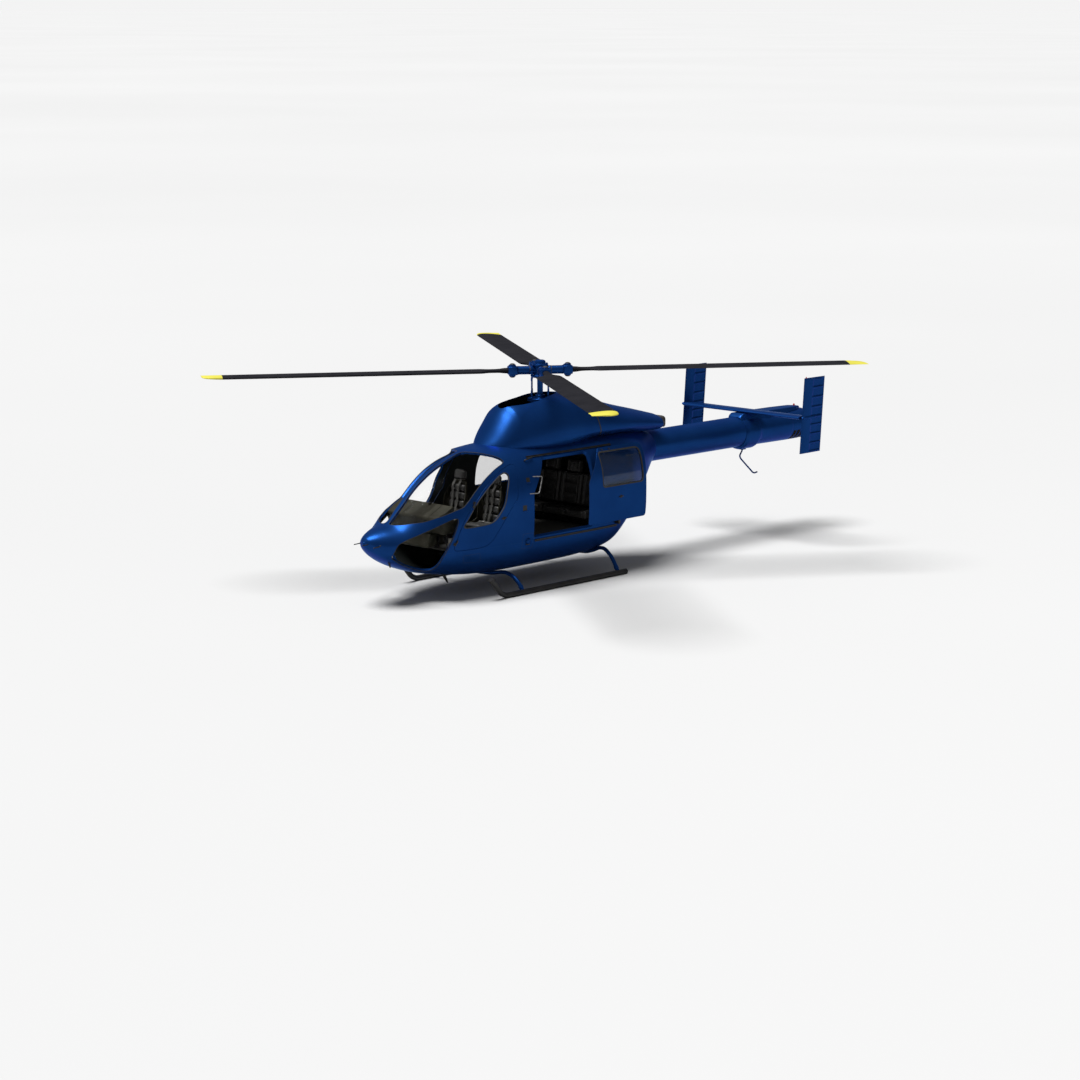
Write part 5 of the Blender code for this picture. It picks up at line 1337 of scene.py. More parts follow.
def blade_axes(k):
    """The directions out along blade k and across it, towards its leading edge."""
    a = FIRST_BLADE_ANGLE + math.pi / 2 * k
    return np.array([math.cos(a), math.sin(a), 0.0]), np.array([-math.sin(a), math.cos(a), 0.0])


def along_blade(k, points):
    """Points given as (out, across, height) turned to lie on blade k."""
    out, lead = blade_axes(k)
    p = np.asarray(points, float)
    return p[..., :1] * out + p[..., 1:2] * lead + p[..., 2:] * np.array([0.0, 0.0, 1.0])


print("blade directions, degrees:", [round(math.degrees(FIRST_BLADE_ANGLE) + 90 * k, 1) for k in range(4)])

# %% Hub, arms, forks and horns
hub_profile = np.concatenate([
    [(0.05, 3.06)], softened(0.125, 3.06, 3.098, 0.006)[1:-1],
    [(0.108, 3.106), (0.1, 3.13), (0.1, 3.215), (0.108, 3.236)],
    softened(0.125, 3.24, 3.275, 0.006)[1:-1],
    [(0.09, 3.275), (0.088, 3.281), (0.085, 3.3), (0.078, 3.318), (0.06, 3.328), (0.03, 3.331)],
])
# Arm case: (distance out, radius)
ARM_CASE = [
    (0.085, 0.06), (0.12, 0.064), (0.128, 0.068), (0.15, 0.068), (0.154, 0.065), (0.335, 0.065),
    (0.339, 0.068), (0.352, 0.068), (0.358, 0.062), (0.5, 0.056),
]


def arm_ring(out, radius, count=40):
    a = turn(count)
    return np.stack([np.full(count, out), radius * np.cos(a), ROTOR_HEIGHT + radius * np.sin(a)], 1)


def fork_ring(out, half, low, high, soft=0.016, count=6):
    """A rectangle with rounded corners, standing across the arm."""
    t = np.radians(np.linspace(0, 90, count))
    corners = [(1, 1, 0), (-1, 1, 90), (-1, -1, 180), (1, -1, 270)]
    ring = []
    for sy, sz, start in corners:
        y = sy * (half - soft) + soft * np.cos(t + math.radians(start))
        z = ((high - soft) if sz > 0 else (low + soft)) + soft * np.sin(t + math.radians(start))
        ring.append(np.stack([np.full(count, out), y, z], 1))
    return np.concatenate(ring)


hub_shapes = [turned(hub_profile, count=96)]
for k in range(4):
    case = tube(np.array([arm_ring(*row) for row in ARM_CASE]))
    fork_rows = [(0.35, 0.06, 3.122, 3.226), (0.362, 0.078, 3.11, 3.238), (0.374, 0.084, 3.108, 3.24),
                 (0.484, 0.084, 3.108, 3.24), (0.494, 0.08, 3.112, 3.236), (0.499, 0.072, 3.12, 3.228)]
    fork = tube(np.array([fork_ring(*row) for row in fork_rows]))
    drum = turned(softened(0.052, 3.085, 3.264, 0.005), (0.43, 0.0), 40)
    horn = block_shape((0.13, 0.0, 3.12), (0.17, 0.113, 3.165), 0.004)
    for points, faces in (case, fork, drum, horn):
        hub_shapes.append((along_blade(k, points), faces))
part("rotor_hub_forging", joined(hub_shapes), BLUE_LACQUER, "rotor", "rotor_hub")

# %% Dampers, bolts and links
dome_top = [(0.04, 3.258), (0.04, 3.268), (0.037, 3.275), (0.028, 3.281), (0.014, 3.284), (0.004, 3.2845)]
dome_under = [(r, 2 * ROTOR_HEIGHT - z) for r, z in dome_top]
dark, bright = [], []
for k in range(4):
    for profile in (dome_top, dome_under):
        points, faces = turned(profile, (0.43, 0.0), 32)
        dark.append((along_blade(k, points), faces))
    for across in (-0.068, 0.068):
        for out in (0.385, 0.47):
            points, faces = turned(softened(0.009, 3.236, 3.249, 0.002), (out, across), 6)
            bright.append((along_blade(k, points), faces))
    band = tube(np.array([arm_ring(out, r) for out, r in (
        (0.16, 0.0655), (0.16, 0.0675), (0.172, 0.0675), (0.172, 0.0655))]))
    dark.append((along_blade(k, band[0]), band[1]))
for angle in turn(8) + 0.2:
    bright.append(turned(softened(0.01, 3.272, 3.286, 0.002),
                         (0.107 * math.cos(angle), 0.107 * math.sin(angle)), 6))
part("rotor_dampers", joined(dark), SEAL_RUBBER, "rotor")
part("rotor_hub_bolts", joined(bright), BLUE_LACQUER, "rotor")

plate_profile = [
    (0.05, 2.702), (0.19, 2.7), (0.195, 2.704), (0.195, 2.716), (0.186, 2.72), (0.186, 2.726),
    (0.192, 2.73), (0.192, 2.741), (0.187, 2.745), (0.085, 2.745), (0.078, 2.752), (0.075, 2.79),
    (0.07, 2.796), (0.0455, 2.796), (0.0455, 2.704),
]
swash = [turned(plate_profile, count=72, closed=True)]
LINK_ALONG, LINK_ACROSS = 0.15, 0.095
ball = [
    (0.004, -0.016), (0.011, -0.013), (0.016, -0.006), (0.017, 0.0), (0.016, 0.006), (0.011, 0.013),
    (0.004, 0.016),
]
for k in range(4):
    foot = along_blade(k, [LINK_ALONG, LINK_ACROSS, 0.0])[:2]
    for profile in ([(0.009, 2.74), (0.009, 3.119)], [(0.013, 2.8), (0.013, 2.87)],
                    [(0.013, 3.02), (0.013, 3.07)]):
        swash.append(turned(profile, foot, 16))
    for height in (2.752, 3.1025):
        swash.append(turned([(rr, height + zz) for rr, zz in ball], foot, 20))
part("swashplate_and_links", joined(swash), BLUE_LACQUER, "rotor", "swashplate")
print("hub, dampers, swashplate and", 4, "links made")

# %% [markdown]
# ## Blades
#
# A blade is a wing section drawn out along its span. Near the hub it narrows to a flexible neck that
# is nearly round, which bends instead of a hinge. The outer end is rounded back to a point at the
# trailing edge and painted yellow, so that people see the disc when it turns.

# %% Blade surfaces
# Columns: distance from the mast, leading edge, trailing edge, thickness, roundness
BLADE_SECTIONS = np.array([
    (0.345, 0.055, -0.055, 0.09, 1.0), (0.5, 0.055, -0.055, 0.088, 1.0), (0.57, 0.055, -0.055, 0.08, 1.0),
    (0.64, 0.06, -0.06, 0.064, 0.8), (0.78, 0.07, -0.075, 0.06, 0.5), (0.94, 0.16, -0.25, 0.062, 0.0),
    (2.8, 0.16, -0.25, 0.06, 0.0), (4.85, 0.16, -0.25, 0.056, 0.0), (5.02, 0.14, -0.252, 0.042, 0.0),
    (5.12, 0.085, -0.256, 0.026, 0.0), (5.155, 0.01, -0.258, 0.012, 0.0),
])
BLADE_STATIONS = np.concatenate([
    np.linspace(0.345, 0.95, 46), np.linspace(0.97, 4.84, 60), np.linspace(4.85, 5.155, 36),
])


def blade_surface(k, count=48):
    """A wing section: at share b behind its leading edge, its half thickness follows
    2.969 √b − 1.260 b − 3.516 b² + 2.843 b³ − 1.036 b⁴. Towards the root it turns into an oval's |sin|."""
    columns = columns_at(BLADE_SECTIONS, BLADE_STATIONS)
    lead, trail, thick, round_share = (column[:, None] for column in columns)
    a = turn(count)
    share = (1 + np.cos(a)) / 2
    b = 1 - share
    wing = np.maximum(2.969 * np.sqrt(b) - 1.26 * b - 3.516 * b**2 + 2.843 * b**3 - 1.036 * b**4,
                      0.05 * (b > 0.5))
    bulge = (1 - round_share) * wing + round_share * np.abs(np.sin(a))
    z = ROTOR_HEIGHT + thick / 2 * bulge * np.sign(np.round(np.sin(a), 9))
    across = trail + (lead - trail) * share
    out = np.repeat(BLADE_STATIONS[:, None], count, 1)
    return along_blade(k, np.stack([out, across, z], -1))


for k in range(4):
    part(f"rotor_blade_{k + 1}_skin", tube(blade_surface(k)), BLADE_SKIN, "rotor", f"rotor_blade_{k + 1}", 50)
print("each blade is a grid of", len(BLADE_STATIONS), "by 48 points")

# %% [markdown]
# ## Tail boom and tail section
#
# There is no tail rotor. Air from a fan inside the boom leaves through slots and through a nozzle in
# the end can, which turns about the boom's axis to steer. So the boom is a plain tube, then a collar,
# then a slightly larger tail section, and at the end the can with its louvres.

# %% Boom, collar and tail section
BOOM_HEIGHT, BOOM_RADIUS, TAIL_WALL = 1.73, 0.25, 0.012
POD_END, COLLAR_START = 2.4, 4.64
BORE = BOOM_RADIUS - TAIL_WALL


def boom_ring(x, radius, count=96):
    return oval_ring(x, 0.0, BOOM_HEIGHT, (radius, radius), 2.0, count)


boom_rows = [(x, BOOM_RADIUS) for x in np.linspace(POD_END + SEAT, COLLAR_START - SEAT, 46)]
boom_rows += [(x, BORE) for x in np.linspace(COLLAR_START - SEAT, POD_END + SEAT, 6)]
part("tail_boom_tube", tube(np.array([boom_ring(*row) for row in boom_rows]), closed=True), BLUE_LACQUER,
     stands_for="tail_boom")

# Columns: station, bottom, top, half width
TAIL_SECTIONS = np.array([
    (4.64, 1.466, 1.983, 0.254), (4.67, 1.444, 1.988, 0.262), (4.71, 1.432, 1.992, 0.268),
    (4.96, 1.43, 1.992, 0.268), (5.0, 1.44, 1.99, 0.264), (5.034, 1.474, 1.984, 0.256),
    (5.4, 1.47, 1.99, 0.26), (5.844, 1.466, 1.994, 0.264), (5.85, 1.468, 1.992, 0.262),
])
tail_stations = np.concatenate([
    np.linspace(4.64, 4.715, 8), np.linspace(4.75, 4.94, 4), np.linspace(4.96, 5.034, 8),
    np.linspace(5.09, 5.8, 12), [5.844, 5.85],
])
low, high, half = (np.interp(tail_stations, TAIL_SECTIONS[:, 0], TAIL_SECTIONS[:, j]) for j in (1, 2, 3))
tail_rings = [oval_ring(x, 0.0, (b + t) / 2, (w, (t - b) / 2), 2.0, 96)
              for x, b, t, w in zip(tail_stations, low, high, half)]
tail_rings += [boom_ring(x, BORE) for x in (5.85, 5.4, 5.0, 4.64)]
part("tail_section_skin", tube(np.array(tail_rings), closed=True), BLUE_LACQUER, stands_for="tail_section",
     angle=28)
print("tail section from", tail_stations[0], "to", tail_stations[-1])

# %% Turning can and its louvres
CAN_ROWS = np.array([
    (5.8503, 0.262), (5.856, 0.264), (6.15, 0.262), (6.35, 0.235), (6.43, 0.17), (6.45, 0.11),
])
can_stations = np.concatenate([[5.8503, 5.856], np.linspace(5.88, 6.44, 50), [6.45]])
can_rings = [boom_ring(x, r) for x, r in zip(can_stations, *columns_at(CAN_ROWS, can_stations))]
can_inner = [boom_ring(x, r) for x, r in (
    (6.32, 0.15), (6.3, 0.205), (6.2, 0.232), (6.1, BORE), (5.8503, BORE))]
can = raw("jet_can_skin", *tube(np.array(can_rings[::-1] + can_inner[::-1])))
SLOTS = [(5.872, 5.952), (5.97, 6.05), (6.068, 6.148), (6.166, 6.24)]
slot_tools = [("DIFFERENCE", tool(f"slot_{k}", *block_shape((x0, -0.4, 1.49), (x1, -0.05, 1.65))))
              for k, (x0, x1) in enumerate(SLOTS)]
cut(can, *slot_tools)
dress(shade(can, 28), BLUE_LACQUER, "tail_jet", "jet_can")
tidy_tools()


def vane(x, lean, low=1.488, high=1.652, thick=0.003):
    """A thin curved plate across a slot; it leans aft as it leaves the can."""
    z = np.linspace(low, high, 12)
    outside = -np.sqrt(np.maximum(0.262**2 - (z - BOOM_HEIGHT) ** 2, 0.0))
    reach = np.linspace(-0.004, 0.055, 8)
    y = outside[:, None] + reach[None, :]
    shape = x + lean * np.cos(reach / 0.055 * np.pi / 2)[None, :] + 0 * y
    face = np.stack([shape, y, z[:, None] + 0 * y], -1)
    return thick_sheet(face - (thick / 2, 0, 0), face + (thick / 2, 0, 0))


vanes = [vane(x0 + share * (x1 - x0), 0.02) for x0, x1 in SLOTS for share in (0.28, 0.62)]
part("jet_can_vanes", joined(vanes), SATIN_BLACK, "tail_jet")
liner_rings = [boom_ring(x, r, 48) for x, r in (
    (5.88, 0.205), (6.2, 0.2), (6.27, 0.17), (6.27, 0.166), (6.2, 0.196), (5.88, 0.201))]
part("jet_can_liner", tube(np.array(liner_rings), closed=True), SATIN_BLACK, "tail_jet")
print("louvres:", len(vanes), "vanes in", len(SLOTS), "slots")

# %% [markdown]
# The fairing on top carries the stabiliser, and runs aft over the can without touching it. It is a
# faceted box with softened upper edges, widening at its foot to meet the tail.

# %% Tail fairing
# Columns: station, half width, top
RIDGE = np.array([
    (4.615, 0.124, 1.984), (4.64, 0.132, 2.01), (4.69, 0.135, 2.036), (5.08, 0.135, 2.036),
    (5.25, 0.15, 2.034), (5.7, 0.14, 2.032), (6.1, 0.11, 2.028), (6.22, 0.07, 2.02),
])
RIDGE_FOOT, FOOT_SPREAD, CAN_CLEAR = 1.86, 1.35, 0.006
ridge_stations = np.concatenate([
    np.linspace(4.615, 4.69, 6), np.linspace(4.73, 6.1, 30), np.linspace(6.12, 6.22, 8),
])
half, top = (np.interp(ridge_stations, RIDGE[:, 0], column) for column in RIDGE.T[1:])
soft = np.minimum(0.5 * half, 0.03)
# Half a section, from its foot to its middle: shares of width, of corner softness and of height
side_y = np.stack([half * FOOT_SPREAD, half * 1.17, half, half - 0.12 * soft, half - 0.5 * soft,
                   half - soft, half * 0.5], 1)
side_z = np.stack([RIDGE_FOOT + 0 * top, (RIDGE_FOOT + top - 0.5 * soft) / 2, top - 0.5 * soft,
                   top - 0.22 * soft, top - 0.05 * soft, top, top], 1)
ridge_y = np.concatenate([-side_y, side_y[:, ::-1]], 1)
ridge_z = np.concatenate([side_z, side_z[:, ::-1]], 1)
ridge_grid = np.stack([np.repeat(ridge_stations[:, None], ridge_y.shape[1], 1), ridge_y, ridge_z], -1)
ridge = raw("tail_fairing_skin", *tube(ridge_grid))
under = [oval_ring(x, 0.0, (b + t) / 2, (w + SEAT, (t - b) / 2 + SEAT), 2.0, 96)
         for x, b, t, w in TAIL_SECTIONS]
under = [oval_ring(x, 0.0, 1.705, (0.268, 0.2753), 2.0, 96)
         for x in (POD_END, COLLAR_START - 0.0001)] + under[1:-1]
under += [boom_ring(x, 0.264 + CAN_CLEAR) for x in (5.851, 6.6)]
cut(ridge, ("DIFFERENCE", tool("tail_grown", *tube(np.array(under)))))
dress(shade(ridge, 20), BLUE_LACQUER, stands_for="tail_fairing")
tidy_tools()
print("fairing:", len(ridge.data.polygons), "faces")

# %% [markdown]
# ## Stabiliser and fins
#
# The stabiliser is a small wing with an upright fin at each end. The rear half of each fin is
# stiffened with pressed ribs: shallow bays between flat bars, a cheap way to keep thin skin from
# shaking. A narrow fairing covers the joint with the stabiliser.

# %% Stabiliser
STABILISER_Z, STABILISER_HALF_SPAN, STABILISER_THICK = 2.0643, 1.2457, 0.056
STABILISER_FRONT, STABILISER_BACK = 4.745, 5.075


def wing_outline(count=24):
    """Shares of the chord and of the thickness round a wing section with a blunt trailing edge."""
    knots = [0.0, 0.02, 0.06, 0.13, 0.22, 0.35, 0.5, 0.75, 1.0]
    swell = [0.0, 0.2, 0.34, 0.45, 0.5, 0.48, 0.42, 0.27, 0.1]
    c = (1 - np.cos(np.linspace(0, np.pi, count))) / 2
    t = steady(np.array(knots), np.array(swell), c)
    return np.concatenate([c, c[:0:-1]]), np.concatenate([t, -t[:0:-1]])


chord_share, thick_share = wing_outline()
span = np.concatenate([-STABILISER_HALF_SPAN + np.array([0.0, 0.004]), np.linspace(-1.2, 1.2, 41),
                       STABILISER_HALF_SPAN - np.array([0.004, 0.0])])
wing_x = STABILISER_FRONT + (STABILISER_BACK - STABILISER_FRONT) * chord_share
wing_z = STABILISER_Z + STABILISER_THICK * thick_share
wing_grid = np.stack(np.broadcast_arrays(wing_x[None, :], span[:, None], wing_z[None, :]), -1)
part("stabiliser_skin", tube(wing_grid), BLUE_LACQUER, stands_for="stabiliser")
print("stabiliser span:", 2 * STABILISER_HALF_SPAN)

# %% Ribbed fins
FIN_Y, FIN_THICK, FIN_CHORD = 1.271, 0.05, 0.52
FIN_BOTTOM, FIN_TOP, FIN_LEAD, FIN_SWEEP = 1.479, 2.708, 4.808, math.tan(math.radians(4.52))
FIN_RIBS = np.array([1.5, 1.64, 1.79, 1.935, 2.065, 2.225, 2.385, 2.545, 2.69])
RIB_HALF, RIB_PROUD, BAY_DEPTH = 0.012, 0.006, 0.01


def step_up(value, start, width):
    """0 below start, 1 above start + width, with an easy slope between."""
    s = np.clip((value - start) / width, 0.0, 1.0)
    return s * s * (3 - 2 * s)


def fin_grid(side):
    """Rows go up and columns run round the section. In the bays the half thickness loses BAY_DEPTH."""
    heights = np.unique(np.concatenate([np.linspace(FIN_BOTTOM + 0.008, FIN_TOP - 0.008, 60)] + [
        FIN_RIBS + d for d in (-0.026, -0.021, -0.016, -0.008, 0.008, 0.016, 0.021, 0.026)]))
    heights = heights[(heights > FIN_BOTTOM + 0.006) & (heights < FIN_TOP - 0.006)]
    heights = heights[np.diff(heights, prepend=-1) > 0.003]
    rows = [(FIN_BOTTOM, 0.55), (FIN_BOTTOM + 0.003, 0.88)] + [(z, 1.0) for z in heights]
    rows += [(FIN_TOP - 0.003, 0.88), (FIN_TOP, 0.55)]
    z, scale = np.array(rows).T
    c, t = chord_share[None, :], thick_share[None, :]
    near_rib = np.abs(z[:, None] - FIN_RIBS[None, :]).min(1)
    edges = step_up(z, FIN_BOTTOM + 0.02, 0.01) * (1 - step_up(z, FIN_TOP - 0.03, 0.01))
    bay = ((step_up(near_rib, RIB_HALF, 0.01) * edges)[:, None]
           * step_up(c, 0.4, 0.04) * (1 - step_up(c, 0.93, 0.05)))
    thick = FIN_THICK * t * scale[:, None]
    bar = ((1 - step_up(near_rib, 0.5 * RIB_HALF, 0.7 * RIB_HALF))[:, None]
           * step_up(c, 0.41, 0.03) * (1 - step_up(c, 0.92, 0.05)))
    dip = ((np.minimum(BAY_DEPTH, np.abs(thick) * 0.8) * bay - RIB_PROUD * bar * edges[:, None])
           * np.sign(thick))
    x = FIN_LEAD + FIN_SWEEP * (z[:, None] - STABILISER_Z) + FIN_CHORD * c
    return np.stack([x, side * FIN_Y + thick - dip, np.repeat(z[:, None], c.shape[1], 1)], -1)


def joint_fairing(side, count=24):
    """A slim pointed strip on the fin's outer face at the stabiliser's height."""
    s = np.linspace(0.0, 1.0, 26)
    swell = np.sqrt(np.clip(1 - (1 - s / 0.12).clip(0) ** 2, 0.02, 1)) * (1 - step_up(s, 0.75, 0.25) * 0.85)
    a = turn(count)
    x = 4.785 + 0.395 * s
    y = side * (FIN_Y + 0.018 + 0.028 * swell[:, None] * np.cos(a))
    z = STABILISER_Z + 0.002 + 0.024 * swell[:, None] * np.sin(a)
    return tube(np.stack([np.repeat(x[:, None], count, 1), y, z], -1))


print("bays between", len(FIN_RIBS), "ribs on each fin")

# %% Fins in place
chord_share, thick_share = wing_outline(46)  # finer than the stabiliser's
for side_name, side in SIDES:
    part(f"fin_{side_name}_skin", tube(fin_grid(side)), BLUE_LACQUER, stands_for="fin_" + side_name, angle=50)
    part(f"fin_{side_name}_joint_fairing", joint_fairing(side), BLUE_LACQUER)
print("fin ribs at heights", FIN_RIBS.tolist())

# %% [markdown]
# ## Tail skid, landing skids and cross tubes
#
# A bent rod under the tail keeps it off the ground. The machine rests on two straight tubes turned up
# at the front, joined by two bowed cross tubes that flex on landing. Clamps hold the tubes together.


# %% Bent tubes
def pipe(path, radius, across, bend=0.06, count=28, steps=8, cap=0.003):
    """A round tube along a path in one plane, whose corners are parabolas:
    (1 − t)² p + 2t (1 − t) q + t² r from just before a corner q to just after it."""
    p = np.asarray(path, float)
    corner, before, after = p[1:-1], p[:-2] - p[1:-1], p[2:] - p[1:-1]
    reach = np.minimum(bend, 0.45 * np.minimum(np.linalg.norm(before, axis=1),
        np.linalg.norm(after, axis=1)))[:, None]
    start = corner + before / np.linalg.norm(before, axis=1, keepdims=True) * reach
    end = corner + after / np.linalg.norm(after, axis=1, keepdims=True) * reach
    t = np.linspace(0, 1, steps)[None, :, None]
    curve = (1 - t) ** 2 * start[:, None] + 2 * t * (1 - t) * corner[:, None] + t**2 * end[:, None]
    line = np.concatenate([p[:1], curve.reshape(-1, 3), p[-1:]])
    along = np.gradient(line, axis=0)
    along[0], along[-1] = line[1] - line[0], line[-1] - line[-2]
    along /= np.linalg.norm(along, axis=1, keepdims=True)
    across = unit(across)
    up = np.cross(along, across)
    a = turn(count)
    spokes = np.cos(a)[None, :, None] * across + np.sin(a)[None, :, None] * up[:, None]
    rings = line[:, None] + radius * spokes
    first = line[0] + (radius - cap) * spokes[0]
    last = line[-1] + (radius - cap) * spokes[-1]
    rings[0] += along[0] * cap
    rings[-1] -= along[-1] * cap
    return tube(np.concatenate([first[None], rings, last[None]]))


TAIL_SKID_PATH = [(4.827, 0, 1.4297), (4.827, 0, 1.395), (4.765, 0, 1.32), (4.79, 0, 1.27), (5.11, 0, 1.0),
                  (5.15, 0, 0.985), (5.225, 0, 0.995)]
part("tail_skid_rod", pipe(TAIL_SKID_PATH, 0.013, (0, 1, 0), 0.05), BLUE_LACQUER, stands_for="tail_skid")
foot_plate = block_shape((4.78, -0.045, 1.418), (4.88, 0.045, 1.431), 0.004)
part("tail_skid_foot", foot_plate, BLUE_LACQUER)

SKID_TRACK, SKID_RADIUS = 1.928, 0.043
SKID_Z = SKID_RADIUS * math.cos(math.pi / 12)
SKID_PATH = [(-2.045, 0.33), (-1.835, 0.085), (-1.735, SKID_Z), (0.92, SKID_Z)]
for side_name, side in SIDES:
    path = [(x, side * SKID_TRACK / 2, z) for x, z in SKID_PATH]
    part(f"skid_{side_name}_tube", pipe(path, SKID_Z, (0, 1, 0), 0.12), SATIN_BLACK,
         stands_for="skid_" + side_name)

# %% Cross tubes and clamps
CROSS_TUBES = {
    "cross_tube_front": (-1.37, [
        (0.0, 0.2255), (0.273, 0.239), (0.4, 0.262), (0.5, 0.285), (0.61, 0.293), (0.7, 0.274),
        (0.801, 0.231), (0.884, 0.166), (0.955, 0.07),
    ]),
    "cross_tube_rear": (0.735, [
        (0.0, 0.265), (0.3, 0.285), (0.45, 0.33), (0.56, 0.382), (0.65, 0.388), (0.72, 0.36),
        (0.817, 0.281), (0.885, 0.19), (0.955, 0.07),
    ]),
}
skid_plugs = [tool(f"skid_{k}", *rod_shape(
    (-1.6, side * SKID_TRACK / 2, SKID_Z), (0.9, side * SKID_TRACK / 2, SKID_Z), SKID_RADIUS + SEAT))
              for k, side in enumerate((PORT, STARBOARD))]
belly_plug = pod_plug("belly")
for name, (x, half_path) in CROSS_TUBES.items():
    path = [(x, -y, z) for y, z in half_path[:0:-1]] + [(x, y, z) for y, z in half_path]
    bow = raw(name + "_tube", *pipe(path, 0.03, (1, 0, 0), 0.05))
    cut(bow, ("DIFFERENCE", belly_plug), *[("DIFFERENCE", plug) for plug in skid_plugs])
    dress(shade(bow), BLUE_LACQUER, stands_for=name)
    for side_name, side in SIDES:
        upper, lower = np.array(half_path[-2]), np.array(half_path[-1])
        low_end = lower + (upper - lower) * 0.22
        high_end = lower + (upper - lower) * 0.62
        collar = rod_shape((x, side * low_end[0], low_end[1]), (x, side * high_end[0], high_end[1]), 0.036,
                           28, 0.004)
        part(f"{name}_{side_name}_clamp", collar, BLUE_LACQUER)
tidy_tools()
print("skids and cross tubes made")

# %% [markdown]
# ## Cabin floor and bulkhead
#
# The floor is a flat honeycomb board with a carpet, cut to the curve of the walls. At its back a
# bulkhead closes the cabin off. Both are trimmed by the same inner surface as the walls.

# %% Floor and bulkhead
FLOOR_Z, FLOOR_THICK = 0.7455, 0.025
FLOOR_TOP = FLOOR_Z + FLOOR_THICK + SEAT
inner_stations = np.linspace(-3.35, 2.2, 200)
cabin_space = pod_plug("cabin", -WALL - 0.0005, inner_stations)
for name, low, high, node, finish in (
    ("cabin_floor_board", (-2.48, -1.0, FLOOR_Z), (0.995, 1.0, FLOOR_TOP - SEAT), "cabin_floor",
     CABIN_CARPET),
    ("aft_bulkhead_panel", (0.96, -1.0, FLOOR_TOP), (0.985, 1.0, 2.3), "aft_bulkhead", WALL_LINING),
):
    board = raw(name, *block_shape(low, high))
    cut(board, ("INTERSECT", cabin_space))
    dress(shade(board), finish, stands_for=node)
print("floor top at", round(FLOOR_TOP, 4))

# %% [markdown]
# ## Instrument panel and console
#
# Under the windshield sits the instrument panel. Its shell is one moulding in dull olive plastic: a
# hood on top with pressed grooves keeps the sun off, and the face below it is dark and holds the
# screens. A pedestal with rounded edges runs down from it to the floor.


# %% Blocks with rounded edges
def rounded_corners(outline, radius, steps=5):
    """Each corner of a closed outline replaced by a parabola from just before it to just after it."""
    p = np.asarray(outline, float)
    before, after = np.roll(p, 1, axis=0) - p, np.roll(p, -1, axis=0) - p
    long_before, long_after = np.linalg.norm(before, axis=1), np.linalg.norm(after, axis=1)
    reach = np.minimum(radius, 0.45 * np.minimum(long_before, long_after))[:, None]
    start, end = p + before / long_before[:, None] * reach, p + after / long_after[:, None] * reach
    t = np.linspace(0, 1, steps)[None, :, None]
    return ((1 - t) ** 2 * start[:, None] + 2 * t * (1 - t) * p[:, None] + t**2 * end[:, None]).reshape(-1, 2)


def side_block(outline, low, high, radius=0.012, edge=0.008):
    """A side view drawn out across the machine, with rounded corners and rounded ends."""
    loop = rounded_corners(outline, radius)
    middle = loop.mean(0)
    size = np.linalg.norm(loop - middle, axis=1).mean()
    rows = [(low, 1.0), (low + 0.3 * edge, 0.35), (low + edge, 0.0), (high - edge, 0.0),
            (high - 0.3 * edge, 0.35), (high, 1.0)]
    rings = []
    for y, share in rows:
        at = middle + (loop - middle) * (1 - share * edge / size)
        rings.append(np.stack([at[:, 0], np.full(len(at), y), at[:, 1]], 1))
    return tube(np.array(rings))


print("a rounded square block has", len(side_block([(0, 0), (0, 1), (1, 1), (1, 0)], 0, 1)[0]), "points")

# %% Panel hood, face and screens
PANEL_SIDE = [(-2.73, 1.23), (-2.72, 1.27), (-2.42, 1.42), (-2.39, 1.4), (-2.4, 1.02), (-2.64, 1.02)]
hood = raw("instrument_hood", *side_block(PANEL_SIDE, -0.56, 0.56, 0.02, 0.02))
face_pocket = tool("pocket", *block_shape((-2.425, -0.52, 1.035), (-2.3, 0.52, 1.375)))
groove_tools = []
for y in (-0.345, -0.215, -0.18, 0.18, 0.215, 0.345):
    groove = side_block([(-2.76, 1.262), (-2.725, 1.2755), (-2.41, 1.433), (-2.41, 1.418),
                         (-2.72, 1.2615)], y - 0.004, y + 0.004, 0.002, 0.001)
    groove_tools.append(("DIFFERENCE", tool("groove", *groove)))
cut(hood, ("DIFFERENCE", face_pocket), *groove_tools, ("INTERSECT", cabin_space))
dress(shade(hood), MOULDED_PLASTIC, stands_for="instrument_panel")
bezel = side_block([(-2.43, 1.04), (-2.43, 1.37), (-2.418, 1.37), (-2.418, 1.04)], -0.515, 0.515, 0.003,
                   0.003)
part("instrument_face", bezel, SATIN_BLACK)
screens, frames, knobs = [], [], []
for y in (-0.385, -0.13, 0.13, 0.385):
    screens.append(block_shape((-2.419, y - 0.095, 1.165), (-2.4145, y + 0.095, 1.34), 0.002))
    frames.append(block_shape((-2.418, y - 0.108, 1.152), (-2.4165, y + 0.108, 1.353), 0.001))
    for dy in (-0.06, -0.02, 0.02, 0.06):
        knobs.append(rod_shape((-2.418, y + dy, 1.11), (-2.404, y + dy, 1.11), 0.009, 20, 0.002))
part("instrument_screens", joined(screens), SCREEN_GLASS)
part("instrument_bezels", joined(frames + knobs), MOULDED_PLASTIC)
print("screens:", len(screens), "knobs:", len(knobs))

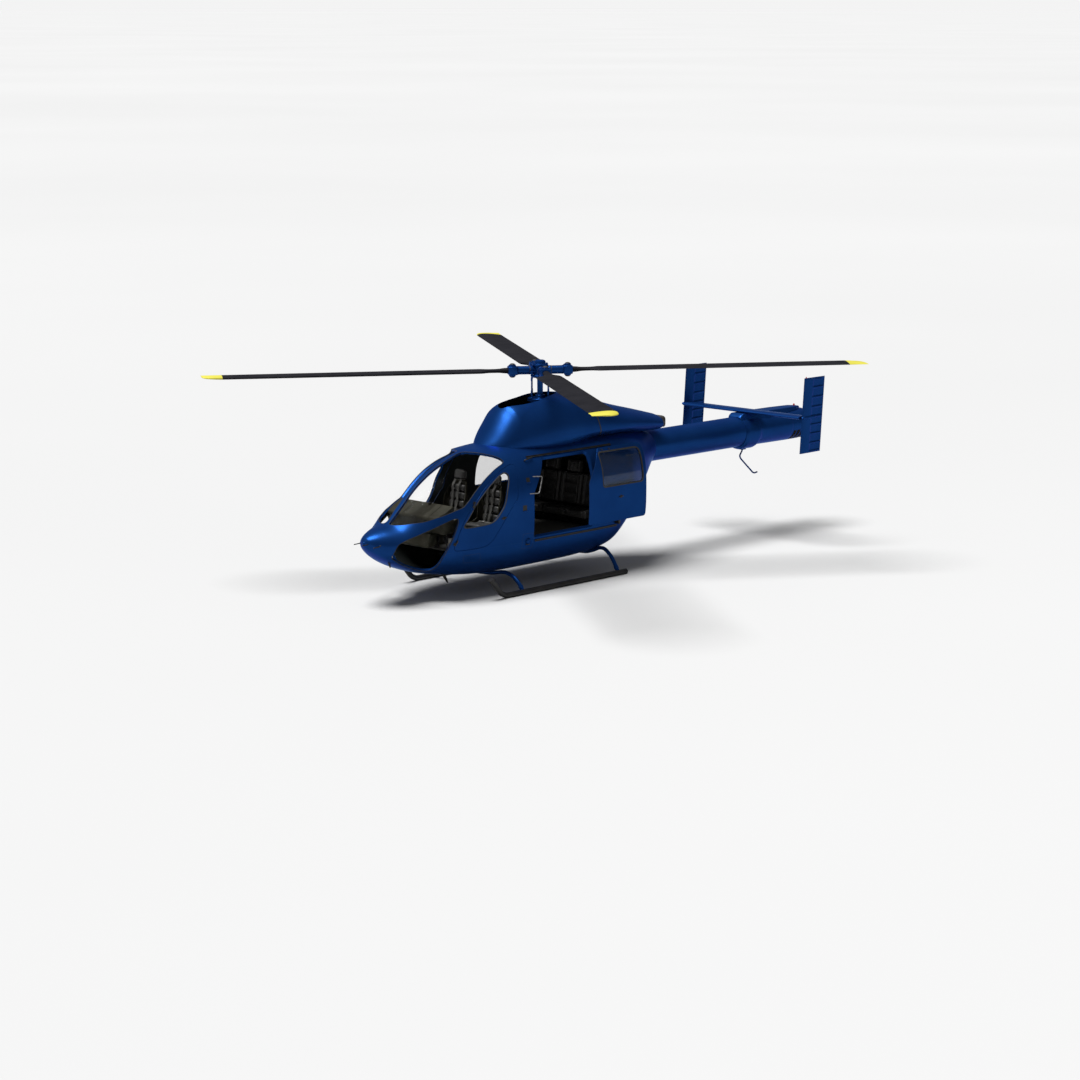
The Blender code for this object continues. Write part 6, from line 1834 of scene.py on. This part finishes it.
# %% Pedestal and switches
CONSOLE_SIDE = [(-2.47, FLOOR_TOP), (-2.1, FLOOR_TOP), (-2.12, 0.93), (-2.33, 1.0197), (-2.47, 1.0197)]
part("console_pedestal", side_block(CONSOLE_SIDE, -0.13, 0.13, 0.03, 0.025), MOULDED_PLASTIC,
     stands_for="centre_console")
switches = [block_shape((x, y, z), (x + 0.02, y + 0.012, z + 0.012), 0.002)
            for x, z in ((-2.3, 1.0), (-2.25, 0.979), (-2.2, 0.958)) for y in (-0.08, -0.04, 0.03, 0.07)]
part("console_switches", joined(switches), SATIN_BLACK)
knob = [turned(softened(0.022, 1.395, 1.432, 0.006), (-2.455, -0.1), 32)]
part("hood_compass", joined(knob), SATIN_BLACK)
tidy_tools()
print("switches:", len(switches))

# %% Duct, pedals and sticks
duct = side_block([(-2.7, 0.78), (-2.64, 1.01), (-2.48, 1.01), (-2.5, 0.79)], -0.3, 0.3, 0.05, 0.04)
part("demister_duct", duct, MOULDED_PLASTIC)
controls = []
for seat_y in (-0.37, 0.37):
    for dy in (-0.095, 0.095):
        controls.append(block_shape((-2.485, seat_y + dy - 0.045, 0.87),
            (-2.47, seat_y + dy + 0.045, 0.96), 0.006))
        controls.append(rod_shape((-2.478, seat_y + dy, 0.88), (-2.44, seat_y + dy, 0.776), 0.009, 16, 0.001))
    stick = [(-1.985, seat_y, 0.776), (-1.985, seat_y, 0.9), (-2.075, seat_y, 1.06), (-2.035, seat_y, 1.225)]
    controls.append(pipe(stick, 0.012, (0, 1, 0), 0.09))
    controls.append(pipe([(-2.047, seat_y, 1.175), (-2.035, seat_y, 1.225), (-2.02, seat_y, 1.285)], 0.021,
                         (0, 1, 0), 0.02, cap=0.008))
    controls.append(turned(softened(0.035, 0.772, 0.82, 0.01), (-1.985, seat_y), 28))
    if seat_y > 0:
        lever_y = seat_y - 0.255
        lever = [(-1.56, lever_y, 0.8), (-1.8, lever_y, 0.905), (-1.96, lever_y, 0.98)]
        controls.append(pipe(lever, 0.013, (0, 1, 0), 0.05))
        controls.append(pipe([(-1.85, lever_y, 0.93), (-1.93, lever_y, 0.967), (-2.01, lever_y, 1.004)],
            0.02, (0, 1, 0), 0.02, cap=0.006))
part("flight_controls", joined(controls), SATIN_BLACK)
print("controls:", len(controls), "parts")

# %% [markdown]
# ## Crew seats
#
# A crew seat is a moulded shell with wings at its sides, on a frame bolted to the floor. Its cushions
# are stacked leather pads, each filled with foam and sewn round its edge, so each pad bulges between
# its seams. A pad can be drawn as a rounded block whose faces swell towards their middles.


# %% Cushions
def pad_rim(power, columns):
    """Cosines and sines of even angles, and the reach of |a|^p + |b|^p = 1 at each."""
    c, s = np.cos(turn(columns)), np.sin(turn(columns))
    return c, s, (np.abs(c) ** power + np.abs(s) ** power) ** (-1 / power)


def pad(centre, half, along, out, power=4.5, swell=0.1, creases=0.0015, rows=28, columns=64, seed=0.0):
    """A cushion with axes across, along and out. |a|^p + |b|^p = 1 rounds its outline, and its thickness
    falls with (1 − s²)^0.35, where s runs from the middle of a face to the seam."""
    along, out = unit(along), unit(out)
    across = np.cross(along, out)
    c, s, rim = pad_rim(power, columns)
    lift = np.linspace(-1, 1, rows)
    reach = (1 - np.abs(lift) ** 3.2) ** 0.42
    shape = np.sign(lift) * (1 - reach**2) ** 0.35
    u = reach[:, None] * rim * c
    v = reach[:, None] * rim * s
    w = shape[:, None] * (1 + swell * (1 - u**2) * (1 - v**2))
    wrinkle = (creases * (np.sin(9 * u + 5 * v + seed) + 0.6 * np.sin(17 * v - 6 * u + 2 * seed))
               * reach[:, None] ** 2)
    points = (np.asarray(centre) + half[0] * u[..., None] * across + half[1] * v[..., None] * along
              + (half[2] * w + wrinkle)[..., None] * out)
    return tube(points)


def piping(centre, half, along, out, radius=0.0035, power=4.5, columns=64):
    """The sewn cord round a pad's seam: a thin tube along the pad's outline."""
    along, out = unit(along), unit(out)
    across = np.cross(along, out)
    c, s, rim = pad_rim(power, columns)
    line = np.asarray(centre) + (half[0] * rim * c)[:, None] * across + (half[1] * rim * s)[:, None] * along
    away = unit_rows(line - np.asarray(centre))
    a = turn(8)
    rings = line[:, None] + radius * (
        np.cos(a)[None, :, None] * away[:, None] + np.sin(a)[None, :, None] * out)
    return tube(rings, closed=True)


def unit_rows(v):
    return v / np.linalg.norm(v, axis=-1, keepdims=True)


def cushion(name, pads, body="airframe"):
    """Several pads as one padded piece, with their piping."""
    shapes = []
    for number, (centre, half, along, out) in enumerate(pads):
        shapes += [pad(centre, half, along, out, seed=1.7 * number), piping(centre, half, along, out)]
    piece = part(name, joined(shapes), BLACK_LEATHER, body, angle=60)
    return piece


print("a pad has", 28 * 64, "points")

# %% A crew seat's shell
SEAT_BASE, SEAT_TOP = np.array([-1.405, 1.0]), np.array([-1.325, 1.6])
CREW_SEAT_Y, CREW_SEAT_HALF = 0.37, 0.225


def seat_shell(seat_y, rows=40, columns=44):
    """A bucket: its back leans along a line and its sides curl forward as |v|^5. Its top is narrower."""
    u = np.linspace(0.0, 1.0, rows)[:, None]
    v = np.linspace(-1.0, 1.0, columns)[None, :]
    line = SEAT_BASE + (SEAT_TOP - SEAT_BASE) * u
    half = CREW_SEAT_HALF * (1 - 0.38 * step_up(u, 0.55, 0.5))
    wing = 0.135 * (1 - 0.55 * step_up(u, 0.45, 0.5)) * (0.5 + 0.5 * step_up(u, 0.0, 0.2))
    x = line[:, :1] - wing * np.abs(v) ** 5
    y = seat_y + half * np.sign(v) * (1 - (1 - np.abs(v)) ** 1.5)
    z = line[:, 1:] - 0.05 * step_up(np.abs(v), 0.6, 0.4) * step_up(u, 0.8, 0.2) + 0 * v
    grid = np.stack([x, y + 0 * u, z], -1)
    middle = np.array([-1.55, seat_y, 1.25])
    inner = grid + 0.014 * unit_rows((middle - grid) * np.array([1.0, 1.0, 0.0]))
    return thick_sheet(grid, inner)


print("a shell has", len(seat_shell(0.0)[0]), "points")

# %% Crew seats in place
for side_name, side in SIDES:
    y = side * CREW_SEAT_Y
    lean = np.array([SEAT_TOP[0] - SEAT_BASE[0], 0.0, SEAT_TOP[1] - SEAT_BASE[1]])
    facing = np.array([-lean[2], 0.0, lean[0]])
    shell = [seat_shell(y)]
    pan_side = [(-1.865, 0.935), (-1.872, 0.985), (-1.85, 1.0), (-1.58, 0.975), (-1.44, 1.0),
                (-1.405, 1.02), (-1.37, 0.96), (-1.43, 0.925)]
    shell.append(side_block(pan_side, y - 0.222, y + 0.222, 0.02, 0.012))
    for edge in (-1, 1):
        wing_side = [(-1.8, 0.94), (-1.78, 1.02), (-1.6, 1.055), (-1.46, 1.13), (-1.4, 1.13), (-1.38, 0.94)]
        shell.append(side_block(wing_side, y + edge * 0.216 - 0.008, y + edge * 0.216 + 0.008, 0.03, 0.005))
    part(f"crew_seat_{side_name}_shell", joined(shell), MOULDED_PLASTIC, stands_for="crew_seat_" + side_name)
    base = [side_block([(-1.78, FLOOR_TOP), (-1.82, 0.932), (-1.43, 0.932), (-1.44, FLOOR_TOP)], y - 0.17,
                       y + 0.17, 0.02, 0.01)]
    base += [rod_shape((-1.86, y + dy, FLOOR_TOP + 0.012), (-1.36, y + dy, FLOOR_TOP + 0.012), 0.012, 16,
                       0.002) for dy in (-0.19, 0.19)]
    part(f"crew_seat_{side_name}_base", joined(base), SATIN_BLACK)
    back_pads = []
    for share, half_high, half_wide in (
            (0.13, 0.058, 0.165), (0.335, 0.06, 0.165), (0.54, 0.06, 0.16), (0.74, 0.056, 0.145)):
        at = SEAT_BASE + lean[[0, 2]] * share
        back_pads.append(((at[0] - 0.052, y, at[1] + 0.028), (half_wide, half_high, 0.038), lean, facing))
    head = SEAT_BASE + lean[[0, 2]] * 1.06
    back_pads.append(((head[0] - 0.03, y, head[1] + 0.035), (0.115, 0.075, 0.048), lean, facing))
    cushion(f"crew_seat_{side_name}_back_pads", back_pads)
    level, up = (0.997, 0.0, -0.075), (0.075, 0.0, 0.997)
    cushion(f"crew_seat_{side_name}_bottom_pads", [
        ((-1.755, y, 1.022), (0.185, 0.1, 0.04), level, up),
        ((-1.56, y, 1.008), (0.185, 0.105, 0.04), level, up)])
    posts = [rod_shape((head[0] - 0.01, y + dy, head[1] - 0.1), (head[0] - 0.005, y + dy, head[1] + 0.02),
                       0.007, 16) for dy in (-0.05, 0.05)]
    part(f"crew_seat_{side_name}_posts", joined(posts), CAST_METAL)
print("crew seats:", len(back_pads), "back pads each")


# %% Seat belts
def strap(points, width, thick, direction):
    """A flat band along a path; direction is across the band at each point."""
    p = np.asarray(points, float)
    side_way = unit_rows(np.broadcast_to(np.asarray(direction, float), p.shape))
    along = unit_rows(np.gradient(p, axis=0))
    face = unit_rows(np.cross(along, side_way))
    corners = [(-1, -1), (1, -1), (1, 1), (-1, 1)]
    rings = np.stack([p + side_way * a * width / 2 + face * b * thick / 2 for a, b in corners], 1)
    return tube(rings)


for side_name, side in SIDES:
    y = side * CREW_SEAT_Y
    belts = []
    for edge in (-1, 1):
        drop = np.linspace(0.0, 1.0, 24)
        x = (-1.405 - 0.058 * step_up(drop, 0.02, 0.16) - 0.045 * step_up(drop, 0.55, 0.45)
             - 0.035 * step_up(drop, 0.2, 0.8))
        z = 1.61 - 0.555 * drop
        belts.append(strap(np.stack([x, y + edge * (0.062 - 0.02 * drop), z], 1), 0.042, 0.004, (0, 1, 0)))
    across = np.linspace(-1, 1, 25)
    lap_z = 1.06 - 0.012 * across**2 - 0.05 * np.abs(across) ** 8
    belts.append(strap(np.stack([-1.6 + 0.06 * across**2, y + 0.195 * across, lap_z], 1), 0.045, 0.004,
                       (0.95, 0, 0.3)))
    part(f"crew_seat_{side_name}_belts", joined(belts), BELT_WEBBING, angle=50)
    buckle = turned(softened(0.028, 1.056, 1.076, 0.005), (-1.6, y), 24)
    part(f"crew_seat_{side_name}_buckle", buckle, CAST_METAL)
print("belts over", len(SIDES), "crew seats")

# %% [markdown]
# ## Rear seats
#
# Three passenger seats stand side by side against the bulkhead. Each back has bolsters down its sides
# and soft rolls across its middle, and the bottom cushions are thick and rounded. They are sewn from
# black leather over foam, so each face is one surface that rises and dips.

# %% A quilted back
REAR_SEATS = (("port", -0.47), ("middle", 0.0), ("starboard", 0.47))
REAR_HALF = 0.2325


def quilted(foot, head, out, y, half, thick, rolls, bolster=0.03, rows=90, columns=56):
    """A padded back whose front stands out by thick + roll + groove + bolster + crease. The rolls follow
    |sin|^0.45 of the height, and ((1 − |2u − 1|^14)(1 − |v|^10))^0.25 rounds the rim."""
    foot, head, out = np.asarray(foot, float), np.asarray(head, float), np.asarray(out, float)
    u = np.linspace(0, 1, rows)[:, None]
    v = np.linspace(-1, 1, columns)[None, :]
    middle = 1 - step_up(np.abs(v), 0.54, 0.14)
    roll = 0.02 * (np.abs(np.sin(np.pi * rolls * u)) ** 0.45 - 0.6) * middle
    groove = -0.022 * np.exp(-(((np.abs(v) - 0.6) / 0.035) ** 2))
    side_roll = bolster * np.exp(-(((np.abs(v) - 0.82) / 0.17) ** 2))
    rim = ((1 - np.abs(2 * u - 1) ** 14) * (1 - np.abs(v) ** 10)) ** 0.25
    crease = 0.0018 * np.sin(14 * u + 9 * v) * np.sin(31 * u - 7 * v)
    depth = (thick + roll + groove + side_roll + crease) * rim
    line = foot + (head - foot) * u
    x = line[:, :1] + out[0] * depth
    z = line[:, 1:] + out[1] * depth
    front = np.stack([x, y + half * v + 0 * u, z], -1)
    back = np.stack([line[:, :1] + 0 * v, y + half * v + 0 * u, line[:, 1:] + 0 * v], -1)
    back[..., 0] -= out[0] * 0.004
    return thick_sheet(front, back)


print("a quilted back has", 2 * 90 * 56, "points")

# %% Rear seats in place
for label, y in REAR_SEATS:
    shapes = [
        quilted((0.705, 1.01), (0.8, 1.5), (-0.98, 0.19), y, REAR_HALF, 0.065, 3),
        quilted((0.803, 1.505), (0.838, 1.69), (-0.98, 0.18), y,
                REAR_HALF * (0.62 if label == "middle" else 0.6), 0.07, 1, 0.01, 50),
    ]
    shapes.append(quilted((0.7, 0.885), (0.27, 0.915), (0.07, 0.997), y, REAR_HALF, 0.095, 2, 0.028))
    trimmed = raw(f"rear_seat_{label}_cushions", *joined(shapes))
    if label != "middle":
        cut(trimmed, ("INTERSECT", pod_plug("cabin", -WALL - 0.002, inner_stations)))
    dress(shade(trimmed, 60), BLACK_LEATHER, stands_for="rear_seat_" + label)
    frame_side = [
        (0.42, FLOOR_TOP), (0.4, 0.86), (0.3, 0.885), (0.33, 0.905), (0.69, 0.885), (0.78, 0.86),
        (0.8, FLOOR_TOP),
    ]
    part(f"rear_seat_{label}_frame", side_block(frame_side, y - 0.19, y + 0.19, 0.015, 0.006), SATIN_BLACK)
    cords = []
    for share in (1 / 3, 2 / 3):
        x, z = 0.705 + 0.095 * share - 0.058, 1.01 + 0.49 * share + 0.01
        cords.append(rod_shape((x, y - 0.125, z), (x, y + 0.125, z), 0.0028, 10))
    part(f"rear_seat_{label}_seams", joined(cords), BELT_WEBBING)
tidy_tools()
print("rear seats:", [label for label, _ in REAR_SEATS])

# %% [markdown]
# ## Small fittings
#
# What makes a machine look real are its small fittings: handles, recessed steps, covers, lines of
# screws, aerials and lamps. Each one is placed on the skin with the same surface formula as the
# panels, so it lies along the curve under it.


# %% Placing things on the skin
def skin_frame(station, height, side):
    """A point on the skin with its directions: aft along the skin, up along it, and straight out."""
    here = Outline.seen([(station, height), (station + 0.01, height), (station, height + 0.01)], side)
    point, aft, up = here.points(0.0)
    out = unit(here.points(0.01)[0] - point)
    aft = unit(aft - point)
    up = unit(np.cross(out, aft)) * (1 if np.cross(out, aft)[2] > 0 else -1)
    return point, aft, up, out


def on_skin(shape, station, height, side, tilt=0.0, shift=(0.0, 0.0, 0.0)):
    """A shape drawn with x aft, y up and z out, laid on the skin and turned by a tilt in degrees."""
    point, aft, up, out = skin_frame(station, height, side)
    c, s = math.cos(math.radians(tilt)), math.sin(math.radians(tilt))
    p = np.asarray(shape[0], float)
    x, y = p[:, :1] * c - p[:, 1:2] * s, p[:, :1] * s + p[:, 1:2] * c
    return point + x * aft + y * up + p[:, 2:] * out + np.asarray(shift, float), shape[1]


def box_corners(x0, x1, z0, z1):
    return [(x0, z0), (x1, z0), (x1, z1), (x0, z1)]


def patch(corners, side, low, high, corner_radius=0.006):
    """A thin plate on the skin between two levels, from corners of (station, height)."""
    loop = rounded_polygon([(x, z, corner_radius) for x, z in corners])
    return tube(sheet_rings(Outline.seen(loop, side), (low, high), shares=np.linspace(0.1, 0.9, 4)))


def panel_line(corners, side, width=0.004, proud=0.0006):
    """The thin dark line round a cover."""
    loop = rounded_polygon([(x, z, 0.015) for x, z in corners])
    outline = Outline.seen(loop, side)
    return bead_shape(outline, 0.0, -width, -0.001, proud)


print("skin at the doorway's sill:", np.round(skin_frame(0.0, 0.8, PORT)[0], 3))

# %% [markdown]
# Behind each crew door there are two recessed steps with a lip, and below them the round cover of a
# socket in its square panel. The open doorway to port has a grab handle beside it and one over it.

# %% Steps, grab handles and covers
for side_name, side in SIDES:
    dark, lips, lines = [], [], []
    for x, z, half in ((-1.061, 1.676, 0.036), (-1.167, 1.27, 0.042)):
        # Each step's hollow is not cut into the skin: a thin satin-black plate on the skin is painted shade
        # for the hollow, with a blue lip along its foot.
        dark.append(patch(box_corners(x - half, x + half, z - half, z + half), side, -0.004, 0.0012))
        lips.append(on_skin(block_shape((-half - 0.004, -half - 0.012, -0.006),
            (half + 0.004, -half + 0.004, 0.01), 0.004), x, z, side))
    x, z = -1.072, 0.752
    dome = [(0.05, -0.006), (0.05, 0.004), (0.046, 0.014), (0.036, 0.022), (0.02, 0.027), (0.005, 0.028)]
    lips.append(on_skin(turned(dome, count=40), x, z, side))
    dark.append(on_skin(block_shape((-0.04, -0.06, -0.004), (0.04, -0.034, 0.008), 0.003), x, z, side))
    lines.append(panel_line(box_corners(x - 0.12, x + 0.12, z - 0.11, z + 0.12), side))
    lines.append(panel_line([(-2.307, 0.673), (-2.012, 0.686), (-1.95, 0.533), (-2.255, 0.554)], side))
    # The satin-black plates are painted shade for the steps' hollows; the small black block under the
    # socket's cover rides with them.
    part(f"step_recesses_{side_name}", joined(dark), SATIN_BLACK)
    part(f"step_lips_{side_name}", joined(lips), BLUE_LACQUER)
    part(f"cover_lines_{side_name}", joined(lines), SEAL_RUBBER)
    if side == STARBOARD:
        continue
    grab = np.array([
        (-0.955, -0.755, 1.715), (-0.76, -0.782, 1.7), (-0.88, -0.832, 1.462), (-1.06, -0.8, 1.472),
    ])
    normal = np.cross(grab[1] - grab[0], grab[2] - grab[1])
    part("doorway_grab_handle", pipe(grab, 0.008, normal, 0.035, 16), CAST_METAL)
    low_end, high_end = skin_frame(-1.01, 1.944, side), skin_frame(-0.84, 1.968, side)
    top_grab = [low_end[0] - low_end[3] * 0.01, low_end[0] + low_end[3] * 0.028,
                high_end[0] + high_end[3] * 0.028, high_end[0] - high_end[3] * 0.01]
    part("roof_grab_handle", pipe(top_grab, 0.01, high_end[2], 0.02, 16), SATIN_BLACK)
print("steps, covers and two grab handles made")

# %% [markdown]
# Door handles are flush levers in a dark dish. The open door's handle has moved with it.

# %% Door handles
def handle_shapes(station, height, side, tilt, shift=(0.0, 0.0, 0.0)):
    dish = [(0.026, -0.004), (0.026, 0.0015), (0.022, 0.0015), (0.018, 0.0005), (0.002, 0.0005)]
    lever = block_shape((-0.05, -0.008, 0.002), (0.05, 0.008, 0.01), 0.003)
    return (on_skin(turned(dish, count=28), station, height, side, tilt, shift),
            on_skin(lever, station, height, side, tilt, shift))


slid = np.array(DOOR_SLID)
for side_name, side in SIDES:
    dish, lever = handle_shapes(-1.6, 1.17, side, 8.0)
    part(f"crew_door_{side_name}_handle", joined([dish, lever]), SATIN_BLACK, side_name + "_crew_door")
    travel = slid if side == PORT else np.zeros(3)
    dish, lever = handle_shapes(-0.243, 1.173, side, 4.0, travel)
    part(f"cabin_door_{side_name}_handle", joined([dish, lever]), SATIN_BLACK)
print("handles on", len(SIDES) * 2, "doors")

# %% [markdown]
# A line of small screws holds each windshield's lower edge and each chin window. They are domed heads,
# spaced evenly along the opening's outline.

# %% Screws
def screw_line(outline, grow, spacing, radius=0.0055, keep=None):
    """Domed heads at even steps along an outline grown by a distance."""
    ring = outline.grown(grow)
    points, raised = ring.points(0.0), ring.points(0.01)
    steps = np.linalg.norm(np.diff(points, axis=0, append=points[:1]), axis=1)
    along = np.cumsum(steps) - steps
    chosen = np.unique(np.searchsorted(along, np.arange(0.0, along[-1], spacing)).clip(0, len(points) - 1))
    shapes = []
    for k in chosen:
        if keep is not None and not keep(points[k]):
            continue
        out = unit(raised[k] - points[k])
        shapes.append(rod_shape(points[k] - out * 0.002, points[k] + out * 0.0022, radius, 10, 0.0012))
    return shapes


for side_name, side in SIDES:
    heads = screw_line(OUTLINES[f"windshield_{side_name}"], 0.016, 0.045, keep=lambda p: p[2] < 1.32)
    heads += screw_line(OUTLINES[f"chin_window_{side_name}"], 0.014, 0.06)
    part(f"window_screws_{side_name}", joined(heads), BLUE_LACQUER)
print("screws on the last side:", len(heads))

# %% [markdown]
# On the nose stand three probes that feel the air's speed, and two short aerials sweep back under the
# belly. Lamps on the tail and on the fins have red glass.

# %% Probes, aerials and lamps
probes = []
for x, y, z in ((-3.64, -0.072, 0.985), (-3.545, -0.209, 0.955), (-3.545, 0.209, 0.955)):
    bend = [(x + 0.02, y, z), (x - 0.03, y, z - 0.03), (x - 0.15, y, z - 0.03 - 0.004)]
    foot = [(x + 0.03, y, z + 0.002), (x + 0.005, y, z - 0.008), (x - 0.02, y, z - 0.022)]
    probes += [pipe(bend, 0.0075, (0, 1, 0), 0.03, 16), pipe(foot, 0.012, (0, 1, 0), 0.01, 16)]
part("air_probes", joined(probes), SATIN_BLACK)


def aerial(foot, length, chord, sweep, thick=0.012):
    """A blade that hangs from the belly and narrows as it sweeps aft."""
    share = np.linspace(-0.15, 1.0, 14)
    narrow = chord * (1 - 0.55 * share.clip(0) ** 1.3)
    a = turn(28)
    x = foot[0] + sweep * share[:, None] * length + narrow[:, None] * 0.5 * np.cos(a)
    y = foot[1] + thick * 0.5 * (narrow / chord)[:, None] * np.sin(a)
    z = foot[2] - length * share[:, None] + 0 * a
    return tube(np.stack([x, y, z], -1))


aerials = [aerial((-3.331, -0.146, 0.655), 0.085, 0.05, 0.25),
           aerial((-2.261, -0.174, 0.335), 0.15, 0.075, 0.65)]
part("belly_aerials", joined(aerials), SATIN_BLACK)
lamps = [turned([(0.016, 2.01), (0.017, 2.03), (0.015, 2.044), (0.009, 2.054), (0.002, 2.056)],
                (6.17, 0.0), 28)]
for side in (PORT, STARBOARD):
    at = (FIN_LEAD + FIN_SWEEP * (FIN_TOP - STABILISER_Z) + 0.045, side * FIN_Y)
    lamps.append(turned([(0.01, 2.704), (0.01, 2.718), (0.008, 2.728), (0.002, 2.732)], at, 20))
part("tail_lamps", joined(lamps), RED_LAMP)
print("probes, aerials and", len(lamps), "lamps made")

# %% [markdown]
# A black rubber strip covers the slanted seam between the mast fairing and the engine cowling. Its
# line is where the seam's plane meets the cowl, found by stepping towards it a few times.

# %% Seam strip
def seam_line(offset, shift, count=220):
    """The cowl's points on the plane x = 0.75 − 0.25 (z − 2.32); six steps settle them."""
    angles = np.linspace(math.radians(-28), math.radians(208), count)
    stations = np.full(count, SEAM_X)
    for step in range(6):
        z = section_point(COWL_SECTIONS, stations, angles)[:, 2]
        stations = SEAM_X + SEAM_LEAN * (z - SEAM_Z)
    return offset_point(COWL_SECTIONS, stations + shift, angles, offset)


STRIP_SIDE, STRIP_FLAT = 0.012, 0.008
STRIP_OUTLINE = ((-0.01, -STRIP_SIDE), (0.002, -STRIP_SIDE), (0.004, -STRIP_FLAT), (0.004, STRIP_FLAT),
                 (0.002, STRIP_SIDE), (-0.01, STRIP_SIDE))
strip_rings = np.stack([seam_line(proud, shift) for proud, shift in STRIP_OUTLINE], 1)
strip = raw("cowl_seam_strip", *tube(strip_rings))
cut(strip, ("DIFFERENCE", pod_plug("roof")))
dress(shade(strip), SEAL_RUBBER)
tidy_tools()
print("seam strip:", len(strip.data.polygons), "faces")

# %% [markdown]
# ## Floor and light
#
# The machine stands on a plain pale floor that runs on to the horizon. One wide soft light stands
# high above it and a pale surround fills the shadows, as in a large studio. Beyond the floor the
# surround itself would be seen, so for what looks straight at it there is a brighter one.

# %% Floor, light and surround
PALE_FLOOR = Finish("pale_floor", (0.48, 0.48, 0.48), 0.9, Specular_IOR_Level=0.1).mottled(
    0.02, 4.0, (0.3, 0.47), (0.7, 0.49),
)
FLOOR_HALF = 4000.0
corners = [(x, y, -0.0005) for x in (-FLOOR_HALF, FLOOR_HALF) for y in (-FLOOR_HALF, FLOOR_HALF)]
floor = raw("floor", np.array(corners), [[0, 2, 3, 1]])
floor.data.materials.append(PALE_FLOOR)

WORLD = bpy.data.worlds.new("surround")
bpy.context.scene.world = WORLD
WORLD.use_nodes = True
nodes, links = WORLD.node_tree.nodes, WORLD.node_tree.links
surround = nodes["Background"]
surround.inputs["Color"].default_value = (1.0, 1.0, 1.0, 1.0)
surround.inputs["Strength"].default_value = 0.2
horizon = nodes.new("ShaderNodeBackground")
horizon.inputs["Color"].default_value = (1.0, 1.0, 1.0, 1.0)
horizon.inputs["Strength"].default_value = 0.9
seen, either = nodes.new("ShaderNodeLightPath"), nodes.new("ShaderNodeMixShader")
links.new(seen.outputs["Is Camera Ray"], either.inputs[0])
links.new(surround.outputs["Background"], either.inputs[1])
links.new(horizon.outputs["Background"], either.inputs[2])
links.new(either.outputs["Shader"], nodes["World Output"].inputs["Surface"])

light_data = bpy.data.lights.new("overhead", "SUN")
light_data.energy = 5.7
light_data.angle = math.radians(34)
overhead = bpy.data.objects.new("overhead", light_data)
overhead.rotation_euler = (math.radians(-10), math.radians(-14), 0.0)
overhead.location = (0.0, 0.0, 12.0)
bpy.context.collection.objects.link(overhead)
bpy.context.scene.view_settings.view_transform = "Standard"
